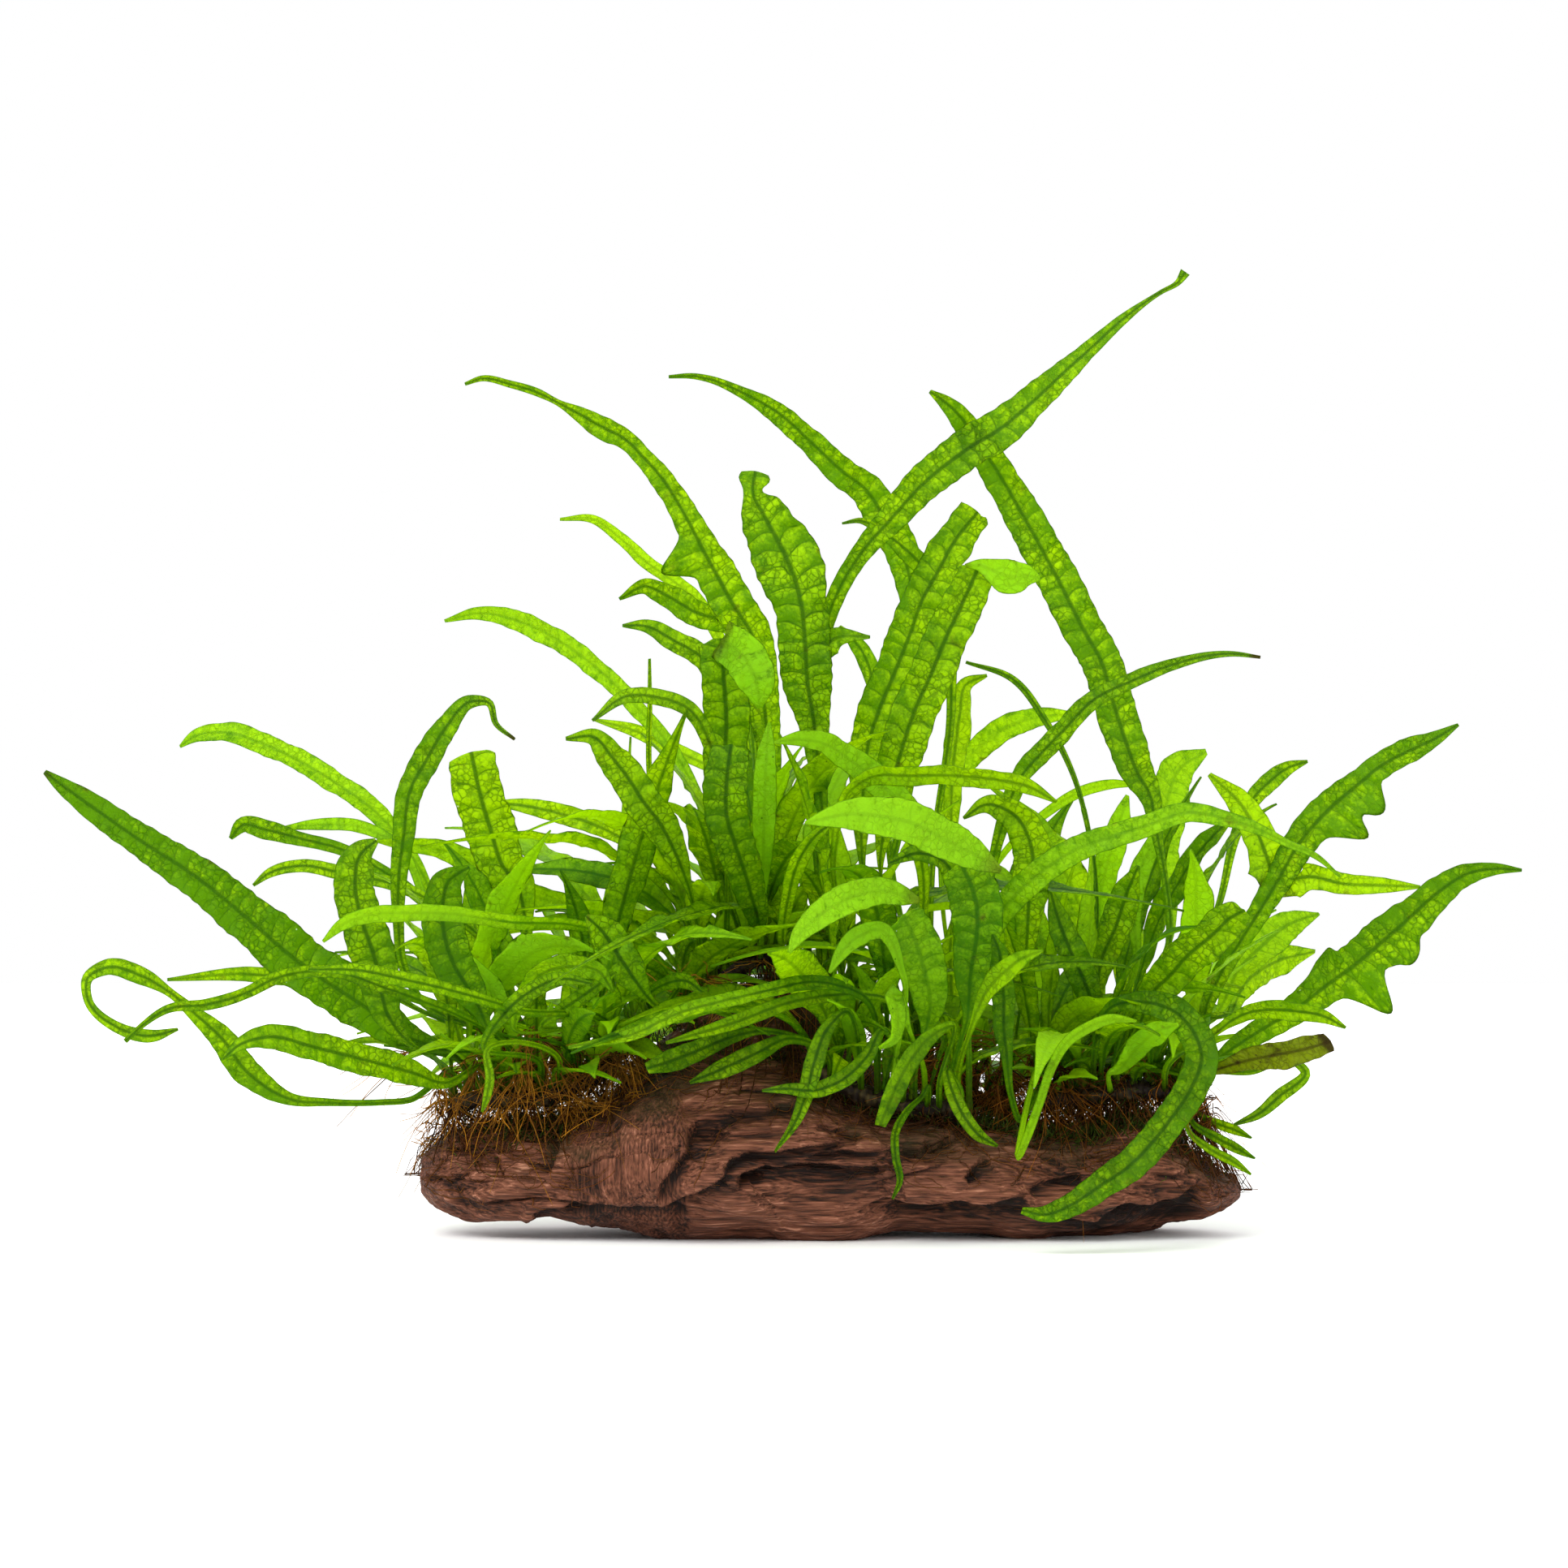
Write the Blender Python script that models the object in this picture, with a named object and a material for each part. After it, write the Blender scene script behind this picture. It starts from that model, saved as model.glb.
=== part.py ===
"""A java fern growing on a piece of driftwood, cut flat underneath so that it stands.

The wood lies along X with its front toward -Y. Shapes are worked out in millimetres and put in as metres.
Each frond is drawn as it is seen from the front, in view units across and down from the view's top left
corner, and then given its depth. The view is level and 1.2 m away, and a view unit is 0.2 mm at depth 0.
"""

import bpy
import numpy as np

METRES = 0.001
VIEW_UNIT = 0.2
VIEW_CENTRE = 966.0
VIEW_DISTANCE = 1200.0
VIEW_X = -11.2
VIEW_Z = 110.8

LOG_LEFT = -100.4
LOG_RIGHT = 100.6
LOG_STATIONS = 40
LOG_AROUND = 22
LOG_ROUNDNESS = 2.3
LOG_END_BLUNTNESS = 4.5
LOG_REACH = 0.996
LOG_SPACING = (0.62, 0.38)
LOG_SWEEP = 0.97
# Rows of (height, waves around the wood, turns of the wave for each mm along it, start).
LOG_GRAIN = [(0.9, 3, 0.05, 0.0), (0.7, 5, -0.09, 1.0), (0.5, 2, 0.21, 0.0)]
# Rows of (x, height of the top, height of the underside, half depth).
LOG_PROFILE = [
    (-101, 25, 1, 21),
    (-84, 27, 0, 25),
    (-64, 27, -1, 28),
    (-48, 37, -2, 31),
    (-30, 42, -2, 33),
    (-8, 40, -2, 33),
    (8, 34, -2, 32),
    (35, 28, -2, 30),
    (48, 23, -2, 28),
    (60, 25, -2, 27),
    (80, 28, -1, 24),
    (101, 22, 0, 19),
]
KNOB_CENTRE = (-13.0, 7.0)
KNOB_SPREAD = (24.0, 15.0)
KNOB_HEIGHT = 21.0

STEM_RADIUS = 2.0
STEM_SIDES = 6
STEM_STATIONS = 9
STEM_DIP = 0.3
STEM_KNOBS = (0.12, 23.0)
STEM_END = 0.45
STEM_SHOULDER = 1.4

PETIOLE_WIDTH = 7.0
PETIOLE_RISE = 5.0
LEAST_WIDTH = 3.0
RIB_THICKNESS = 1.0
FOLD = 0.16
SAMPLES = 25
FINE_STEPS = 400
SECTION_SPACING = 12.0
SECTION_LIMITS = (6, 13)
LOBE_SECTIONS = 6
LOBE_FORWARD = 3.0
LOBE_ROLL = (12.0, -12.0)

# How fronds that cross in the view are parted in depth. A frond is held still near its base.
FREE_GAP = 0.8
CLEARANCE = 1.1
CROSSING_MARGIN = 9.0
HELD_SHARE = 0.22
HELD_POWER = 1.5
PUSH_SPREAD = 2.2
SETTLE_ROUNDS = 90
SETTLE_STEP = 0.5
WOOD_END_MARGIN = 3.0
WOOD_HEIGHT_MARGIN = 4.0
WOOD_GAP = 3.0
STEM_ROOM = 1.15
TINY = 1e-6

MAT_GAP = 0.5
MAT_RIM = 0.7
MAT_FULLNESS = 0.45
MAT_LUMPS = (0.15, 3.1 / 6, 2.3 / 4)

LEAF_GREEN = (0.08, 0.30, 0.01, 1.0)
STEM_GREEN = (0.05, 0.10, 0.01, 1.0)
WOOD_BROWN = (0.09, 0.03, 0.02, 1.0)
ROOT_BROWN = (0.22, 0.09, 0.03, 1.0)

# Each creeping stem: plan points (x, y) and its height over the smooth top of the wood.
STEMS = {
    "left": {"plan": [(-93, -9), (-74, -13), (-52, -10)], "lift": 10.0},
    "left_back": {"plan": [(-86, 11), (-64, 15), (-44, 12)], "lift": 10.0},
    "crown": {"plan": [(-38, 2), (-14, 7), (8, 5)], "lift": 6.0},
    "middle_back": {"plan": [(14, 12), (30, 16), (46, 12)], "lift": 6.0},
    "front_middle": {"plan": [(-4, -20), (14, -21), (34, -17)], "lift": 4.5},
    "right": {"plan": [(50, -7), (68, -10), (90, -5)], "lift": 10.0},
    "right_back": {"plan": [(54, 12), (72, 14), (88, 10)], "lift": 10.0},
}

# Root mats: station range and around range on the wood, and thickness.
MATS = {
    "root_mat_left": {"along": (3, 13), "around": (3, 10), "thick": 5.0},
    "root_mat_middle": {"along": (13, 18), "around": (5, 10), "thick": 2.4},
    "root_mat_right": {"along": (28, 37), "around": (3, 9), "thick": 5.0},
}

# Each frond: (stem, place along it from 0 to 1, depth halfway, depth at the tip, roll at the base,
# roll at the tip, points seen from the front as (across, down, width) from base to tip, side lobes drawn
# in the same way). A young frond is one body with the stem that it grows from.
FRONDS = {
    "frond_left_long": (
        "left", 0.10, -20, -34, 24, 12,
        [(488, 1271, 40), (455, 1245, 56), (405, 1212, 64), (358, 1178, 66), (305, 1132, 58),
         (239, 1079, 50), (173, 1036, 40), (106, 989, 30), (74, 966, 18), (55, 951, 6)], []),
    "frond_left_loop": (
        "left", 0.02, -34, -52, -20, 25,
        [(505, 1355, 8), (471, 1358, 8), (405, 1358, 10), (358, 1354, 16), (305, 1321, 35),
         (272, 1278, 30), (239, 1248, 18), (212, 1225, 11), (173, 1202, 22), (133, 1192, 20),
         (108, 1206, 14), (109, 1232, 12), (146, 1266, 15), (183, 1276, 17), (219, 1268, 4)], []),
    "frond_left_thin": (
        "left", 0.42, -48, -66, -35, -20,
        [(557, 1245, 9), (521, 1232, 13), (471, 1215, 16), (421, 1198, 16), (372, 1197, 16),
         (339, 1205, 16), (305, 1222, 15), (256, 1237, 15), (206, 1243, 11), (173, 1265, 7),
         (154, 1283, 6)], []),
    "frond_left_low": (
        "left", 0.20, -40, -58, 30, 20,
        [(552, 1335, 12), (504, 1321, 30), (455, 1308, 36), (388, 1291, 34), (332, 1278, 30),
         (295, 1288, 16), (275, 1305, 4)], []),
    "frond_left_far": (
        "left_back", 0.06, 32, 50, 40, 25,
        [(548, 1150, 9), (510, 1060, 14), (471, 1009, 22), (421, 970, 26), (372, 940, 26),
         (322, 916, 26), (279, 903, 24), (239, 908, 15), (222, 920, 4)], []),
    "frond_left_fan": (
        "left_back", 0.30, 24, 34, -45, -20,
        [(590, 1190, 8), (521, 1109, 14), (471, 1072, 16), (421, 1046, 16), (372, 1033, 18),
         (325, 1021, 24), (299, 1016, 20), (284, 1033, 5)], []),
    "young_left_fan": (
        "left_back", 0.42, 10, 6, 40, 10,
        [(560, 1130, 10), (491, 1092, 16), (421, 1076, 18), (372, 1067, 16), (332, 1076, 12),
         (312, 1091, 4)], []),
    "frond_left_hook": (
        "left", 0.50, -12, -24, 25, -20,
        [(513, 1225, 10), (496, 1188, 12), (491, 1138, 14), (491, 1089, 20), (498, 1026, 28),
         (506, 973, 32), (526, 936, 35), (550, 896, 28), (580, 865, 17), (602, 866, 10), (611, 892, 7),
         (634, 911, 4)], []),
    "frond_left_blunt": (
        "left_back", 0.72, 6, 2, 20, -15,
        [(652, 1240, 8), (648, 1140, 18), (636, 1089, 46), (619, 1066, 56), (606, 1026, 64),
         (593, 983, 62), (580, 922, 56)], []),
    "frond_left_curved": (
        "left", 0.34, -26, -34, 32, -22,
        [(504, 1285, 9), (478, 1251, 34), (468, 1212, 50), (461, 1178, 56), (448, 1139, 54),
         (438, 1086, 50), (444, 1054, 38), (464, 1036, 8)], []),
    "frond_left_dark": (
        "left", 0.74, -42, -52, -25, 20,
        [(600, 1262, 11), (589, 1238, 28), (579, 1221, 40), (559, 1188, 50), (548, 1155, 52),
         (545, 1122, 50), (553, 1085, 36), (578, 1068, 6)], []),
    "frond_left_pale": (
        "crown", 0.00, -44, -70, -38, -25,
        [(800, 1170, 8), (715, 1140, 13), (626, 1135, 19), (557, 1125, 20), (504, 1124, 22),
         (455, 1127, 20), (421, 1139, 15), (398, 1160, 4)], []),
    "frond_left_reach": (
        "left", 0.96, -56, -78, 42, 30,
        [(640, 1246, 9), (560, 1222, 16), (500, 1208, 19), (440, 1196, 16), (380, 1195, 4)], []),
    "frond_left_lobed": (
        "left", 0.28, 6, 16, -18, 15,
        [(500, 1235, 8), (440, 1200, 20), (400, 1188, 30), (355, 1176, 34), (320, 1160, 24),
         (285, 1149, 5)],
        [[(400, 1196, 26), (352, 1203, 22), (300, 1200, 18), (206, 1207, 4)]]),
    "frond_left_high": (
        "crown", 0.05, 22, 30, -30, 15,
        [(810, 1120, 8), (775, 1040, 14), (732, 1016, 24), (692, 1003, 25), (646, 993, 18),
         (604, 989, 4)], []),
    "frond_left_mid": (
        "crown", 0.21, 10, 14, 30, -30,
        [(790, 1160, 8), (712, 1115, 20), (676, 1109, 28), (626, 1092, 34), (593, 1069, 32),
         (543, 1046, 24), (493, 1039, 15), (464, 1036, 4)], []),
    "frond_front_dark": (
        "crown", 0.07, -36, -46, -28, 25,
        [(812, 1240, 9), (798, 1228, 12), (785, 1211, 30), (765, 1182, 46), (742, 1148, 40),
         (722, 1129, 6)], []),
    "young_left_arch": (
        "left", 0.98, -34, -46, 35, 35,
        [(632, 1262, 8), (646, 1226, 22), (666, 1200, 29), (700, 1190, 30), (738, 1196, 22),
         (756, 1222, 5)], []),
    "frond_crown_tall": (
        "crown", 0.43, 12, -6, 24, -34,
        [(955, 1060, 10), (950, 960, 24), (940, 860, 40), (925, 779, 48), (904, 746, 52),
         (887, 715, 51), (869, 682, 44), (841, 629, 33), (815, 588, 28), (790, 560, 23),
         (772, 542, 25), (739, 524, 28), (713, 509, 18), (688, 496, 8), (662, 483, 10), (629, 473, 9),
         (593, 466, 7), (573, 473, 4)],
        [[(884, 716, 28), (862, 700, 24), (838, 694, 14), (816, 705, 4)],
         [(926, 782, 20), (936, 772, 14), (946, 766, 4)]]),
    "frond_back_slim": (
        "crown", 0.38, 44, 62, 45, 30,
        [(930, 1000, 8), (900, 830, 14), (859, 742, 18), (829, 716, 18), (796, 693, 17),
         (763, 663, 15), (730, 640, 11), (690, 640, 4)], []),
    "frond_crown_left": (
        "crown", 0.29, 26, 34, -30, -20,
        [(930, 1010, 8), (922, 860, 14), (896, 766, 29), (862, 756, 32), (819, 732, 28),
         (796, 722, 20), (763, 738, 4)], []),
    "frond_crown_low": (
        "crown", 0.21, -6, -14, 35, 20,
        [(905, 1030, 8), (890, 890, 18), (866, 812, 28), (829, 789, 26), (796, 772, 17), (767, 771, 4)], []),
    "frond_back_left": (
        "crown", 0.13, 48, 76, -40, -25,
        [(880, 1050, 8), (840, 940, 16), (775, 860, 22), (720, 810, 25), (640, 765, 25),
         (590, 755, 16), (548, 765, 4)], []),
    "frond_crown_arch": (
        "crown", 0.28, -22, -36, -35, 30,
        [(895, 1040, 8), (880, 930, 18), (846, 872, 20), (813, 860, 21), (773, 858, 18), (730, 888, 4)], []),
    "frond_crown_side": (
        "crown", 0.14, -28, -38, 22, -20,
        [(850, 1100, 8), (826, 1038, 36), (813, 1014, 44), (793, 988, 46), (776, 961, 44),
         (756, 935, 40), (732, 908, 22), (697, 910, 5)], []),
    "frond_crown_folded": (
        "crown", 0.35, -8, -16, -18, 10,
        [(896, 1100, 10), (892, 1000, 34), (892, 941, 50), (895, 892, 57), (892, 842, 57),
         (888, 782, 54)],
        [[(890, 788, 50), (914, 806, 54), (932, 842, 46), (936, 872, 8)]]),
    "frond_crown_broad": (
        "crown", 0.72, -4, -10, 14, -12,
        [(1006, 1130, 10), (1015, 1041, 13), (1012, 991, 16), (1008, 941, 26), (1002, 885, 42),
         (995, 842, 62), (992, 792, 66), (988, 749, 66), (978, 709, 80), (962, 673, 78),
         (942, 636, 54), (928, 608, 30), (931, 580, 36)],
        [[(1000, 816, 26), (1030, 786, 22), (1072, 785, 4)]]),
    "young_crown_pale": (
        "crown", 0.46, -18, -22, 30, -20,
        [(938, 1112, 9), (940, 1060, 22), (942, 991, 30), (945, 925, 22), (948, 890, 4)], []),
    "frond_crown_dark": (
        "crown", 0.54, -30, -40, 24, -18,
        [(941, 1148, 12), (931, 1122, 30), (919, 1080, 44), (906, 1041, 50), (896, 1008, 54),
         (896, 958, 54), (902, 915, 44)], []),
    "frond_middle_arch": (
        "middle_back", 0.06, -22, -46, -30, 35,
        [(1130, 1180, 8), (1135, 1060, 18), (1114, 994, 33), (1095, 975, 36), (1071, 955, 36),
         (1045, 935, 33), (1015, 917, 28), (985, 912, 20), (955, 915, 4)], []),
    "frond_front_bent": (
        "front_middle", 0.88, -52, -76, 18, -30,
        [(1192, 1250, 12), (1196, 1198, 42), (1203, 1156, 58), (1204, 1120, 64), (1192, 1080, 60),
         (1166, 1042, 50), (1120, 1012, 54), (1061, 992, 46), (1026, 996, 30), (988, 1014, 5)], []),
    "frond_front_pale": (
        "front_middle", 0.64, -54, -80, -20, 30,
        [(1140, 1275, 10), (1146, 1234, 40), (1137, 1189, 56), (1122, 1146, 54), (1100, 1112, 40),
         (1051, 1105, 36), (1019, 1116, 34), (987, 1135, 26), (971, 1176, 4)], []),
    "young_front_fork": (
        "front_middle", 0.50, -52, -62, 20, 20,
        [(1112, 1200, 9), (1083, 1146, 22), (1054, 1157, 24), (1038, 1173, 18), (1022, 1199, 4)], []),
    "frond_top_long": (
        "crown", 0.84, -6, -22, 38, -28,
        [(1008, 1080, 8), (1003, 900, 12), (1010, 800, 18), (1027, 741, 22), (1066, 675, 26),
         (1093, 645, 34), (1139, 595, 45), (1199, 549, 50), (1232, 529, 50), (1265, 502, 42),
         (1318, 453, 28), (1348, 426, 20), (1381, 396, 14), (1431, 360, 6), (1452, 348, 8),
         (1461, 335, 13)], []),
    "frond_top_drooping": (
        "middle_back", 0.16, 34, 30, 28, -35,
        [(1090, 1150, 8), (1122, 950, 14), (1132, 820, 24), (1124, 725, 36), (1112, 680, 42),
         (1090, 638, 44), (1066, 602, 40), (1040, 582, 36), (1000, 545, 30), (960, 509, 26),
         (930, 491, 18), (904, 478, 12), (879, 468, 9), (853, 463, 7), (824, 464, 4)], []),
    "frond_top_spike": (
        "middle_back", 0.36, 16, -2, -40, 30,
        [(1150, 1050, 8), (1172, 860, 12), (1165, 760, 18), (1136, 698, 25), (1113, 675, 25),
         (1086, 655, 18), (1060, 642, 8), (1038, 645, 3)], []),
    "frond_top_blunt": (
        "middle_back", 0.26, 8, 2, 24, -30,
        [(1062, 1060, 9), (1064, 970, 34), (1070, 917, 44), (1082, 879, 50), (1103, 828, 50),
         (1123, 778, 50), (1136, 741, 50), (1156, 705, 50), (1176, 668, 48), (1208, 628, 42)], []),
    "frond_top_folded": (
        "middle_back", 0.46, -14, -24, -22, 16,
        [(1085, 1060, 9), (1095, 990, 36), (1105, 945, 50), (1113, 917, 55), (1128, 873, 56),
         (1146, 833, 55), (1164, 789, 54), (1184, 746, 52), (1206, 698, 46)],
        [[(1200, 706, 42), (1232, 708, 46), (1258, 718, 40), (1280, 712, 14)]]),
    "frond_right_tall": (
        "right", 0.60, -4, -14, 32, -26,
        [(1440, 1160, 8), (1424, 1023, 16), (1415, 976, 30), (1401, 952, 40), (1387, 914, 48),
         (1372, 867, 50), (1355, 811, 50), (1338, 781, 50), (1299, 705, 50), (1259, 632, 45),
         (1219, 565, 38), (1202, 542, 35), (1186, 516, 28), (1166, 496, 18), (1146, 482, 5)], []),
    "frond_right_slim": (
        "middle_back", 0.94, -16, -34, -36, -25,
        [(1215, 1120, 8), (1235, 1020, 16), (1261, 954, 24), (1283, 929, 25), (1311, 900, 25),
         (1349, 862, 22), (1396, 839, 20), (1443, 820, 15), (1520, 806, 7), (1553, 810, 4)], []),
    "young_middle_up": (
        "middle_back", 0.70, 20, 26, 30, 30,
        [(1174, 1080, 8), (1174, 942, 28), (1177, 917, 30), (1182, 879, 28), (1190, 843, 18),
         (1216, 832, 4)], []),
    "frond_back_arch": (
        "middle_back", 0.60, 42, 60, 35, -20,
        [(1160, 1080, 8), (1165, 990, 18), (1184, 945, 28), (1210, 919, 30), (1241, 896, 30),
         (1279, 884, 24), (1330, 880, 4)], []),
    "frond_middle_level": (
        "crown", 0.96, -30, -44, 40, 30,
        [(1028, 1040, 8), (1046, 975, 15), (1080, 955, 22), (1113, 955, 24), (1177, 955, 24),
         (1228, 960, 24), (1266, 968, 19), (1302, 988, 4)], []),
    "frond_right_lobed": (
        "right", 0.72, -10, -22, 26, -26,
        [(1478, 1290, 9), (1486, 1240, 18), (1500, 1207, 22), (1528, 1160, 24), (1552, 1122, 28),
         (1575, 1084, 34), (1599, 1042, 40), (1622, 1013, 44), (1651, 985, 40), (1674, 966, 34),
         (1703, 943, 32), (1740, 924, 30), (1769, 910, 18), (1797, 893, 4)],
        [[(1662, 976, 30), (1684, 984, 20), (1705, 1002, 5)],
         [(1630, 1010, 30), (1656, 1016, 20), (1686, 1032, 5)],
         [(1572, 1088, 34), (1613, 1080, 30), (1656, 1089, 26), (1703, 1091, 20), (1750, 1093, 4)],
         [(1572, 1092, 34), (1562, 1060, 38), (1548, 1024, 40), (1528, 990, 32), (1490, 954, 6)]]),
    "frond_right_reach": (
        "right", 0.86, -22, -40, -24, 26,
        [(1494, 1308, 10), (1519, 1292, 22), (1556, 1268, 30), (1594, 1245, 36), (1632, 1216, 46),
         (1670, 1188, 54), (1703, 1160, 58), (1736, 1131, 50), (1773, 1098, 40), (1811, 1075, 26),
         (1844, 1070, 15), (1875, 1072, 4)],
        [[(1640, 1212, 30), (1632, 1190, 22), (1634, 1170, 6)],
         [(1706, 1160, 30), (1728, 1168, 20), (1745, 1184, 6)],
         [(1660, 1200, 30), (1688, 1224, 20), (1715, 1247, 6)]]),
    "frond_right_brown": (
        "right", 0.94, -30, -46, 30, 20,
        [(1490, 1318, 12), (1528, 1308, 26), (1561, 1301, 34), (1608, 1292, 34), (1642, 1282, 24)], []),
    "young_right_low": (
        "right", 0.98, -10, -22, -30, 20,
        [(1545, 1320, 8), (1590, 1306, 9), (1608, 1320, 12), (1575, 1352, 17), (1552, 1372, 13),
         (1521, 1386, 4)], []),
    "frond_front_arc": (
        "right", 0.36, -50, -54, -30, 35,
        [(1372, 1240, 16), (1417, 1236, 30), (1446, 1246, 37), (1468, 1268, 41), (1480, 1300, 42),
         (1466, 1344, 42), (1444, 1377, 40), (1418, 1410, 40), (1388, 1440, 38), (1355, 1462, 34),
         (1322, 1484, 28), (1289, 1497, 20), (1259, 1492, 8)], []),
    "young_right_pale": (
        "right", 0.46, -34, -50, 24, 24,
        [(1376, 1318, 12), (1400, 1292, 30), (1425, 1270, 31), (1451, 1262, 6)], []),
    "frond_front_arching": (
        "front_middle", 0.99, -54, -66, 34, -40,
        [(1196, 1226, 12), (1202, 1184, 26), (1220, 1142, 32), (1248, 1106, 34), (1290, 1069, 34),
         (1332, 1044, 32), (1374, 1030, 30), (1417, 1016, 28), (1462, 1002, 25), (1509, 1009, 20),
         (1552, 1023, 14), (1585, 1039, 10), (1622, 1056, 8), (1651, 1080, 3)], []),
    "frond_right_blunt": (
        "right", 0.50, -30, -48, -22, 28,
        [(1400, 1272, 9), (1423, 1219, 40), (1439, 1204, 48), (1462, 1178, 50), (1493, 1152, 50),
         (1516, 1130, 46), (1536, 1120, 26)], []),
    "frond_back_pale": (
        "right_back", 0.45, 32, 48, 24, 24,
        [(1442, 1150, 9), (1434, 1040, 40), (1438, 985, 50), (1453, 947, 42), (1486, 926, 8)], []),
    "young_back_slim": (
        "right_back", 0.62, 46, 62, -30, 10,
        [(1500, 1120, 8), (1530, 1010, 16), (1547, 980, 22), (1561, 966, 24), (1585, 947, 18),
         (1611, 938, 4)], []),
    "frond_back_right": (
        "right_back", 0.80, 28, 48, -30, -20,
        [(1500, 1250, 9), (1528, 1193, 34), (1556, 1165, 44), (1585, 1141, 36), (1625, 1126, 4)], []),
    "frond_back_low": (
        "right_back", 0.92, 48, 70, 30, 30,
        [(1508, 1262, 9), (1538, 1207, 30), (1575, 1183, 38), (1620, 1172, 5)], []),
    "young_right_tip": (
        "right", 0.80, -34, -52, 35, 25,
        [(1490, 1276, 9), (1538, 1247, 21), (1594, 1245, 24), (1632, 1252, 17), (1658, 1266, 4)], []),
    "frond_inner_arch": (
        "middle_back", 0.98, -18, -30, 30, -20,
        [(1262, 1200, 9), (1266, 1142, 30), (1268, 1100, 44), (1272, 1050, 48), (1250, 1004, 38),
         (1215, 991, 22), (1187, 1008, 4)], []),
    "young_inner_left": (
        "right", 0.14, -14, -20, -25, 25,
        [(1346, 1240, 26), (1335, 1207, 35), (1318, 1170, 37), (1304, 1134, 28), (1293, 1095, 4)], []),
    "young_inner_right": (
        "right", 0.40, -2, -8, 25, -25,
        [(1352, 1230, 10), (1357, 1184, 34), (1375, 1142, 39), (1389, 1100, 34), (1403, 1067, 5)], []),
    "young_hanging_a": (
        "front_middle", 0.10, -40, -46, 30, 20,
        [(971, 1281, 12), (933, 1298, 23), (891, 1317, 23), (850, 1334, 4)], []),
    "young_hanging_b": (
        "front_middle", 0.02, -34, -46, -25, 20,
        [(940, 1270, 9), (895, 1280, 18), (859, 1295, 26), (828, 1307, 28), (797, 1317, 14)], []),
    "frond_front_level": (
        "front_middle", 0.40, -54, -66, 40, 35,
        [(1064, 1230, 8), (1044, 1219, 12), (1010, 1211, 17), (939, 1223, 18), (891, 1234, 18),
         (834, 1250, 18), (780, 1275, 15), (700, 1291, 4)], []),
    "young_hanging_c": (
        "front_middle", 0.30, -48, -48, -30, 30,
        [(1040, 1246, 9), (1019, 1268, 18), (1004, 1307, 24), (993, 1349, 20), (981, 1381, 13),
         (955, 1419, 3)], []),
    "young_hanging_d": (
        "front_middle", 0.56, -46, -52, 30, 25,
        [(1088, 1270, 9), (1067, 1304, 18), (1035, 1333, 21), (1003, 1344, 19), (971, 1342, 13),
         (939, 1344, 3)], []),
    "young_hanging_e": (
        "front_middle", 0.80, -42, -46, -28, -20,
        [(1172, 1262, 9), (1146, 1277, 19), (1121, 1307, 25), (1099, 1349, 24), (1084, 1387, 14)], []),
    "young_hanging_f": (
        "front_middle", 0.72, -40, -42, 20, 30,
        [(1140, 1345, 6), (1118, 1369, 8), (1104, 1395, 10), (1104, 1425, 10), (1109, 1455, 8),
         (1100, 1477, 3)], []),
    "young_hanging_g": (
        "front_middle", 0.94, -38, -40, -30, 20,
        [(1166, 1318, 9), (1174, 1347, 18), (1189, 1377, 18), (1207, 1399, 15), (1229, 1412, 4)], []),
    "young_standing_a": (
        "right", 0.06, -42, -50, 30, -30,
        [(1256, 1380, 8), (1246, 1351, 8), (1240, 1295, 16), (1237, 1269, 24), (1237, 1227, 28),
         (1234, 1198, 26), (1232, 1173, 19), (1223, 1151, 4)], []),
}


def clear_scene():
    for old in list(bpy.data.objects):
        bpy.data.objects.remove(old, do_unlink=True)


def make_material(name, colour, roughness):
    material = bpy.data.materials.new(name)
    material.use_nodes = True
    shader = material.node_tree.nodes["Principled BSDF"]
    shader.inputs["Base Color"].default_value = colour
    shader.inputs["Roughness"].default_value = roughness
    shader.inputs["Metallic"].default_value = 0.0
    material.diffuse_color = colour
    return material


def make_solid(name, points, faces, material):
    mesh = bpy.data.meshes.new(name)
    mesh.from_pydata((np.asarray(points) * METRES).tolist(), [], faces)
    mesh.validate()
    mesh.materials.append(material)
    solid = bpy.data.objects.new(name, mesh)
    bpy.context.scene.collection.objects.link(solid)
    return solid


def smooth_rows(rows, at, wanted):
    """The rows at the wanted places on a smooth curve through all of them: cubic Hermite pieces."""
    rows = np.asarray(rows, float)
    slope = np.gradient(rows, at, axis=0)
    piece = np.clip(np.searchsorted(at, wanted, "right") - 1, 0, len(at) - 2)
    span = (at[piece + 1] - at[piece])[:, None]
    t = (wanted - at[piece])[:, None] / span
    start, end = rows[piece], rows[piece + 1]
    from_start, to_end = slope[piece] * span, slope[piece + 1] * span
    return (
        start * (1 + 2 * t) * (1 - t) ** 2
        + from_start * t * (1 - t) ** 2
        + end * t**2 * (3 - 2 * t)
        - to_end * t**2 * (1 - t)
    )


def evenly_along(rows, count):
    """The smooth curve through rows, whose first two columns are places, at evenly spaced points."""
    rows = np.asarray(rows, float)
    at = np.concatenate([[0.0], np.cumsum(np.linalg.norm(np.diff(rows[:, :2], axis=0), axis=1))])
    fine = smooth_rows(rows, at, np.linspace(0, at[-1], FINE_STEPS))
    run = np.concatenate([[0.0], np.cumsum(np.linalg.norm(np.diff(fine[:, :2], axis=0), axis=1))])
    wanted = np.linspace(0, run[-1], count)
    return np.stack([np.interp(wanted, run, column) for column in fine.T], axis=1)


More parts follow.
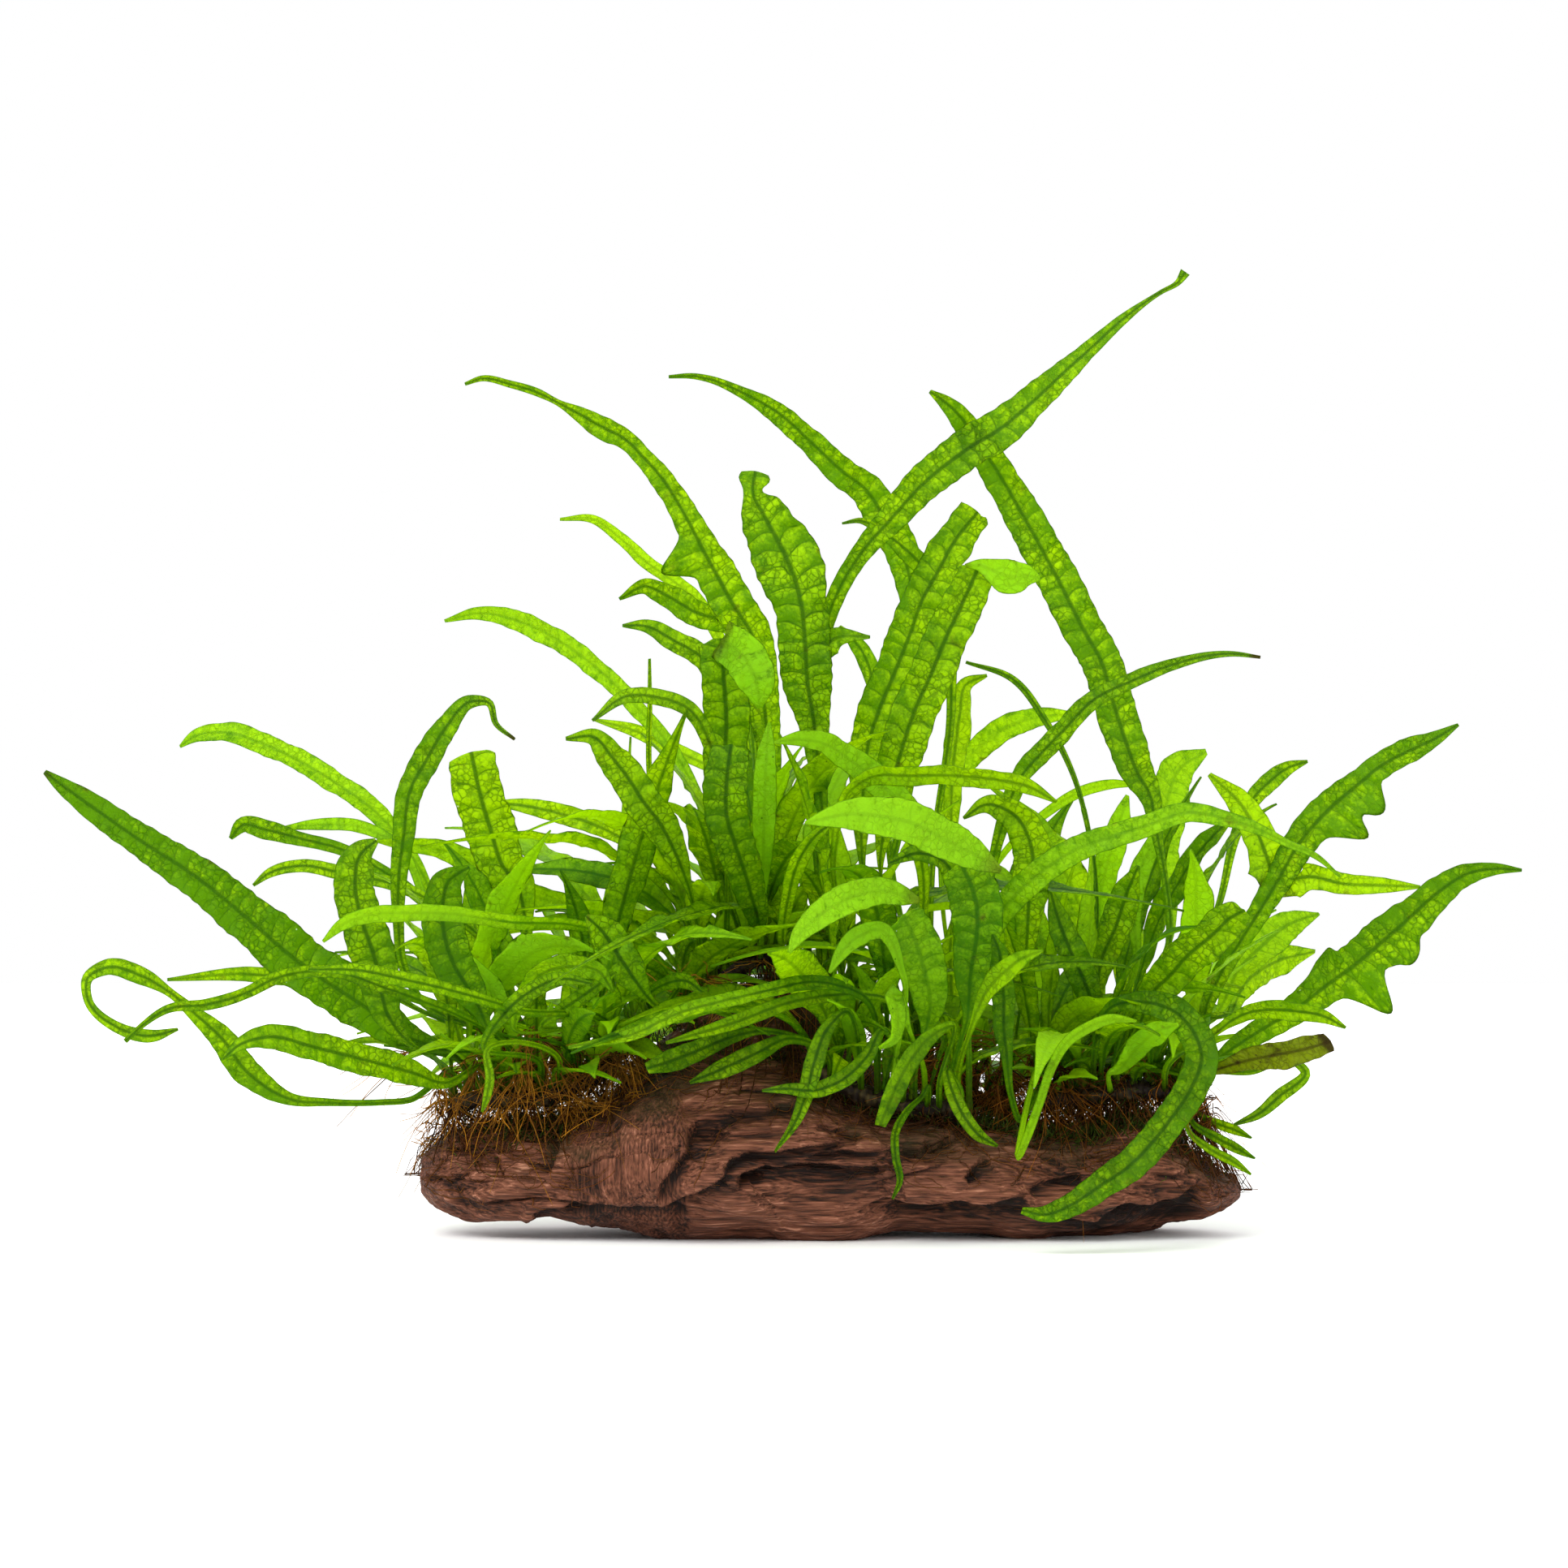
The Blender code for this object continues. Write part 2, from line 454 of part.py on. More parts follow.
def from_view(across, down, depth):
    """Millimetre points for places in the front view at the given depths."""
    spread = VIEW_UNIT * (VIEW_DISTANCE + depth) / VIEW_DISTANCE
    x = VIEW_X + (across - VIEW_CENTRE) * spread
    z = VIEW_Z - (down - VIEW_CENTRE) * spread
    return np.stack([x, depth, z], axis=-1)


def to_view(point):
    """Across and down in the front view of one millimetre point."""
    spread = VIEW_UNIT * (VIEW_DISTANCE + point[1]) / VIEW_DISTANCE
    return VIEW_CENTRE + (point[0] - VIEW_X) / spread, VIEW_CENTRE - (point[2] - VIEW_Z) / spread


def log_profile(x):
    """Top, underside and half depth of the wood at each x."""
    table = np.array(LOG_PROFILE, float)
    columns = smooth_rows(table[:, 1:], table[:, 0], np.clip(x, table[0, 0], table[-1, 0]))
    along = np.clip(2 * (x - LOG_LEFT) / (LOG_RIGHT - LOG_LEFT) - 1, -0.999, 0.999)
    shrink = (1 - np.abs(along) ** LOG_END_BLUNTNESS) ** (1 / LOG_END_BLUNTNESS)
    middle = (columns[:, 0] + columns[:, 1]) / 2
    half = (columns[:, 0] - columns[:, 1]) / 2 * shrink
    return middle, half, columns[:, 2] * shrink


def knob(x, y):
    return KNOB_HEIGHT * np.exp(
        -(((x - KNOB_CENTRE[0]) / KNOB_SPREAD[0]) ** 2) - ((y - KNOB_CENTRE[1]) / KNOB_SPREAD[1]) ** 2
    )


def log_top(x, y):
    """Height of the smooth top of the wood at one place in plan."""
    middle, half, depth = (column[0] for column in log_profile(np.array([float(x)])))
    across = min(abs(y) / depth, 0.98)
    return middle + half * (1 - across**LOG_ROUNDNESS) ** (1 / LOG_ROUNDNESS) + knob(x, y)


def log_grid():
    """Points of the wood's skin on stations along it and steps around it, and their outward directions."""
    even = np.linspace(-1, 1, LOG_STATIONS)
    sweep = LOG_SWEEP * np.pi / 2
    along = LOG_SPACING[0] * np.sin(even * sweep) / np.sin(sweep) + LOG_SPACING[1] * even
    x = (LOG_LEFT + LOG_RIGHT) / 2 + along * LOG_REACH * (LOG_RIGHT - LOG_LEFT) / 2
    angle = np.arange(LOG_AROUND) * 2 * np.pi / LOG_AROUND
    middle, half, depth = (column[:, None] for column in log_profile(x))
    power = 2 / LOG_ROUNDNESS
    across = np.sign(np.cos(angle)) * np.abs(np.cos(angle)) ** power
    up = np.sign(np.sin(angle)) * np.abs(np.sin(angle)) ** power
    grain = 0.0
    for height, waves, turns, start in LOG_GRAIN:
        grain = grain + height * np.sin(waves * angle + turns * x[:, None] + start)
    y = across * (depth + grain)
    z = middle + up * (half + grain) + knob(x[:, None], y) * np.clip(up * 1.4, 0, 1)
    skin = np.stack([np.broadcast_to(x[:, None], y.shape), y, np.maximum(z, 0)], axis=-1)
    lengthways = np.gradient(skin, axis=0)
    around = (np.roll(skin, -1, axis=1) - np.roll(skin, 1, axis=1)) / 2
    outward = np.cross(around, lengthways)
    outward /= np.linalg.norm(outward, axis=-1, keepdims=True)
    return skin, outward


def grid_faces(rows, columns, closed):
    """Quads of a grid of points numbered row by row, wrapping round when closed."""
    last = columns if closed else columns - 1
    faces = []
    for start in range(0, (rows - 1) * columns, columns):
        for c in range(last):
            here, after = start + c, start + (c + 1) % columns
            faces.append((here, after, after + columns, here + columns))
    return faces


def turned(face):
    """The same quad facing the other way, still split along the same diagonal."""
    return (face[0], *face[:0:-1])


def make_driftwood(skin, material):
    rows, columns = skin.shape[:2]
    faces = [turned(face) for face in grid_faces(rows, columns, True)]
    faces.append(tuple(range(columns)))
    faces.append(tuple(reversed(range((rows - 1) * columns, rows * columns))))
    return face_outward(make_solid("driftwood", skin.reshape(-1, 3), faces, material))


def make_root_mat(name, skin, outward, material):
    """A lumpy blanket over part of the wood, thin at its rim."""
    size = MATS[name]
    rows = np.arange(*size["along"])
    columns = np.arange(*size["around"])
    patch = skin[np.ix_(rows, columns)]
    away = outward[np.ix_(rows, columns)]
    r = np.linspace(0, np.pi, len(rows))[:, None]
    c = np.linspace(0, np.pi, len(columns))[None, :]
    height, r_waves, c_waves = MAT_LUMPS
    lumps = 1 - height + height * np.sin(r_waves * r * len(rows)) * np.cos(c_waves * c * len(columns))
    thick = MAT_RIM + (size["thick"] - MAT_RIM) * (np.sin(r) * np.sin(c)) ** MAT_FULLNESS * lumps
    inner = patch + away * MAT_GAP
    outer = patch + away * (MAT_GAP + thick[..., None])
    count = len(rows) * len(columns)
    inner_faces = grid_faces(len(rows), len(columns), False)
    faces = inner_faces + [tuple(count + corner for corner in turned(face)) for face in inner_faces]
    number = np.arange(count).reshape(len(rows), len(columns))
    rim = np.concatenate([number[0], number[1:, -1], number[-1, -2::-1], number[-2:0:-1, 0]]).tolist()
    for start, end in zip(rim, rim[1:] + rim[:1]):
        faces.append((end, start, start + count, end + count))
    points = np.concatenate([inner.reshape(-1, 3), outer.reshape(-1, 3)])
    return face_outward(make_solid(name, points, faces, material))


def face_outward(solid):
    """Turns the faces of a closed mesh outwards when its signed volume is negative."""
    mesh = solid.data
    mesh.calc_loop_triangles()
    corners = [[mesh.vertices[v].co for v in triangle.vertices] for triangle in mesh.loop_triangles]
    if np.linalg.det(np.array(corners)).sum() < 0:
        mesh.flip_normals()
    return solid


def stem_path(name):
    stem = STEMS[name]
    plan = evenly_along(stem["plan"], STEM_STATIONS)
    height = [log_top(x, y) + stem["lift"] for x, y in plan]
    path = np.column_stack([plan, height])
    path[1:-1, 2] = (path[:-2, 2] + path[1:-1, 2] * 2 + path[2:, 2]) / 4
    path[:, 2] = np.maximum(path[:, 2], np.array(height) - STEM_DIP)
    return path


def point_on_stem(name, place):
    path = stem_path(name)
    at = np.linspace(0, 1, len(path))
    return np.array([np.interp(place, at, path[:, k]) for k in range(3)])


def make_stem(name, material):
    """A knobbly creeping stem with rounded ends."""
    path = stem_path(name)
    rows = len(path)
    along = np.linspace(0, 1, rows)
    radius = STEM_RADIUS * (1 + STEM_KNOBS[0] * np.sin(along * STEM_KNOBS[1]))
    radius[[0, -1]] *= STEM_END
    angle = np.arange(STEM_SIDES) * 2 * np.pi / STEM_SIDES
    tangent = np.gradient(path, axis=0)
    side = np.cross(tangent, (0, 0, 1))
    side /= np.linalg.norm(side, axis=1, keepdims=True)
    up = np.cross(side, tangent)
    up /= np.linalg.norm(up, axis=1, keepdims=True)
    ring = side[:, None] * np.cos(angle)[None, :, None] + up[:, None] * np.sin(angle)[None, :, None]
    points = path[:, None] + ring * radius[:, None, None]
    faces = grid_faces(rows, STEM_SIDES, True)
    faces.append(tuple(reversed(range(STEM_SIDES))))
    faces.append(tuple(range((rows - 1) * STEM_SIDES, rows * STEM_SIDES)))
    return face_outward(make_solid("rhizome_" + name, points.reshape(-1, 3), faces, material))


def is_young(name):
    return name.startswith("young")


def frond_rows(name):
    """Rows of (across, down, width, depth) along a frond, from the stem that carries it to its tip."""
    stem, place, depth_half, depth_tip, _, _, seen, _ = FRONDS[name]
    base = point_on_stem(stem, place)
    if not is_young(name):
        base[1] += STEM_SHOULDER * np.sign(depth_tip - base[1])
        base[2] += STEM_RADIUS + FREE_GAP
    rise = base + (0, 0, PETIOLE_RISE)
    start = [(*to_view(base), PETIOLE_WIDTH), (*to_view(rise), PETIOLE_WIDTH)]
    rows = evenly_along(start + list(seen), SAMPLES)
    along = np.linspace(0, 1, SAMPLES)
    depth = (
        base[1] * (1 - along) * (1 - 2 * along)
        + depth_half * 4 * along * (1 - along)
        + depth_tip * along * (2 * along - 1)
    )
    rows[:, 2] = np.maximum(rows[:, 2], LEAST_WIDTH)
    return np.column_stack([rows, depth])


def frame_of(points):
    """Directions across a line of points in the view, and off the view."""
    tangent = np.gradient(points, axis=0)
    tangent /= np.linalg.norm(tangent, axis=1, keepdims=True)
    across = np.cross(tangent, (0.0, 1.0, 0.0))
    across /= np.linalg.norm(across, axis=1, keepdims=True)
    return across, np.cross(tangent, across)


def section_sides(rows, roll_base, roll_tip):
    """Centre points, the left and right edge offsets, and the direction off the blade, for each row."""
    centre = from_view(rows[:, 0], rows[:, 1], rows[:, 3])
    across, off = frame_of(centre)
    roll = np.radians(np.linspace(roll_base, roll_tip, len(rows)))[:, None]
    wide = across * np.cos(roll) + off * np.sin(roll)
    normal = off * np.cos(roll) - across * np.sin(roll)
    half = (rows[:, 2] * VIEW_UNIT / 2 * (1 + rows[:, 3] / VIEW_DISTANCE))[:, None] / np.cos(roll)
    raised = normal * half * FOLD
    return centre, raised - wide * half, raised + wide * half, normal


def half_depths(rows, roll_base, roll_tip):
    _, left, right, _ = section_sides(rows, roll_base, roll_tip)
    return np.maximum(np.abs(left[:, 1]), np.abs(right[:, 1])) + RIB_THICKNESS / 2


def pushed_apart(first, second):
    """The pushes in depth that part two fronds where they cross in the front view."""
    near = np.linalg.norm(first["seen"][:, None] - second["seen"][None], axis=2)
    reach = (first["width"][:, None] + second["width"][None]) / 2 + CROSSING_MARGIN
    crossing = near < reach
    needed = first["half"][:, None] + second["half"][None] + CLEARANCE
    apart = first["depth"][:, None] - second["depth"][None]
    pushes = np.zeros(len(first["depth"])), np.zeros(len(second["depth"]))
    hit = np.flatnonzero(crossing.any(axis=1))
    if not len(hit):
        return pushes
    for group in np.split(hit, np.flatnonzero(np.diff(hit) > 1) + 1):
        block = crossing[group]
        weight = block * np.maximum(first["free"][group][:, None], second["free"][None])
        lean = (apart[group] * weight).sum()
        side = 1.0 if lean >= 0 else -1.0
        lack = np.where(block, needed[group] - side * apart[group], 0)
        lack = np.maximum(lack, 0)
        share = first["free"][group][:, None] + second["free"][None] + TINY
        pushes[0][group] = np.where(
            lack.max(axis=1) > np.abs(pushes[0][group]),
            side * (lack * first["free"][group][:, None] / share).max(axis=1),
            pushes[0][group],
        )
        back = -side * (lack * second["free"][None] / share).max(axis=0)
        pushes[1][:] = np.where(np.abs(back) > np.abs(pushes[1]), back, pushes[1])
    return pushes


def spread_push(push, free):
    """A push carried to the neighbouring samples in a soft hump."""
    step = np.arange(len(push))
    hump = np.exp(-((step[:, None] - step[None]) ** 2) / (2 * PUSH_SPREAD**2))
    forward = (hump * np.maximum(push, 0)[None]).max(axis=1)
    backward = (hump * np.maximum(-push, 0)[None]).max(axis=1)
    return (forward - backward) * free


def off_the_wood(frond):
    """The push that keeps a frond in front of or behind the wood where it hangs beside it."""
    points = from_view(frond["seen"][:, 0], frond["seen"][:, 1], frond["depth"])
    middle, half, depth = log_profile(points[:, 0])
    beside = (points[:, 0] > LOG_LEFT - WOOD_END_MARGIN) & (points[:, 0] < LOG_RIGHT + WOOD_END_MARGIN)
    height = np.clip(np.abs(points[:, 2] - middle) / (half + WOOD_HEIGHT_MARGIN), 0, 1)
    keep = depth * (1 - height**LOG_ROUNDNESS) ** (1 / LOG_ROUNDNESS) + frond["half"] + WOOD_GAP
    beside &= points[:, 2] < middle + half + WOOD_END_MARGIN
    side = -1.0 if frond["depth"][len(frond["depth"]) // 2] < 0 else 1.0
    lack = np.where(beside, keep - side * frond["depth"], 0)
    return side * np.maximum(lack, 0)


def settled_fronds():
    """Every frond's rows, with their depths moved until no two fronds meet."""
    fronds = {}
    along = np.linspace(0, 1, SAMPLES)
    free = np.clip(along / HELD_SHARE, 0, 1) ** HELD_POWER
    for name in FRONDS:
        rows = frond_rows(name)
        fronds[name] = {
            "seen": rows[:, :2],
            "width": rows[:, 2],
            "depth": rows[:, 3].copy(),
            "half": half_depths(rows, *FRONDS[name][4:6]),
            "free": free,
            "node": FRONDS[name][0] if is_young(name) else name,
        }
    for name in STEMS:
        path = stem_path(name)
        seen = np.array([to_view(point) for point in path])
        fronds["stem " + name] = {
            "seen": seen,
            "width": np.full(len(path), 2 * STEM_ROOM * STEM_RADIUS / VIEW_UNIT),
            "depth": path[:, 1].copy(),
            "half": np.full(len(path), STEM_ROOM * STEM_RADIUS),
            "free": np.zeros(len(path)),
            "node": name,
        }
    names = list(fronds)
    carried = {name: "stem " + FRONDS[name][0] for name in FRONDS}
    pairs = []
    for i, first in enumerate(names):
        for second in names[i + 1:]:
            a, b = fronds[first], fronds[second]
            if a["node"] == b["node"] or carried.get(first) == second:
                continue
            margin = (a["width"].max() + b["width"].max()) / 2 + CROSSING_MARGIN
            low = np.maximum(a["seen"].min(axis=0), b["seen"].min(axis=0)) - margin
            high = np.minimum(a["seen"].max(axis=0), b["seen"].max(axis=0)) + margin
            if (low < high).all():
                pairs.append((a, b))
    for _ in range(SETTLE_ROUNDS):
        total = {id(frond): np.zeros(len(frond["depth"])) for frond in fronds.values()}
        for a, b in pairs:
            for frond, push in zip((a, b), pushed_apart(a, b)):
                kept = total[id(frond)]
                stronger = np.abs(push) > np.abs(kept)
                kept[stronger] = push[stronger]
        for frond in fronds.values():
            if frond["free"].any():
                frond["depth"] += SETTLE_STEP * spread_push(total[id(frond)], frond["free"])
                frond["depth"] += SETTLE_STEP * spread_push(off_the_wood(frond), frond["free"])
    return {
        name: np.column_stack([fronds[name]["seen"], fronds[name]["width"], fronds[name]["depth"]])
        for name in FRONDS
    }


def make_blade(name, rows, roll_base, roll_tip, material):
    """A thin closed blade: four corners a section, the edges raised into a shallow trough."""
    centre, left, right, normal = section_sides(rows, roll_base, roll_tip)
    rib = normal * RIB_THICKNESS / 2
    points = np.stack([centre + left, centre + rib, centre + right, centre - rib], axis=1)
    count = len(rows)
    faces = grid_faces(count, 4, True)
    faces.append((3, 2, 1, 0))
    faces.append(tuple(4 * (count - 1) + corner for corner in range(4)))
    return face_outward(make_solid(name, points.reshape(-1, 3), faces, material))


def lobe_rows(parent, seen):
    """Rows of a side lobe, at its parent's depth where it leaves it and a little forward at its tip."""
    rows = evenly_along(seen, LOBE_SECTIONS)
    nearest = np.argmin(np.linalg.norm(parent[:, :2] - rows[0, :2], axis=1))
    depth = parent[nearest, 3] - np.linspace(0.0, LOBE_FORWARD, len(rows))
    return np.column_stack([rows, depth])


def join_into(solid, others):
    """Makes one body of overlapping solids, and removes the ones that went into it."""
    for other in others:
        join = solid.modifiers.new(other.name, "BOOLEAN")
        join.operation = "UNION"
        join.solver = "EXACT"
        join.object = other
    bpy.context.view_layer.update()
    graph = bpy.context.evaluated_depsgraph_get()
    joined = bpy.data.meshes.new_from_object(solid.evaluated_get(graph))
    solid.modifiers.clear()
    solid.data = joined
    for other in others:
        bpy.data.objects.remove(other, do_unlink=True)


def make_frond(name, rows, material):
    """A whole frond with its lobes."""
    _, _, _, _, roll_base, roll_tip, _, lobes = FRONDS[name]
    steps = np.diff(from_view(rows[:, 0], rows[:, 1], rows[:, 3]), axis=0)
    length = np.linalg.norm(steps, axis=1).sum()
    sections = int(np.clip(length / SECTION_SPACING + 3, *SECTION_LIMITS))
    chosen = rows[np.linspace(0, len(rows) - 1, sections).round().astype(int)]
    blade = make_blade(name, chosen, roll_base, roll_tip, material)
    parts = []
    for number, seen in enumerate(lobes):
        parts.append(make_blade(f"{name}_lobe_{number}", lobe_rows(rows, seen), *LOBE_ROLL, material))
    if parts:
        join_into(blade, parts)
    return blade


def build():
    clear_scene()
    leaf = make_material("frond_green", LEAF_GREEN, 0.4)
    stem_green = make_material("rhizome_green", STEM_GREEN, 0.6)
    wood = make_material("driftwood_brown", WOOD_BROWN, 0.8)
    root = make_material("root_brown", ROOT_BROWN, 0.8)
    skin, outward = log_grid()
    make_driftwood(skin, wood)
    for name in MATS:
        make_root_mat(name, skin, outward, root)
    settled = settled_fronds()
    young = {name: [] for name in STEMS}
    for name, rows in settled.items():
        frond = make_frond(name, rows, leaf)
        if is_young(name):
            young[FRONDS[name][0]].append(frond)
    for name in STEMS:
        join_into(make_stem(name, stem_green), young[name])
    bpy.context.view_layer.update()


build()
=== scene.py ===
import bpy
import numpy as np
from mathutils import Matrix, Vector


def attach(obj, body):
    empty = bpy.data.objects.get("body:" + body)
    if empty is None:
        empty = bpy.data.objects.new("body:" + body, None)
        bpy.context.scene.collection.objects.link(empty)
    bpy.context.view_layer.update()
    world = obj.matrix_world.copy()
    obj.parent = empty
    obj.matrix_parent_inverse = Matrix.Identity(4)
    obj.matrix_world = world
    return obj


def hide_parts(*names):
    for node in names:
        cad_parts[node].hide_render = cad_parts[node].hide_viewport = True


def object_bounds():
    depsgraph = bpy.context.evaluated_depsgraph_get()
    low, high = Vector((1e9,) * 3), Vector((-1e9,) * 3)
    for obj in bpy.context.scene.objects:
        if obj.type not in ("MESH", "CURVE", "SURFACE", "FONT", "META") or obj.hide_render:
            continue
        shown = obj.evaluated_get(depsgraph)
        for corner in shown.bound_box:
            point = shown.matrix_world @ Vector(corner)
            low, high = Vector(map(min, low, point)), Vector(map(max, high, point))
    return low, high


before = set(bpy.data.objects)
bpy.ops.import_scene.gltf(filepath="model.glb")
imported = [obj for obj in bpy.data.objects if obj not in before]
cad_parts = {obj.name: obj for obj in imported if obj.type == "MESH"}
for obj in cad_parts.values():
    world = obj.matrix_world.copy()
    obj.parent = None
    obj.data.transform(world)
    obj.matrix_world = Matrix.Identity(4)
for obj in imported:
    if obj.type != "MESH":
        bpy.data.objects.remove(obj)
cadLow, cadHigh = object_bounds()

# The fronds are drawn as they are seen from the front, in view units across and down.
viewSettings = {
    "unit": 0.2,        # mm for one view unit at depth 0
    "centre": 966.0,    # the view's middle, in view units
    "distance": 1200.0,
    "x": -11.2,
    "z": 110.8,
}

woodSettings = {
    "left": -100.4, "right": 100.6,
    "roundness": 2.3, "bluntness": 4.5,
    # x, height of the top, height of the underside, half depth
    "profile": [(-101, 25, 1, 21), (-84, 27, 0, 25), (-64, 27, -1, 28), (-48, 37, -2, 31), (-30, 42, -2, 33),
                (-8, 40, -2, 33), (8, 34, -2, 32), (35, 28, -2, 30), (48, 23, -2, 28), (60, 25, -2, 27),
                (80, 28, -1, 24), (101, 22, 0, 19)],
    # the same for the finished skin, which follows the worn outline more closely
    "skin": [(-101, 23, 6, 20), (-94, 27, 3.5, 23), (-84, 27.5, 2.2, 25), (-66, 27, 4, 28), (-57, 30, 2.8, 29.5),
             (-50, 36, 2, 31), (-44, 41.5, 0.5, 31.5), (-34, 43.5, -1, 32.5), (-20, 43, -1, 33), (-8, 41, -1, 33),
             (4, 35.5, 0, 32), (14, 31.5, 2.2, 31.5), (30, 30, 1.5, 30.5), (46, 26, -1, 28.5), (56, 25, -1, 27.5),
             (68, 27.5, -1, 26), (77, 28.5, 0.5, 24.5), (84, 25, 2.6, 23.5), (92, 20, 3.6, 21), (101, 15, 6.5, 17)],
    "knobCentre": (-13.0, 7.0), "knobSpread": (24.0, 15.0), "knobHeight": 21.0,
    "rows": 384, "around": 248,
    "strands": 1.5, "fibres": 0.5, "lumps": 1.9, "cracks": 2.2, "hollows": 2.6, "flake": 0.3,
}

# Each creeping stem: plan points (x, y) and its height over the smooth top of the wood.
stems = {
    "left": {"plan": [(-93, -9), (-74, -13), (-52, -10)], "lift": 10.0},
    "left_back": {"plan": [(-86, 11), (-64, 15), (-44, 12)], "lift": 10.0},
    "crown": {"plan": [(-38, 2), (-14, 7), (8, 5)], "lift": 6.0},
    "middle_back": {"plan": [(14, 12), (30, 16), (46, 12)], "lift": 6.0},
    "front_middle": {"plan": [(-4, -20), (14, -21), (34, -17)], "lift": 4.5},
    "right": {"plan": [(50, -7), (68, -10), (90, -5)], "lift": 10.0},
    "right_back": {"plan": [(54, 12), (72, 14), (88, 10)], "lift": 10.0},
}

settleSettings = {
    "samples": 25, "rounds": 90, "fold": 0.16, "rib": 1.0, "clearance": 1.1, "margin": 9.0,
    "stemRadius": 2.0, "shoulder": 1.4, "gap": 0.8, "rise": 5.0, "stalk": 7.0, "least": 3.0,
    "heldShare": 0.22, "heldPower": 1.5, "hump": 2.2, "step": 0.5,
    "woodEnd": 3.0, "woodLift": 4.0, "woodGap": 3.0,
}

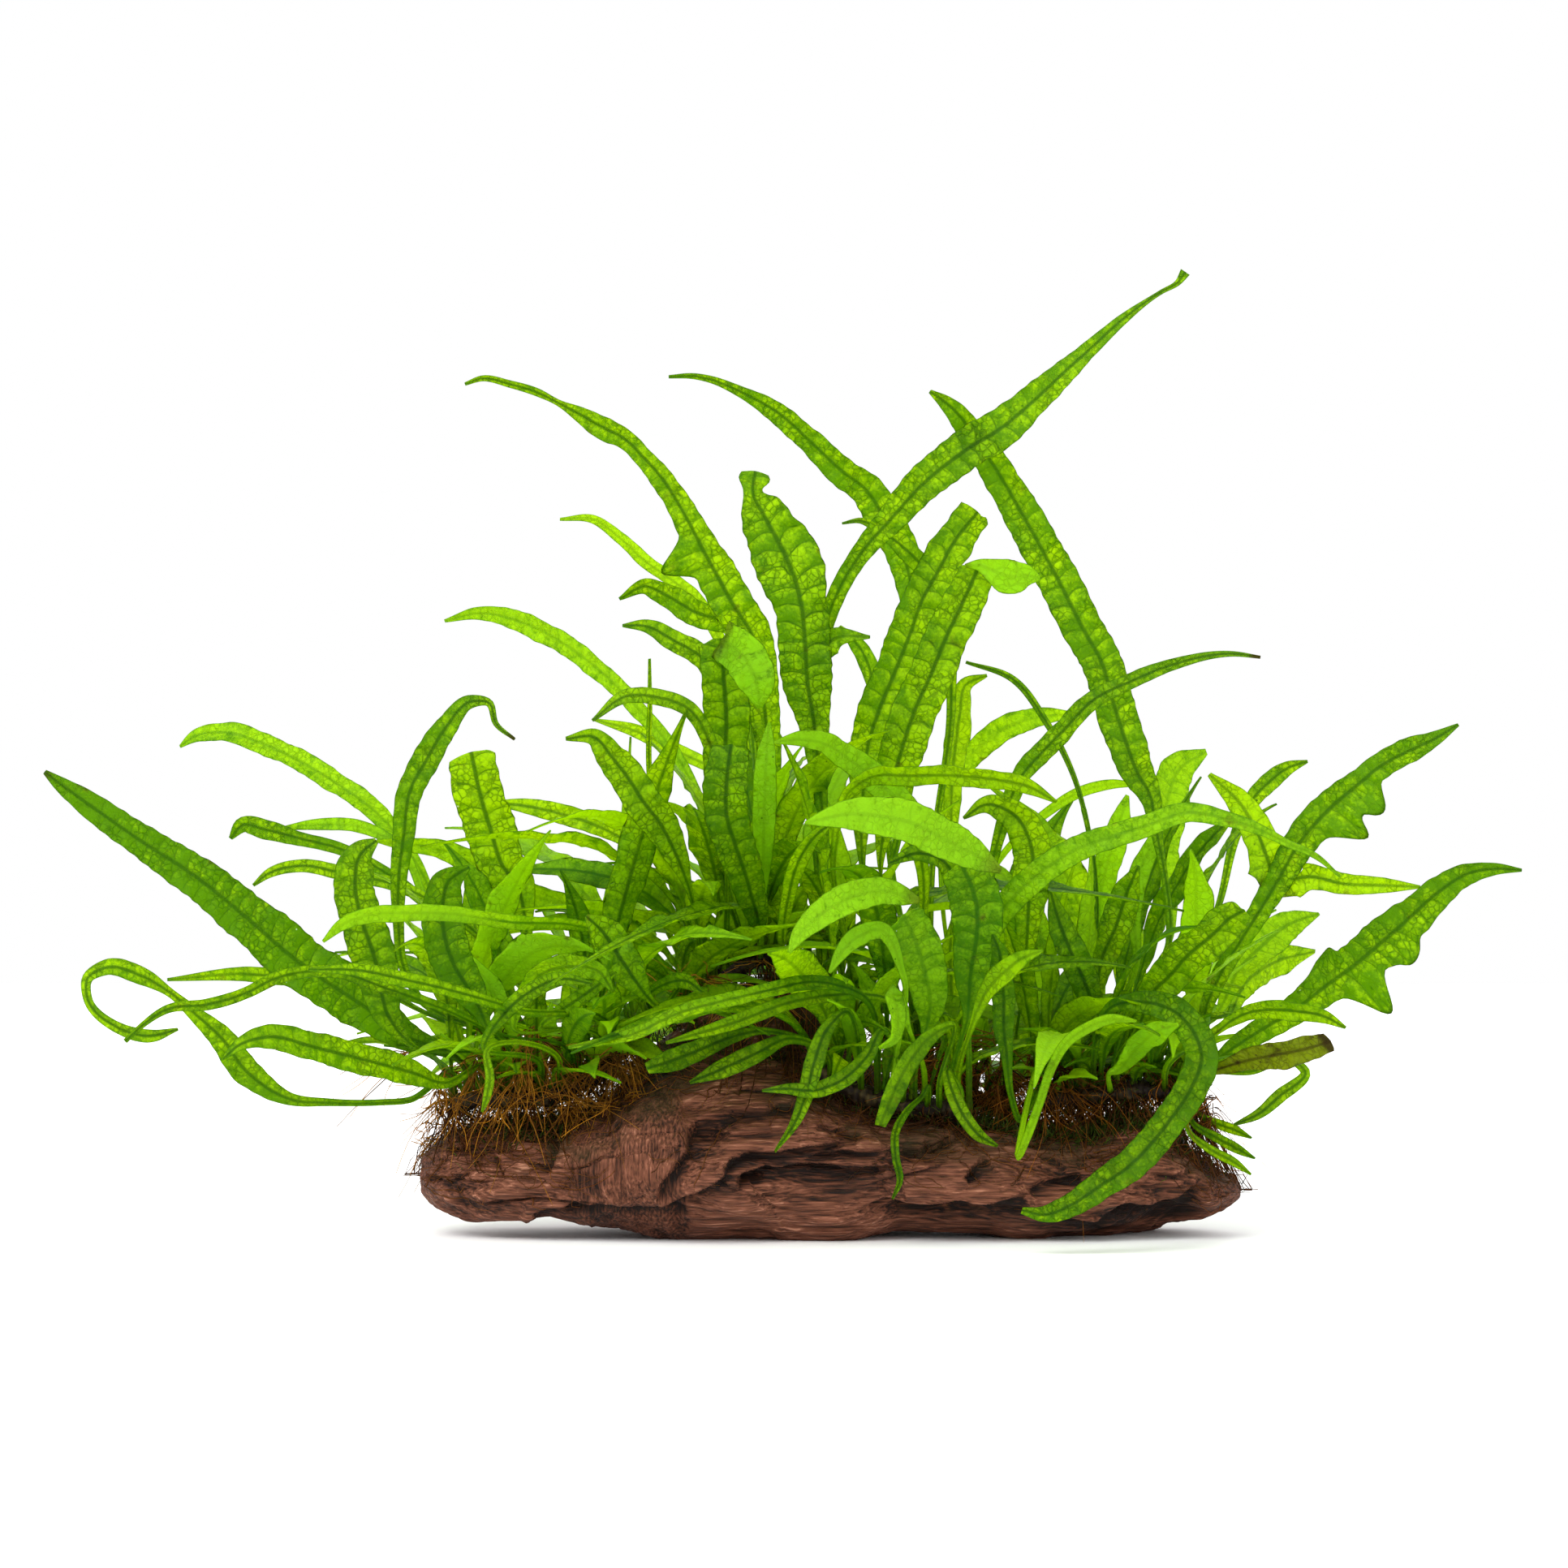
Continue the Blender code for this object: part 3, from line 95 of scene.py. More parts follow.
# Each frond: (stem, place along it, depth halfway, depth at the tip, roll at the base, roll at the tip,
# points from base to tip as (across, down, width), side lobes drawn in the same way).
fronds = {
    "frond_left_long": (
        "left", 0.10, -20, -34, 24, 12,
        [(488, 1271, 40), (455, 1245, 56), (405, 1212, 64), (358, 1178, 66), (305, 1132, 58),
         (239, 1079, 50), (173, 1036, 40), (106, 989, 30), (74, 966, 18), (55, 951, 6)], []),
    "frond_left_loop": (
        "left", 0.02, -34, -52, -20, 25,
        [(505, 1355, 8), (471, 1358, 8), (405, 1358, 10), (358, 1354, 16), (305, 1321, 35),
         (272, 1278, 30), (239, 1248, 18), (212, 1225, 11), (173, 1202, 22), (133, 1192, 20),
         (108, 1206, 14), (109, 1232, 12), (146, 1266, 15), (183, 1276, 17), (219, 1268, 4)], []),
    "frond_left_thin": (
        "left", 0.42, -48, -66, -35, -20,
        [(557, 1245, 9), (521, 1232, 13), (471, 1215, 16), (421, 1198, 16), (372, 1197, 16),
         (339, 1205, 16), (305, 1222, 15), (256, 1237, 15), (206, 1243, 11), (173, 1265, 7),
         (154, 1283, 6)], []),
    "frond_left_low": (
        "left", 0.20, -40, -58, 30, 20,
        [(552, 1335, 12), (504, 1321, 30), (455, 1308, 36), (388, 1291, 34), (332, 1278, 30),
         (295, 1288, 16), (275, 1305, 4)], []),
    "frond_left_far": (
        "left_back", 0.06, 32, 50, 40, 25,
        [(548, 1150, 9), (510, 1060, 14), (471, 1009, 22), (421, 970, 26), (372, 940, 26),
         (322, 916, 26), (279, 903, 24), (239, 908, 15), (222, 920, 4)], []),
    "frond_left_fan": (
        "left_back", 0.30, 24, 34, -45, -20,
        [(590, 1190, 8), (521, 1109, 14), (471, 1072, 16), (421, 1046, 16), (372, 1033, 18),
         (325, 1021, 24), (299, 1016, 20), (284, 1033, 5)], []),
    "young_left_fan": (
        "left_back", 0.42, 10, 6, 40, 10,
        [(560, 1130, 10), (491, 1092, 16), (421, 1076, 18), (372, 1067, 16), (332, 1076, 12),
         (312, 1091, 4)], []),
    "frond_left_hook": (
        "left", 0.50, -12, -24, 25, -20,
        [(513, 1225, 10), (496, 1188, 12), (491, 1138, 14), (491, 1089, 20), (498, 1026, 28),
         (506, 973, 32), (526, 936, 35), (550, 896, 28), (580, 865, 17), (602, 866, 10), (611, 892, 7),
         (634, 911, 4)], []),
    "frond_left_blunt": (
        "left_back", 0.72, 6, 2, 20, -15,
        [(652, 1240, 8), (648, 1140, 18), (636, 1089, 46), (619, 1066, 56), (606, 1026, 64),
         (593, 983, 62), (580, 922, 56)], []),
    "frond_left_curved": (
        "left", 0.34, -26, -34, 32, -22,
        [(504, 1285, 9), (478, 1251, 34), (468, 1212, 50), (461, 1178, 56), (448, 1139, 54),
         (438, 1086, 50), (444, 1054, 38), (464, 1036, 8)], []),
    "frond_left_dark": (
        "left", 0.74, -42, -52, -25, 20,
        [(600, 1262, 11), (589, 1238, 28), (579, 1221, 40), (559, 1188, 50), (548, 1155, 52),
         (545, 1122, 50), (553, 1085, 36), (578, 1068, 6)], []),
    "frond_left_pale": (
        "crown", 0.00, -44, -70, -38, -25,
        [(800, 1170, 8), (715, 1140, 13), (626, 1135, 19), (557, 1125, 20), (504, 1124, 22),
         (455, 1127, 20), (421, 1139, 15), (398, 1160, 4)], []),
    "frond_left_reach": (
        "left", 0.96, -56, -78, 42, 30,
        [(640, 1246, 9), (560, 1222, 16), (500, 1208, 19), (440, 1196, 16), (380, 1195, 4)], []),
    "frond_left_lobed": (
        "left", 0.28, 6, 16, -18, 15,
        [(500, 1235, 8), (440, 1200, 20), (400, 1188, 30), (355, 1176, 34), (320, 1160, 24),
         (285, 1149, 5)],
        [[(400, 1196, 26), (352, 1203, 22), (300, 1200, 18), (206, 1207, 4)]]),
    "frond_left_high": (
        "crown", 0.05, 22, 30, -30, 15,
        [(810, 1120, 8), (775, 1040, 14), (732, 1016, 24), (692, 1003, 25), (646, 993, 18),
         (604, 989, 4)], []),
    "frond_left_mid": (
        "crown", 0.21, 10, 14, 30, -30,
        [(790, 1160, 8), (712, 1115, 20), (676, 1109, 28), (626, 1092, 34), (593, 1069, 32),
         (543, 1046, 24), (493, 1039, 15), (464, 1036, 4)], []),
    "frond_front_dark": (
        "crown", 0.07, -36, -46, -28, 25,
        [(812, 1240, 9), (798, 1228, 12), (785, 1211, 30), (765, 1182, 46), (742, 1148, 40),
         (722, 1129, 6)], []),
    "young_left_arch": (
        "left", 0.98, -34, -46, 35, 35,
        [(632, 1262, 8), (646, 1226, 22), (666, 1200, 29), (700, 1190, 30), (738, 1196, 22),
         (756, 1222, 5)], []),
    "frond_crown_tall": (
        "crown", 0.43, 12, -6, 24, -34,
        [(955, 1060, 10), (950, 960, 24), (940, 860, 40), (925, 779, 48), (904, 746, 52),
         (887, 715, 51), (869, 682, 44), (841, 629, 33), (815, 588, 28), (790, 560, 23),
         (772, 542, 25), (739, 524, 28), (713, 509, 18), (688, 496, 8), (662, 483, 10), (629, 473, 9),
         (593, 466, 7), (573, 473, 4)],
        [[(884, 716, 28), (862, 700, 24), (838, 694, 14), (816, 705, 4)],
         [(926, 782, 20), (936, 772, 14), (946, 766, 4)]]),
    "frond_back_slim": (
        "crown", 0.38, 44, 62, 45, 30,
        [(930, 1000, 8), (900, 830, 14), (859, 742, 18), (829, 716, 18), (796, 693, 17),
         (763, 663, 15), (730, 640, 11), (690, 640, 4)], []),
    "frond_crown_left": (
        "crown", 0.29, 26, 34, -30, -20,
        [(930, 1010, 8), (922, 860, 14), (896, 766, 29), (862, 756, 32), (819, 732, 28),
         (796, 722, 20), (763, 738, 4)], []),
    "frond_crown_low": (
        "crown", 0.21, -6, -14, 35, 20,
        [(905, 1030, 8), (890, 890, 18), (866, 812, 28), (829, 789, 26), (796, 772, 17), (767, 771, 4)], []),
    "frond_back_left": (
        "crown", 0.13, 48, 76, -40, -25,
        [(880, 1050, 8), (840, 940, 16), (775, 860, 22), (720, 810, 25), (640, 765, 25),
         (590, 755, 16), (548, 765, 4)], []),
    "frond_crown_arch": (
        "crown", 0.28, -22, -36, -35, 30,
        [(895, 1040, 8), (880, 930, 18), (846, 872, 20), (813, 860, 21), (773, 858, 18), (730, 888, 4)], []),
    "frond_crown_side": (
        "crown", 0.14, -28, -38, 22, -20,
        [(850, 1100, 8), (826, 1038, 36), (813, 1014, 44), (793, 988, 46), (776, 961, 44),
         (756, 935, 40), (732, 908, 22), (697, 910, 5)], []),
    "frond_crown_folded": (
        "crown", 0.35, -8, -16, -18, 10,
        [(896, 1100, 10), (892, 1000, 34), (892, 941, 50), (895, 892, 57), (892, 842, 57),
         (888, 782, 54)],
        [[(890, 788, 50), (914, 806, 54), (932, 842, 46), (936, 872, 8)]]),
    "frond_crown_broad": (
        "crown", 0.72, -4, -10, 14, -12,
        [(1006, 1130, 10), (1015, 1041, 13), (1012, 991, 16), (1008, 941, 26), (1002, 885, 42),
         (995, 842, 62), (992, 792, 66), (988, 749, 66), (978, 709, 80), (962, 673, 78),
         (942, 636, 54), (928, 608, 30), (931, 580, 36)],
        [[(1000, 816, 26), (1030, 786, 22), (1072, 785, 4)]]),
    "young_crown_pale": (
        "crown", 0.46, -18, -22, 30, -20,
        [(938, 1112, 9), (940, 1060, 22), (942, 991, 30), (945, 925, 22), (948, 890, 4)], []),
    "frond_crown_dark": (
        "crown", 0.54, -30, -40, 24, -18,
        [(941, 1148, 12), (931, 1122, 30), (919, 1080, 44), (906, 1041, 50), (896, 1008, 54),
         (896, 958, 54), (902, 915, 44)], []),
    "frond_middle_arch": (
        "middle_back", 0.06, -22, -46, -30, 35,
        [(1130, 1180, 8), (1135, 1060, 18), (1114, 994, 33), (1095, 975, 36), (1071, 955, 36),
         (1045, 935, 33), (1015, 917, 28), (985, 912, 20), (955, 915, 4)], []),
    "frond_front_bent": (
        "front_middle", 0.88, -52, -76, 18, -30,
        [(1192, 1250, 12), (1196, 1198, 42), (1203, 1156, 58), (1204, 1120, 64), (1192, 1080, 60),
         (1166, 1042, 50), (1120, 1012, 54), (1061, 992, 46), (1026, 996, 30), (988, 1014, 5)], []),
    "frond_front_pale": (
        "front_middle", 0.64, -54, -80, -20, 30,
        [(1140, 1275, 10), (1146, 1234, 40), (1137, 1189, 56), (1122, 1146, 54), (1100, 1112, 40),
         (1051, 1105, 36), (1019, 1116, 34), (987, 1135, 26), (971, 1176, 4)], []),
    "young_front_fork": (
        "front_middle", 0.50, -52, -62, 20, 20,
        [(1112, 1200, 9), (1083, 1146, 22), (1054, 1157, 24), (1038, 1173, 18), (1022, 1199, 4)], []),
    "frond_top_long": (
        "crown", 0.84, -6, -22, 38, -28,
        [(1008, 1080, 8), (1003, 900, 12), (1010, 800, 18), (1027, 741, 22), (1066, 675, 26),
         (1093, 645, 34), (1139, 595, 45), (1199, 549, 50), (1232, 529, 50), (1265, 502, 42),
         (1318, 453, 28), (1348, 426, 20), (1381, 396, 14), (1431, 360, 6), (1452, 348, 8),
         (1461, 335, 13)], []),
    "frond_top_drooping": (
        "middle_back", 0.16, 34, 30, 28, -35,
        [(1090, 1150, 8), (1122, 950, 14), (1132, 820, 24), (1124, 725, 36), (1112, 680, 42),
         (1090, 638, 44), (1066, 602, 40), (1040, 582, 36), (1000, 545, 30), (960, 509, 26),
         (930, 491, 18), (904, 478, 12), (879, 468, 9), (853, 463, 7), (824, 464, 4)], []),
    "frond_top_spike": (
        "middle_back", 0.36, 16, -2, -40, 30,
        [(1150, 1050, 8), (1172, 860, 12), (1165, 760, 18), (1136, 698, 25), (1113, 675, 25),
         (1086, 655, 18), (1060, 642, 8), (1038, 645, 3)], []),
    "frond_top_blunt": (
        "middle_back", 0.26, 8, 2, 24, -30,
        [(1062, 1060, 9), (1064, 970, 34), (1070, 917, 44), (1082, 879, 50), (1103, 828, 50),
         (1123, 778, 50), (1136, 741, 50), (1156, 705, 50), (1176, 668, 48), (1208, 628, 42)], []),
    "frond_top_folded": (
        "middle_back", 0.46, -14, -24, -22, 16,
        [(1085, 1060, 9), (1095, 990, 36), (1105, 945, 50), (1113, 917, 55), (1128, 873, 56),
         (1146, 833, 55), (1164, 789, 54), (1184, 746, 52), (1206, 698, 46)],
        [[(1200, 706, 42), (1232, 708, 46), (1258, 718, 40), (1280, 712, 14)]]),
    "frond_right_tall": (
        "right", 0.60, -4, -14, 32, -26,
        [(1440, 1160, 8), (1424, 1023, 16), (1415, 976, 30), (1401, 952, 40), (1387, 914, 48),
         (1372, 867, 50), (1355, 811, 50), (1338, 781, 50), (1299, 705, 50), (1259, 632, 45),
         (1219, 565, 38), (1202, 542, 35), (1186, 516, 28), (1166, 496, 18), (1146, 482, 5)], []),
    "frond_right_slim": (
        "middle_back", 0.94, -16, -34, -36, -25,
        [(1215, 1120, 8), (1235, 1020, 16), (1261, 954, 24), (1283, 929, 25), (1311, 900, 25),
         (1349, 862, 22), (1396, 839, 20), (1443, 820, 15), (1520, 806, 7), (1553, 810, 4)], []),
    "young_middle_up": (
        "middle_back", 0.70, 20, 26, 30, 30,
        [(1174, 1080, 8), (1174, 942, 28), (1177, 917, 30), (1182, 879, 28), (1190, 843, 18),
         (1216, 832, 4)], []),
    "frond_back_arch": (
        "middle_back", 0.60, 42, 60, 35, -20,
        [(1160, 1080, 8), (1165, 990, 18), (1184, 945, 28), (1210, 919, 30), (1241, 896, 30),
         (1279, 884, 24), (1330, 880, 4)], []),
    "frond_middle_level": (
        "crown", 0.96, -30, -44, 40, 30,
        [(1028, 1040, 8), (1046, 975, 15), (1080, 955, 22), (1113, 955, 24), (1177, 955, 24),
         (1228, 960, 24), (1266, 968, 19), (1302, 988, 4)], []),
    "frond_right_lobed": (
        "right", 0.72, -10, -22, 26, -26,
        [(1478, 1290, 9), (1486, 1240, 18), (1500, 1207, 22), (1528, 1160, 24), (1552, 1122, 28),
         (1575, 1084, 34), (1599, 1042, 40), (1622, 1013, 44), (1651, 985, 40), (1674, 966, 34),
         (1703, 943, 32), (1740, 924, 30), (1769, 910, 18), (1797, 893, 4)],
        [[(1662, 976, 30), (1684, 984, 20), (1705, 1002, 5)],
         [(1630, 1010, 30), (1656, 1016, 20), (1686, 1032, 5)],
         [(1572, 1088, 34), (1613, 1080, 30), (1656, 1089, 26), (1703, 1091, 20), (1750, 1093, 4)],
         [(1572, 1092, 34), (1562, 1060, 38), (1548, 1024, 40), (1528, 990, 32), (1490, 954, 6)]]),
    "frond_right_reach": (
        "right", 0.86, -22, -40, -24, 26,
        [(1494, 1308, 10), (1519, 1292, 22), (1556, 1268, 30), (1594, 1245, 36), (1632, 1216, 46),
         (1670, 1188, 54), (1703, 1160, 58), (1736, 1131, 50), (1773, 1098, 40), (1811, 1075, 26),
         (1844, 1070, 15), (1875, 1072, 4)],
        [[(1640, 1212, 30), (1632, 1190, 22), (1634, 1170, 6)],
         [(1706, 1160, 30), (1728, 1168, 20), (1745, 1184, 6)],
         [(1660, 1200, 30), (1688, 1224, 20), (1715, 1247, 6)]]),
    "frond_right_brown": (
        "right", 0.94, -30, -46, 30, 20,
        [(1490, 1318, 12), (1528, 1308, 26), (1561, 1301, 34), (1608, 1292, 34), (1642, 1282, 24)], []),
    "young_right_low": (
        "right", 0.98, -10, -22, -30, 20,
        [(1545, 1320, 8), (1590, 1306, 9), (1608, 1320, 12), (1575, 1352, 17), (1552, 1372, 13),
         (1521, 1386, 4)], []),
    "frond_front_arc": (
        "right", 0.36, -50, -54, -30, 35,
        [(1372, 1240, 16), (1417, 1236, 30), (1446, 1246, 37), (1468, 1268, 41), (1480, 1300, 42),
         (1466, 1344, 42), (1444, 1377, 40), (1418, 1410, 40), (1388, 1440, 38), (1355, 1462, 34),
         (1322, 1484, 28), (1289, 1497, 20), (1259, 1492, 8)], []),
    "young_right_pale": (
        "right", 0.46, -34, -50, 24, 24,
        [(1376, 1318, 12), (1400, 1292, 30), (1425, 1270, 31), (1451, 1262, 6)], []),
    "frond_front_arching": (
        "front_middle", 0.99, -54, -66, 34, -40,
        [(1196, 1226, 12), (1202, 1184, 26), (1220, 1142, 32), (1248, 1106, 34), (1290, 1069, 34),
         (1332, 1044, 32), (1374, 1030, 30), (1417, 1016, 28), (1462, 1002, 25), (1509, 1009, 20),
         (1552, 1023, 14), (1585, 1039, 10), (1622, 1056, 8), (1651, 1080, 3)], []),
    "frond_right_blunt": (
        "right", 0.50, -30, -48, -22, 28,
        [(1400, 1272, 9), (1423, 1219, 40), (1439, 1204, 48), (1462, 1178, 50), (1493, 1152, 50),
         (1516, 1130, 46), (1536, 1120, 26)], []),
    "frond_back_pale": (
        "right_back", 0.45, 32, 48, 24, 24,
        [(1442, 1150, 9), (1434, 1040, 40), (1438, 985, 50), (1453, 947, 42), (1486, 926, 8)], []),
    "young_back_slim": (
        "right_back", 0.62, 46, 62, -30, 10,
        [(1500, 1120, 8), (1530, 1010, 16), (1547, 980, 22), (1561, 966, 24), (1585, 947, 18),
         (1611, 938, 4)], []),
    "frond_back_right": (
        "right_back", 0.80, 28, 48, -30, -20,
        [(1500, 1250, 9), (1528, 1193, 34), (1556, 1165, 44), (1585, 1141, 36), (1625, 1126, 4)], []),
    "frond_back_low": (
        "right_back", 0.92, 48, 70, 30, 30,
        [(1508, 1262, 9), (1538, 1207, 30), (1575, 1183, 38), (1620, 1172, 5)], []),
    "young_right_tip": (
        "right", 0.80, -34, -52, 35, 25,
        [(1490, 1276, 9), (1538, 1247, 21), (1594, 1245, 24), (1632, 1252, 17), (1658, 1266, 4)], []),
    "frond_inner_arch": (
        "middle_back", 0.98, -18, -30, 30, -20,
        [(1262, 1200, 9), (1266, 1142, 30), (1268, 1100, 44), (1272, 1050, 48), (1250, 1004, 38),
         (1215, 991, 22), (1187, 1008, 4)], []),
    "young_inner_left": (
        "right", 0.14, -14, -20, -25, 25,
        [(1346, 1240, 26), (1335, 1207, 35), (1318, 1170, 37), (1304, 1134, 28), (1293, 1095, 4)], []),
    "young_inner_right": (
        "right", 0.40, -2, -8, 25, -25,
        [(1352, 1230, 10), (1357, 1184, 34), (1375, 1142, 39), (1389, 1100, 34), (1403, 1067, 5)], []),
    "young_hanging_a": (
        "front_middle", 0.10, -40, -46, 30, 20,
        [(971, 1281, 12), (933, 1298, 23), (891, 1317, 23), (850, 1334, 4)], []),
    "young_hanging_b": (
        "front_middle", 0.02, -34, -46, -25, 20,
        [(940, 1270, 9), (895, 1280, 18), (859, 1295, 26), (828, 1307, 28), (797, 1317, 14)], []),
    "frond_front_level": (
        "front_middle", 0.40, -54, -66, 40, 35,
        [(1064, 1230, 8), (1044, 1219, 12), (1010, 1211, 17), (939, 1223, 18), (891, 1234, 18),
         (834, 1250, 18), (780, 1275, 15), (700, 1291, 4)], []),
    "young_hanging_c": (
        "front_middle", 0.30, -48, -48, -30, 30,
        [(1040, 1246, 9), (1019, 1268, 18), (1004, 1307, 24), (993, 1349, 20), (981, 1381, 13),
         (955, 1419, 3)], []),
    "young_hanging_d": (
        "front_middle", 0.56, -46, -52, 30, 25,
        [(1088, 1270, 9), (1067, 1304, 18), (1035, 1333, 21), (1003, 1344, 19), (971, 1342, 13),
         (939, 1344, 3)], []),
    "young_hanging_e": (
        "front_middle", 0.80, -42, -46, -28, -20,
        [(1172, 1262, 9), (1146, 1277, 19), (1121, 1307, 25), (1099, 1349, 24), (1084, 1387, 14)], []),
    "young_hanging_f": (
        "front_middle", 0.72, -40, -42, 20, 30,
        [(1140, 1345, 6), (1118, 1369, 8), (1104, 1395, 10), (1104, 1425, 10), (1109, 1455, 8),
         (1100, 1477, 3)], []),
    "young_hanging_g": (
        "front_middle", 0.94, -38, -40, -30, 20,
        [(1166, 1318, 9), (1174, 1347, 18), (1189, 1377, 18), (1207, 1399, 15), (1229, 1412, 4)], []),
    "young_standing_a": (
        "right", 0.06, -42, -50, 30, -30,
        [(1256, 1380, 8), (1246, 1351, 8), (1240, 1295, 16), (1237, 1269, 24), (1237, 1227, 28),
         (1234, 1198, 26), (1232, 1173, 19), (1223, 1151, 4)], []),
}


def smoothRows(rows, at, wanted):
    # the rows at the wanted places on a smooth curve through all of them: cubic Hermite pieces
    rows = np.asarray(rows, float)
    slope = np.gradient(rows, at, axis=0)
    piece = np.clip(np.searchsorted(at, wanted, "right") - 1, 0, len(at) - 2)
    span = (at[piece + 1] - at[piece])[:, None]
    t = (wanted - at[piece])[:, None] / span
    start, end = rows[piece], rows[piece + 1]
    fromStart, toEnd = slope[piece] * span, slope[piece + 1] * span
    return (start * (1 + 2 * t) * (1 - t) ** 2 + fromStart * t * (1 - t) ** 2
            + end * t**2 * (3 - 2 * t) - toEnd * t**2 * (1 - t))


def runOf(points):
    # distance along a line of points, from 0 at its start
    return np.concatenate([[0.0], np.cumsum(np.linalg.norm(np.diff(points, axis=0), axis=1))])


def evenlyAlong(rows, count):
    # the smooth curve through rows, whose first two columns are places, at evenly spaced points
    rows = np.asarray(rows, float)
    at = runOf(rows[:, :2])
    fine = smoothRows(rows, at, np.linspace(0, at[-1], 400))
    run = runOf(fine[:, :2])
    wanted = np.linspace(0, run[-1], count)
    return np.stack([np.interp(wanted, run, column) for column in fine.T], axis=1)


def fromView(across, down, depth):
    # millimetre points for places in the front view: a view unit grows with the distance from the eye
    spread = viewSettings["unit"] * (viewSettings["distance"] + depth) / viewSettings["distance"]
    x = viewSettings["x"] + (across - viewSettings["centre"]) * spread
    z = viewSettings["z"] - (down - viewSettings["centre"]) * spread
    return np.stack([x, depth + 0 * x, z], axis=-1)


def toView(point):
    # across and down in the front view of one millimetre point
    spread = viewSettings["unit"] * (viewSettings["distance"] + point[1]) / viewSettings["distance"]
    return (viewSettings["centre"] + (point[0] - viewSettings["x"]) / spread,
            viewSettings["centre"] - (point[2] - viewSettings["z"]) / spread)


def smoothStep(value, low, high):
    # 0 below low, 1 above high, and 3t^2 - 2t^3 between them
    t = np.clip((value - low) / (high - low), 0, 1)
    return t * t * (3 - 2 * t)


def latticeValue(cell, seed):
    # a number from -1 to 1 for each whole lattice point, its integers stirred by odd multipliers and shifts
    cell = cell.astype(np.int64).astype(np.uint32)
    mixed = (cell[..., 0] * np.uint32(374761393) + cell[..., 1] * np.uint32(668265263)
             + cell[..., 2] * np.uint32(2246822519) + np.uint32(seed * 97 + 13))
    mixed = (mixed ^ (mixed >> np.uint32(13))) * np.uint32(1274126177)
    mixed = mixed ^ (mixed >> np.uint32(16))
    return (mixed & np.uint32(0xFFFF)) / 32767.5 - 1


def softNoise(points, seed):
    # lattice values blended by smooth weights along the three directions
    cell = np.floor(points)
    t = points - cell
    t = t * t * (3 - 2 * t)
    total = 0.0
    for corner in range(8):
        step = np.array([corner & 1, corner >> 1 & 1, corner >> 2 & 1])
        weight = np.where(step, t, 1 - t).prod(axis=-1)
        total = total + weight * latticeValue(cell + step, seed)
    return total


def layeredNoise(points, octaves, seed):
    # soft noise summed over octaves, each twice as fine and half as strong
    total, size = 0.0, 1.0
    for octave in range(octaves):
        total = total + size * softNoise(points * 2**octave, seed + octave)
        size /= 2
    return total


def lineNoise(along, seed):
    # soft noise along one direction
    flat = np.zeros(np.shape(along))
    return softNoise(np.stack([along, flat + 0.37, flat + seed * 0.731], axis=-1), 5)


# the wood's own shape, shared with the stems, roots and fronds that stand on it

def woodProfile(x):
    # middle height, half height and half depth of the wood at each x, rounded to nothing at its ends
    table = np.array(woodSettings["profile"], float)
    columns = smoothRows(table[:, 1:], table[:, 0], np.clip(x, table[0, 0], table[-1, 0]))
    along = 2 * (x - woodSettings["left"]) / (woodSettings["right"] - woodSettings["left"]) - 1
    power = woodSettings["bluntness"]
    shrink = (1 - np.abs(np.clip(along, -0.999, 0.999)) ** power) ** (1 / power)
    middle = (columns[:, 0] + columns[:, 1]) / 2
    return middle, (columns[:, 0] - columns[:, 1]) / 2 * shrink, columns[:, 2] * shrink


def knob(x, y):
    # a rounded hump: height times exp of minus the squared distances over the spreads
    centre, spread = woodSettings["knobCentre"], woodSettings["knobSpread"]
    return woodSettings["knobHeight"] * np.exp(-((x - centre[0]) / spread[0]) ** 2
                                               - ((y - centre[1]) / spread[1]) ** 2)


def woodTop(x, y):
    # height of the smooth top of the wood at places in plan
    middle, half, depth = woodProfile(np.atleast_1d(x).astype(float))
    across = np.minimum(np.abs(y) / depth, 0.98)
    power = woodSettings["roundness"]
    return middle + half * (1 - across**power) ** (1 / power) + knob(x, y)


def stemPath(name):
    # nine points along a creeping stem, kept just over the wood and smoothed once
    plan = evenlyAlong(stems[name]["plan"], 9)
    height = woodTop(*plan.T) + stems[name]["lift"]
    path = np.column_stack([plan, height])
    path[1:-1, 2] = (path[:-2, 2] + path[1:-1, 2] * 2 + path[2:, 2]) / 4
    path[:, 2] = np.maximum(path[:, 2], height - 0.3)
    return path


def pointOnStem(name, place):
    path = stemPaths[name]
    at = np.linspace(0, 1, len(path))
    return np.array([np.interp(place, at, path[:, k]) for k in range(3)])


def isYoung(name):
    return name.startswith("young")


def frondTrace(name, count):
    # across, down, width and depth along a frond, evenly spaced, before the fronds part
    stem, place, depthHalf, depthTip, _, _, seen, _ = fronds[name]
    base = pointOnStem(stem, place)
    if not isYoung(name):
        base[1] += settleSettings["shoulder"] * np.sign(depthTip - base[1])
        base[2] += settleSettings["stemRadius"] + settleSettings["gap"]
    rise = base + (0, 0, settleSettings["rise"])
    start = [(*toView(base), settleSettings["stalk"]), (*toView(rise), settleSettings["stalk"])]
    rows = evenlyAlong(start + list(seen), count)
    along = np.linspace(0, 1, count)
    depth = (base[1] * (1 - along) * (1 - 2 * along) + depthHalf * 4 * along * (1 - along)
             + depthTip * along * (2 * along - 1))
    rows[:, 2] = np.maximum(rows[:, 2], settleSettings["least"])
    return np.column_stack([rows, depth])


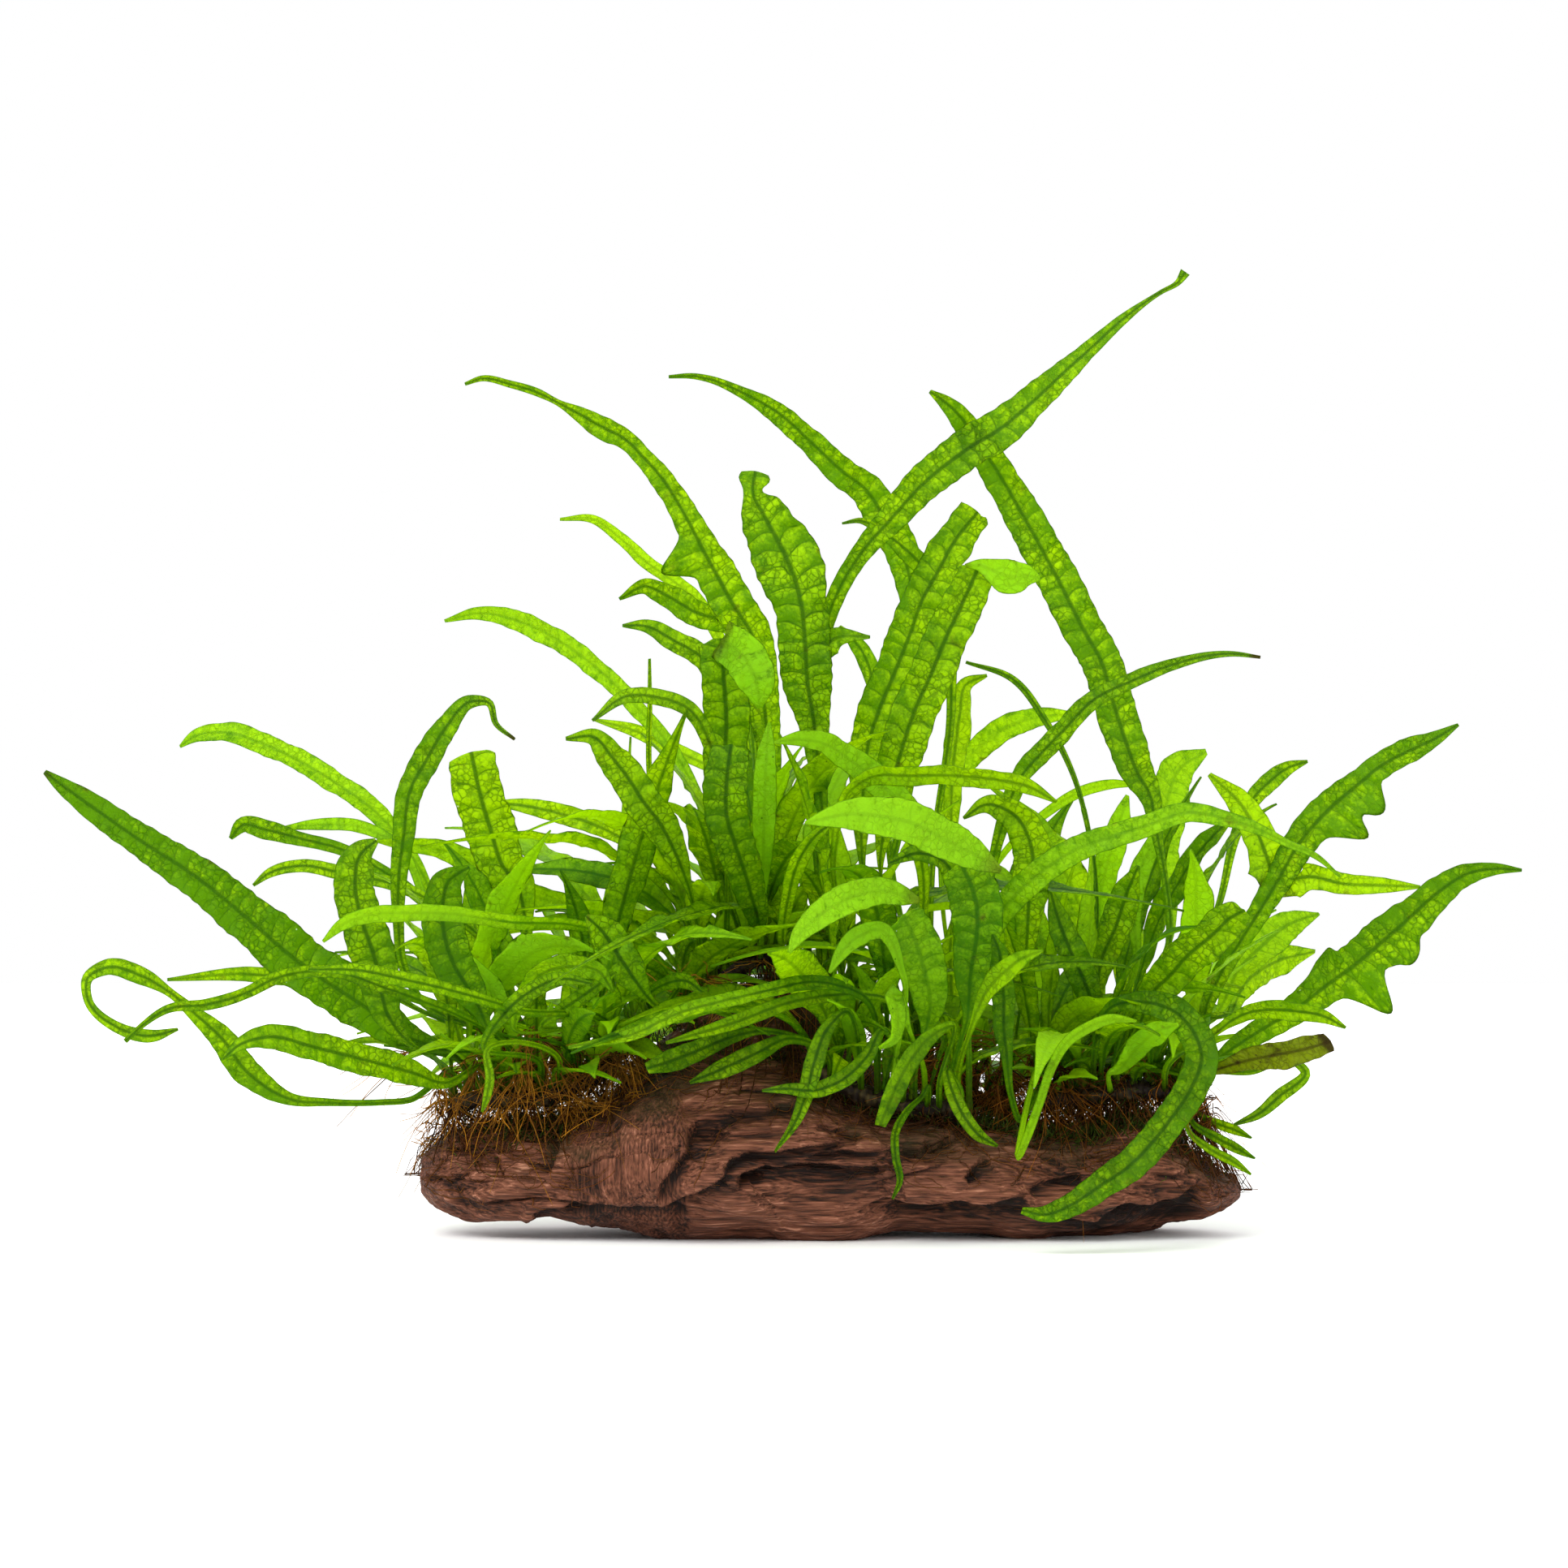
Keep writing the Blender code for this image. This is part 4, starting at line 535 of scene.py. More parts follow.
def bladeFrames(centre, rollBase, rollTip):
    # directions across a blade and off it: across the view, then turned about the blade's own line
    tangent = np.gradient(centre, axis=0)
    tangent /= np.linalg.norm(tangent, axis=1, keepdims=True)
    across = np.cross(tangent, (0.0, 1.0, 0.0))
    across /= np.linalg.norm(across, axis=1, keepdims=True)
    off = np.cross(tangent, across)
    roll = np.radians(np.linspace(rollBase, rollTip, len(centre)))[:, None]
    return across * np.cos(roll) + off * np.sin(roll), off * np.cos(roll) - across * np.sin(roll), np.cos(roll)


def halfWidths(rows, cosRoll):
    # half of the drawn width at its depth, wide enough to look right when the blade is rolled
    grown = rows[:, 2] * viewSettings["unit"] / 2 * (1 + rows[:, 3] / viewSettings["distance"])
    return grown / cosRoll[:, 0]


def halfDepths(rows, rollBase, rollTip):
    # how far the blade reaches from its own line in depth
    centre = fromView(rows[:, 0], rows[:, 1], rows[:, 3])
    wide, normal, cosRoll = bladeFrames(centre, rollBase, rollTip)
    half = halfWidths(rows, cosRoll)[:, None]
    raised = normal * half * settleSettings["fold"]
    reach = np.maximum(np.abs(raised - wide * half)[:, 1], np.abs(raised + wide * half)[:, 1])
    return reach + settleSettings["rib"] / 2


def pushedApart(first, second):
    # the pushes in depth that part two fronds where they cross in the front view
    near = np.linalg.norm(first["seen"][:, None] - second["seen"][None], axis=2)
    reach = (first["width"][:, None] + second["width"][None]) / 2 + settleSettings["margin"]
    crossing = near < reach
    pushes = np.zeros(len(first["depth"])), np.zeros(len(second["depth"]))
    hit = np.flatnonzero(crossing.any(axis=1))
    if not len(hit):
        return pushes
    needed = first["half"][:, None] + second["half"][None] + settleSettings["clearance"]
    apart = first["depth"][:, None] - second["depth"][None]
    for group in np.split(hit, np.flatnonzero(np.diff(hit) > 1) + 1):
        block = crossing[group]
        weight = block * np.maximum(first["free"][group][:, None], second["free"][None])
        side = 1.0 if (apart[group] * weight).sum() >= 0 else -1.0
        lack = np.maximum(np.where(block, needed[group] - side * apart[group], 0), 0)
        share = first["free"][group][:, None] + second["free"][None] + 1e-6
        pushes[0][group] = np.where(lack.max(axis=1) > np.abs(pushes[0][group]),
                                    side * (lack * first["free"][group][:, None] / share).max(axis=1),
                                    pushes[0][group])
        back = -side * (lack * second["free"][None] / share).max(axis=0)
        pushes[1][:] = np.where(np.abs(back) > np.abs(pushes[1]), back, pushes[1])
    return pushes


def spreadPush(push, free):
    # a push carried to the neighbouring samples in a soft hump
    step = np.arange(len(push))
    hump = np.exp(-((step[:, None] - step[None]) ** 2) / (2 * settleSettings["hump"] ** 2))
    forward = (hump * np.maximum(push, 0)[None]).max(axis=1)
    backward = (hump * np.maximum(-push, 0)[None]).max(axis=1)
    return (forward - backward) * free


def offTheWood(frond):
    # the push that keeps a frond in front of or behind the wood where it hangs beside it
    points = fromView(frond["seen"][:, 0], frond["seen"][:, 1], frond["depth"])
    middle, half, depth = woodProfile(points[:, 0])
    edge = settleSettings["woodEnd"]
    beside = (points[:, 0] > woodSettings["left"] - edge) & (points[:, 0] < woodSettings["right"] + edge)
    height = np.clip(np.abs(points[:, 2] - middle) / (half + settleSettings["woodLift"]), 0, 1)
    power = woodSettings["roundness"]
    keep = depth * (1 - height**power) ** (1 / power) + frond["half"] + settleSettings["woodGap"]
    beside &= points[:, 2] < middle + half + edge
    side = -1.0 if frond["depth"][len(frond["depth"]) // 2] < 0 else 1.0
    return side * np.maximum(np.where(beside, keep - side * frond["depth"], 0), 0)


def settleFronds():
    # moves the depths of all fronds, a little each round, until no two of them meet
    parted = {}
    along = np.linspace(0, 1, settleSettings["samples"])
    free = np.clip(along / settleSettings["heldShare"], 0, 1) ** settleSettings["heldPower"]
    for name, row in fronds.items():
        rows = frondTrace(name, settleSettings["samples"])
        parted[name] = {"seen": rows[:, :2], "width": rows[:, 2], "depth": rows[:, 3].copy(),
                        "half": halfDepths(rows, *row[4:6]), "free": free,
                        "node": row[0] if isYoung(name) else name}
    radius = settleSettings["stemRadius"]
    for name, path in stemPaths.items():
        still = np.zeros(len(path))
        parted["stem " + name] = {"seen": np.array([toView(point) for point in path]),
                                  "width": still + 2.3 * radius / viewSettings["unit"],
                                  "depth": path[:, 1].copy(), "half": still + 1.15 * radius,
                                  "free": still, "node": name}
    names = list(parted)
    pairs = []
    for i, one in enumerate(names):
        for two in names[i + 1:]:
            a, b = parted[one], parted[two]
            if a["node"] == b["node"] or one in fronds and two == "stem " + fronds[one][0]:
                continue
            margin = (a["width"].max() + b["width"].max()) / 2 + settleSettings["margin"]
            low = np.maximum(a["seen"].min(axis=0), b["seen"].min(axis=0)) - margin
            high = np.minimum(a["seen"].max(axis=0), b["seen"].max(axis=0)) + margin
            if (low < high).all():
                pairs.append((one, two))
    for _ in range(settleSettings["rounds"]):
        total = {name: np.zeros(len(parted[name]["depth"])) for name in names}
        for pair in pairs:
            for name, push in zip(pair, pushedApart(*(parted[name] for name in pair))):
                stronger = np.abs(push) > np.abs(total[name])
                total[name][stronger] = push[stronger]
        for name in fronds:
            frond = parted[name]
            frond["depth"] += settleSettings["step"] * spreadPush(total[name], frond["free"])
            frond["depth"] += settleSettings["step"] * spreadPush(offTheWood(frond), frond["free"])
    return {name: parted[name]["depth"] for name in fronds}


# meshes from whole arrays

def ringFaces(rows, count):
    # quads between neighbouring rings of count points
    r, c = np.arange(rows - 1)[:, None], np.arange(count)[None]
    here, after = r * count + c, r * count + (c + 1) % count
    return np.stack([here, after, after + count, here + count], axis=-1).reshape(-1, 4)


def signedVolume(points, quads, tris):
    # six times the volume: the sum of the triple products of every triangle's corners
    corners = np.concatenate([quads[:, [0, 1, 2]], quads[:, [0, 2, 3]], tris])
    a, b, c = (points[corners[:, k]] for k in range(3))
    return np.einsum("ij,ij->i", a, np.cross(b, c)).sum()


def shell(points, quads, tris, layers):
    # a closed mesh part whose faces are turned outwards
    if signedVolume(points - points.mean(axis=0), quads, tris) < 0:
        quads, tris = quads[:, ::-1], tris[:, ::-1]
    return {"points": points, "quads": quads, "tris": tris, "layers": layers}


def makePiece(name, shells, material, replaced=()):
    # joins the parts into one mesh in metres, smooth shaded, riding on the plant
    shift = np.concatenate([[0], np.cumsum([len(part["points"]) for part in shells])])
    points = np.concatenate([part["points"] for part in shells])
    quads = np.concatenate([part["quads"] + start for part, start in zip(shells, shift)])
    tris = np.concatenate([part["tris"] + start for part, start in zip(shells, shift)])
    mesh = bpy.data.meshes.new(name)
    mesh.vertices.add(len(points))
    mesh.vertices.foreach_set("co", (points * 0.001).astype(np.float32).ravel())
    corners = np.concatenate([quads.ravel(), tris.ravel()]).astype(np.int32)
    mesh.loops.add(len(corners))
    mesh.loops.foreach_set("vertex_index", corners)
    starts = np.concatenate([np.arange(len(quads)) * 4, len(quads) * 4 + np.arange(len(tris)) * 3])
    mesh.polygons.add(len(starts))
    mesh.polygons.foreach_set("loop_start", starts.astype(np.int32))
    mesh.update(calc_edges=True)
    mesh.polygons.foreach_set("use_smooth", np.ones(len(starts), bool))
    for layer in shells[0]["layers"]:
        values = np.concatenate([part["layers"][layer] for part in shells]).astype(np.float32)
        mesh.attributes.new(layer, "FLOAT_VECTOR", "POINT").data.foreach_set("vector", values.ravel())
    mesh.validate()
    mesh.materials.append(material)
    piece = bpy.data.objects.new(name, mesh)
    bpy.context.scene.collection.objects.link(piece)
    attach(piece, "root")
    if replaced:
        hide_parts(*replaced)
    pieceTriangles[name] = len(quads) * 2 + len(tris)
    return piece


def tubes(paths, radii, sides, rng, seeds=None):
    # round tubes along many paths at once: each point plus its radius times two directions across the path
    count, steps = paths.shape[:2]
    along = np.gradient(paths, axis=1)
    along /= np.linalg.norm(along, axis=2, keepdims=True) + 1e-9
    away = rng.normal(size=(count, 1, 3))
    side = np.cross(along, away / np.linalg.norm(away, axis=2, keepdims=True))
    side /= np.linalg.norm(side, axis=2, keepdims=True) + 1e-9
    up = np.cross(along, side)
    angle = np.arange(sides) * 2 * np.pi / sides
    ring = side[:, :, None] * np.cos(angle)[:, None] + up[:, :, None] * np.sin(angle)[:, None]
    points = paths[:, :, None] + ring * radii[:, :, None, None]
    first = np.arange(count)[:, None, None] * steps * sides
    quads = (first + ringFaces(steps, sides)[None]).reshape(-1, 4)
    fan = np.stack([np.zeros(sides - 2, int), np.arange(1, sides - 1), np.arange(2, sides)], axis=1)
    near = (first + fan[None, :, ::-1]).reshape(-1, 3)
    far = (first + (steps - 1) * sides + fan[None]).reshape(-1, 3)
    if seeds is None:
        seeds = rng.random(count)
    share = np.broadcast_to(np.linspace(0, 1, steps)[None, :, None], points.shape[:3])
    kind = np.broadcast_to(seeds[:, None, None], points.shape[:3])
    place = np.stack([share, kind, 0 * kind], axis=-1).reshape(-1, 3)
    return {"points": points.reshape(-1, 3), "quads": quads, "tris": np.concatenate([near, far]),
            "layers": {"fibrePlace": place}}


# fronds

bladeSettings = {
    "rowStep": 0.85, "columns": 15, "lamina": 0.34, "ribTop": 0.24, "ribUnder": 0.5,
    "veinSpacing": 4.3, "veinLean": 0.75, "veinCurve": -0.6, "veinStray": 0.6,
    "pucker": 0.6, "scallop": 0.042, "ripple": 0.15, "rippleLength": 19.0, "trough": 0.17,
    "bluntWidth": 3.0, "ragged": 1.6,
}


def atRows(table, place):
    # values of a table of rows at broken row numbers
    low = np.clip(np.floor(place).astype(int), 0, len(table) - 2)
    share = (place - low)[..., None]
    return table[low] * (1 - share) + table[low + 1] * share


def lidFaces(start, columns):
    # quads and two triangles that close one end of a blade, from its upper row to its lower row
    upper = np.arange(columns)
    lower = (2 * columns - 2 - upper) % (2 * columns - 2)
    quads = np.stack([upper[1:-2], lower[1:-2], lower[2:-1], upper[2:-1]], axis=1)
    tris = np.array([[0, lower[1], 1], [columns - 2, lower[columns - 2], columns - 1]])
    return quads + start, tris + start


# How pale each leaf is where it is turned to the front, partly its upper face's own colour and partly painted
# front light: how much at the base, at the tip, and where it changes. Below 0 a leaf is darker: painted shade, as if it
# lay in the shadow of others.
paleShares = {
    "frond_top_long": (-0.7, -0.5, 0.5), "frond_right_tall": (-0.7, -0.85, 0.5),
    "frond_left_long": (-0.8, -1.0, 0.5), "frond_right_lobed": (-0.8, -1.1, 0.5),
    "frond_right_reach": (-0.5, -0.7, 0.5), "frond_left_loop": (-0.9, -0.5, 0.5),
    "frond_crown_tall": (0.0, 0.0, 0.5), "frond_crown_broad": (0.1, -0.2, 0.5),
    "frond_top_drooping": (-0.2, -0.3, 0.5), "frond_left_fan": (-0.3, -0.4, 0.5),
    "frond_left_hook": (-0.4, -0.5, 0.5), "frond_left_low": (-0.8, -0.9, 0.5),
    "frond_left_blunt": (-0.2, -0.3, 0.5), "frond_crown_arch": (0.2, 0.1, 0.5),
    "frond_crown_side": (-0.4, -0.6, 0.5), "frond_crown_dark": (-0.4, -0.4, 0.5),
    "frond_left_dark": (-0.6, -0.6, 0.5), "frond_front_dark": (-0.5, -0.5, 0.5),
    "frond_inner_arch": (-0.8, -0.1, 0.5), "frond_crown_folded": (-0.2, -0.2, 0.5),
    "frond_left_curved": (-0.7, -0.5, 0.5), "frond_top_spike": (-0.5, -0.5, 0.5),
    "frond_front_bent": (-0.6, -0.6, 0.5), "frond_front_pale": (0.0, 0.3, 0.5),
    "frond_left_pale": (-0.4, 0.6, 0.62), "frond_front_arching": (0.2, 0.4, 0.35),
    "frond_middle_arch": (-0.3, 0.9, 0.6), "frond_right_blunt": (-0.5, -0.9, 0.5),
    "frond_back_pale": (0.3, 0.4, 0.4), "frond_left_far": (-0.1, 0.3, 0.4), "frond_back_left": (0.0, 0.4, 0.4),
    "frond_back_right": (0.3, 0.2, 0.4), "young_crown_pale": (1.0, 1.0, 0.5), "young_right_pale": (0.9, 1.0, 0.5),
    "young_front_fork": (0.8, 1.0, 0.5), "frond_middle_level": (0.3, 0.2, 0.5), "frond_back_arch": (0.4, 0.5, 0.5),
    "frond_front_arc": (-0.2, -0.4, 0.4), "frond_back_slim": (0.0, 0.4, 0.5), "frond_back_low": (0.2, 0.2, 0.5),
    "frond_left_thin": (-0.4, -0.2, 0.3), "frond_left_mid": (0.4, 0.5, 0.5), "young_left_arch": (0.5, 0.3, 0.5),
    "small_right_pale": (0.7, 0.9, 0.5), "small_right_pale_b": (0.7, 0.9, 0.5),
    "small_right_level": (0.6, 0.7, 0.5), "small_front_curl": (0.6, 0.9, 0.5), "small_left_up": (0.5, 0.8, 0.5),
    "small_plantlet": (0.6, 0.7, 0.5), "frond_left_reach": (-0.3, -0.2, 0.5), "frond_front_level": (-1.2, 0.2, 0.5),
    "frond_crown_low": (-0.4, -0.8, 0.5), "young_standing_a": (-0.9, -0.9, 0.5),
    "young_hanging_d": (-0.9, -0.9, 0.5), "young_inner_right": (-0.3, -0.8, 0.5),
    "young_right_tip": (-0.6, -0.6, 0.5), "frond_top_folded": (-0.3, -0.6, 0.5),
    "young_left_fan": (-0.4, -0.4, 0.5), "frond_crown_left": (-0.2, -0.5, 0.5),
    "young_hanging_a": (-0.6, -0.4, 0.5), "young_hanging_c": (-0.8, 0.0, 0.5), "young_hanging_g": (-0.9, 0.0, 0.5),
    "young_hanging_e": (-0.4, 0.3, 0.5),
}


# Edges seen on the front of the wood, where one layer of it stands over the next: points across and down,
# how far the upper side stands out, how far the lower side falls in, and how wide each fades, all in mm.
# The raised side is above an edge that runs to the right.
woodEdges = [
    ([(809, 1473), (820, 1451), (835, 1433), (849, 1418), (848, 1399), (861, 1375)], 0.8, 2.6, 12, 7),
    ([(771, 1375), (764, 1409), (771, 1451), (776, 1474)], 0.4, 0.4, 10, 4),
    ([(776, 1352), (731, 1375), (704, 1402), (686, 1426), (676, 1452)], 0.8, 1.4, 16, 10),
    ([(854, 1381), (906, 1369), (943, 1366), (985, 1360)], 0.5, 1.8, 5, 7),
    ([(812, 1482), (826, 1476), (860, 1464), (893, 1449), (897, 1438), (904, 1430), (916, 1423), (960, 1420),
      (1012, 1411), (1060, 1404)], 1.5, 2.8, 9, 5),
    ([(909, 1466), (908, 1455), (914, 1448), (943, 1439), (1000, 1437), (1060, 1441), (1100, 1437)], 1.0, 3.4, 5, 7),
    ([(640, 1502), (661, 1497), (707, 1485), (826, 1480), (850, 1490)], 0.7, 1.5, 5, 3),
    ([(524, 1444), (556, 1455), (584, 1445)], 0.5, 1.2, 5, 3),
    ([(548, 1478), (600, 1482), (650, 1479)], 0.4, 0.9, 5, 3),
    ([(980, 1429), (1021, 1420), (1066, 1417), (1102, 1414), (1143, 1411), (1162, 1405), (1184, 1401)],
     0.9, 1.8, 6, 4),
    ([(1112, 1408), (1130, 1405), (1158, 1409)], 0.3, 1.5, 3, 3),
    ([(1100, 1416), (1108, 1430), (1110, 1455), (1116, 1482)], 0.8, 0.8, 8, 5),
    ([(1196, 1462), (1190, 1450), (1204, 1436), (1218, 1428)], 0.6, 1.9, 5, 6),
    ([(1088, 1480), (1130, 1483), (1184, 1477), (1215, 1485), (1242, 1479), (1268, 1471)], 1.3, 2.2, 8, 8),
    ([(1262, 1470), (1290, 1456), (1322, 1444), (1330, 1443)], 0.6, 1.7, 6, 5),
    ([(1280, 1424), (1296, 1426), (1316, 1441)], 0.4, 1.0, 4, 3),
    ([(1260, 1502), (1311, 1501), (1352, 1507), (1366, 1497), (1382, 1485), (1433, 1479), (1454, 1470),
      (1476, 1455)], 1.4, 2.6, 9, 9),
    ([(1420, 1446), (1440, 1449), (1466, 1444)], 0.4, 0.9, 4, 3),
    ([(1005, 1386), (1030, 1392), (1060, 1398)], 0.4, 1.1, 4, 4),
    ([(905, 1336), (940, 1346), (985, 1338), (1020, 1346)], 0.4, 0.9, 5, 4),
]


def edgeRelief(seen):
    # the height beside the drawn edges: out on the raised side, in on the other, fading with the distance, and how
    # dark the painted shade in the crease under each edge is
    relief, creaseShade = np.zeros(seen.shape[:-1]), np.zeros(seen.shape[:-1])
    unit = viewSettings["unit"]
    for line, lift, drop, wide, deep in woodEdges:
        line = np.array(line, float)
        start, vector = line[:-1], np.diff(line, axis=0)
        away = seen[..., None, :] - start
        share = np.clip((away * vector).sum(axis=-1) / (vector**2).sum(axis=-1), 0, 1)
        gap = away - share[..., None] * vector
        distance = np.linalg.norm(gap, axis=-1)
        nearest = distance.argmin(axis=-1)[..., None]
        distance = np.take_along_axis(distance, nearest, -1)[..., 0] * unit
        turned = vector[:, 0] * away[..., 1] - vector[:, 1] * away[..., 0]
        below = np.take_along_axis(turned, nearest, -1)[..., 0]
        place = (np.take_along_axis(share, nearest, -1) + nearest)[..., 0] / len(vector)
        ends = smoothStep(place, 0.0, 0.12) * (1 - smoothStep(place, 0.88, 1.0))
        side = smoothStep(np.sign(below) * distance, -0.35, 0.35)
        relief += ends * (lift * np.exp(-(distance / wide) ** 2) * (1 - side)
                          - drop * np.exp(-(distance / deep) ** 1.5) * side)
        creaseShade = np.maximum(creaseShade, ends * side * np.exp(-(distance / (deep * 0.45)) ** 1.5) * min(drop / 2.0, 1))
    return relief, creaseShade


def bladeShell(centre, wide, normal, half, seed, wilt=0.0, teeth=(), columns=None, ragged=None,
               pale=(0.0, 0.0, 0.5), starts=None):
    # a closed leaf skin: the line plus across times half width, raised by the trough, ripples and puckers,
    # and thickened by the lamina and the rib on both faces. Each column may start at a row of its own
    s = bladeSettings
    columns = columns or s["columns"]
    count = len(centre)
    run = runOf(centre)
    even = np.linspace(-1, 1, columns)
    v = 0.5 * even + 0.5 * np.sin(np.pi / 2 * even)
    v = np.concatenate([v, v[-2:0:-1]])[None]
    face = np.concatenate([np.ones(columns), -np.ones(columns - 2)])[None]
    blunt = smoothStep(half[-1], s["bluntWidth"] * 0.4, s["bluntWidth"])
    ragged = s["ragged"] if ragged is None else ragged
    notch = blunt * (ragged * (0.5 + 0.5 * lineNoise(v * 2.7, seed * 31)) + half[-1] * 0.22 * v**2)
    step = run[-1] / (count - 1)
    pull = smoothStep(run, run[-1] - 7 - notch.max(), run[-1])[:, None]
    first = 0 if starts is None else np.interp(v, *starts)
    place = first + (count - 1 - first) * np.linspace(0, 1, count)[:, None] - pull * notch / step
    place = np.clip(place, 0, count - 1)
    line, aside, off = (atRows(table, place) for table in (centre, wide, normal))
    width = atRows(half[:, None], place)[..., 0]
    along = atRows(run[:, None], place)[..., 0]
    size = np.abs(v)
    stray = s["veinStray"] * (lineNoise(along / 9.0, seed * 57) + 0.5 * lineNoise(along / 3.1 + v, seed * 23))
    lean = s["veinLean"] + s["veinCurve"] * size
    phase = (along - size * width * lean) / s["veinSpacing"] + 0.5 * (v < 0) + stray
    edgePhase = (along - width * (s["veinLean"] + s["veinCurve"])) / s["veinSpacing"] + 0.5 * (v < 0) + stray
    grown = np.clip((width - 0.9) / 2.2, 0, 1)
    sideSeed = np.where(v < 0, 11.0, 29.0)
    edge = (0.6 * np.cos(2 * np.pi * edgePhase) + 0.8 * lineNoise(along / 6.0 + sideSeed, seed * 13)
            + 0.6 * lineNoise(along / 15.0 - sideSeed, seed * 19))
    width2 = width * (1 + s["scallop"] * edge * grown)
    lateral = v * width2
    wave = np.sin(2 * np.pi * along / s["rippleLength"] + sideSeed + seed * 40)
    wave = wave + 0.5 * np.sin(2 * np.pi * along / (s["rippleLength"] * 0.47) + sideSeed * 2 + seed * 90)
    raised = width * (s["trough"] * size**1.4 + s["ripple"] * wave * size**2 * grown)
    window = smoothStep(size, 0.06, 0.3) * (1 - smoothStep(size, 0.86, 1.0)) * grown
    bulge = np.abs(np.sin(np.pi * phase)) ** 0.7 - 0.6
    bulge = bulge + 0.6 * lineNoise(along / 1.9 + v * width / 1.6, seed * 7)
    raised = raised + s["pucker"] * bulge * window
    share = along / run[-1]
    ribWidth = (0.32 + 0.05 * width) * (1.05 - 0.55 * share)
    rib = np.exp(-(lateral / ribWidth) ** 2) * (1.1 - 0.8 * share)
    thick = s["lamina"] / 2 * (1 - size**6) + rib * np.where(face > 0, s["ribTop"], s["ribUnder"])
    stalk = np.clip((1.7 - width) / 0.8, 0, 1) * (share < 0.6)
    thick = thick * (1 - stalk) + stalk * width * 0.9 * np.sqrt(1 - size**2)
    thick = np.where(size > 0.9999, 0, thick)
    points = line + aside * lateral[..., None] + off * (raised + face * thick)[..., None]
    for toothRow, side, vector, reach in teeth:
        near = np.clip(np.abs(along - run[int(toothRow)]) / reach, 0, 1)
        spike = np.cos(np.pi / 2 * near) ** 2
        points = points + (spike * np.clip(v * side, 0, 1) ** 2.1)[..., None] * vector
    ring = 2 * columns - 2
    quads = ringFaces(count, ring)
    lidQuads, lidTris = lidFaces(0, columns)
    farQuads, farTris = lidFaces((count - 1) * ring, columns)
    quads = np.concatenate([quads, lidQuads, farQuads[:, ::-1]])
    tris = np.concatenate([lidTris, farTris[:, ::-1]])
    flat = np.zeros_like(lateral)
    spoil = wilt * smoothStep(along, run[-1] - 7, run[-1]) + flat
    # the pale share: partly the upper face's own colour, partly painted front light, and painted shade below 0
    light = pale[0] + (pale[1] - pale[0]) * smoothStep(share, pale[2] - 0.1, pale[2] + 0.1) + flat
    layers = {"leafPlace": (along + flat, lateral, width2 + flat), "leafKind": (seed + flat, spoil, stray + flat),
              "leafTone": (light, face + flat, share + flat)}
    layers = {name: np.stack(parts, axis=-1).reshape(-1, 3) for name, parts in layers.items()}
    return shell(points.reshape(-1, 3), quads, tris, layers)


def frondLine(name):
    # the fine centre line of a frond: its trace in the view with the settled depth, carried into its stem
    length = runOf(fromView(*frondTrace(name, 60)[:, [0, 1, 3]].T))[-1]
    count = max(int(length / bladeSettings["rowStep"]), 24)
    rows = frondTrace(name, count)
    at = np.linspace(0, 1, settleSettings["samples"])
    rows[:, 3] = smoothRows(settled[name][:, None], at, np.linspace(0, 1, count))[:, 0]
    return rows


def planeDepth(rows, wide, across, down):
    # depth of the flat of a blade at places seen beside its line, and how far aside and in which row they are
    gap = np.stack([across[:, None] - rows[None, :, 0], down[:, None] - rows[None, :, 1]], axis=-1)
    near = np.argmin(np.linalg.norm(gap, axis=2), axis=1)
    beside = gap[np.arange(len(near)), near] * viewSettings["unit"] * (1, -1)
    flat = wide[near][:, [0, 2]]
    length = np.linalg.norm(flat, axis=1)
    lateral = (beside * flat).sum(axis=1) / length
    return rows[near, 3] + lateral * wide[near, 1] / length, lateral / length, near


toothLength = 16.0      # a side lobe up to this long is drawn out of the margin, a longer one is a blade


# Leaves that fold over: where in the view they fold, and the folded tip from the fold to its end
folds = {
    "frond_front_bent": ((1180, 1058), [(1232, 1073, 8), (1205, 1056, 34), (1166, 1036, 48), (1120, 1013, 52),
                                (1080, 1005, 48), (1046, 1003, 38), (1016, 1008, 22), (992, 1014, 4)]),
    "frond_front_pale": ((1112, 1122), [(1132, 1110, 7), (1112, 1104, 24), (1086, 1098, 34), (1054, 1104, 38),
                                (1024, 1118, 36), (1002, 1134, 30), (984, 1152, 20), (972, 1174, 4)]),
}


foldedTips = {
    "frond_top_folded": [(1190, 697, 5), (1206, 696, 14), (1222, 702, 28), (1238, 709, 42), (1250, 711, 42),
                         (1264, 709, 30), (1281, 713, 6)],
}


# the half width of a line drawn out or in: share along, factor
widthFactors = {
    "frond_crown_broad": [(0, 1), (0.88, 1), (0.91, 1.12), (0.93, 1.16), (0.944, 0.95), (0.955, 0.78),
                          (0.966, 0.82), (0.978, 1.14), (0.99, 1.16), (1, 0.75)],
}


def foldShell(rows, tip, seed):
    # the tip of a leaf that bends over to the front: as deep as its line is there, and a little before it
    count = max(int(runOf(tip[:, :2])[-1] * viewSettings["unit"] / bladeSettings["rowStep"]), 16)
    fine = evenlyAlong(tip, count)
    gap = np.linalg.norm(fine[:, None, :2] - rows[None, :, :2], axis=2)
    depth = rows[gap.argmin(axis=1), 3]
    along = np.linspace(0, 1, count)
    depth = np.convolve(np.pad(depth, 6, "edge"), np.ones(13) / 13, "valid") - 1.6 - 2.2 * np.sin(np.pi * along)
    centre = fromView(fine[:, 0], fine[:, 1], depth)
    wide, normal, cosRoll = bladeFrames(centre, 24, -10)
    half = halfWidths(np.column_stack([fine, depth]), cosRoll)
    return bladeShell(centre, wide, normal, half, (seed + 0.37) % 1, 0.0, pale=(0.95, 1.0, 0.5))


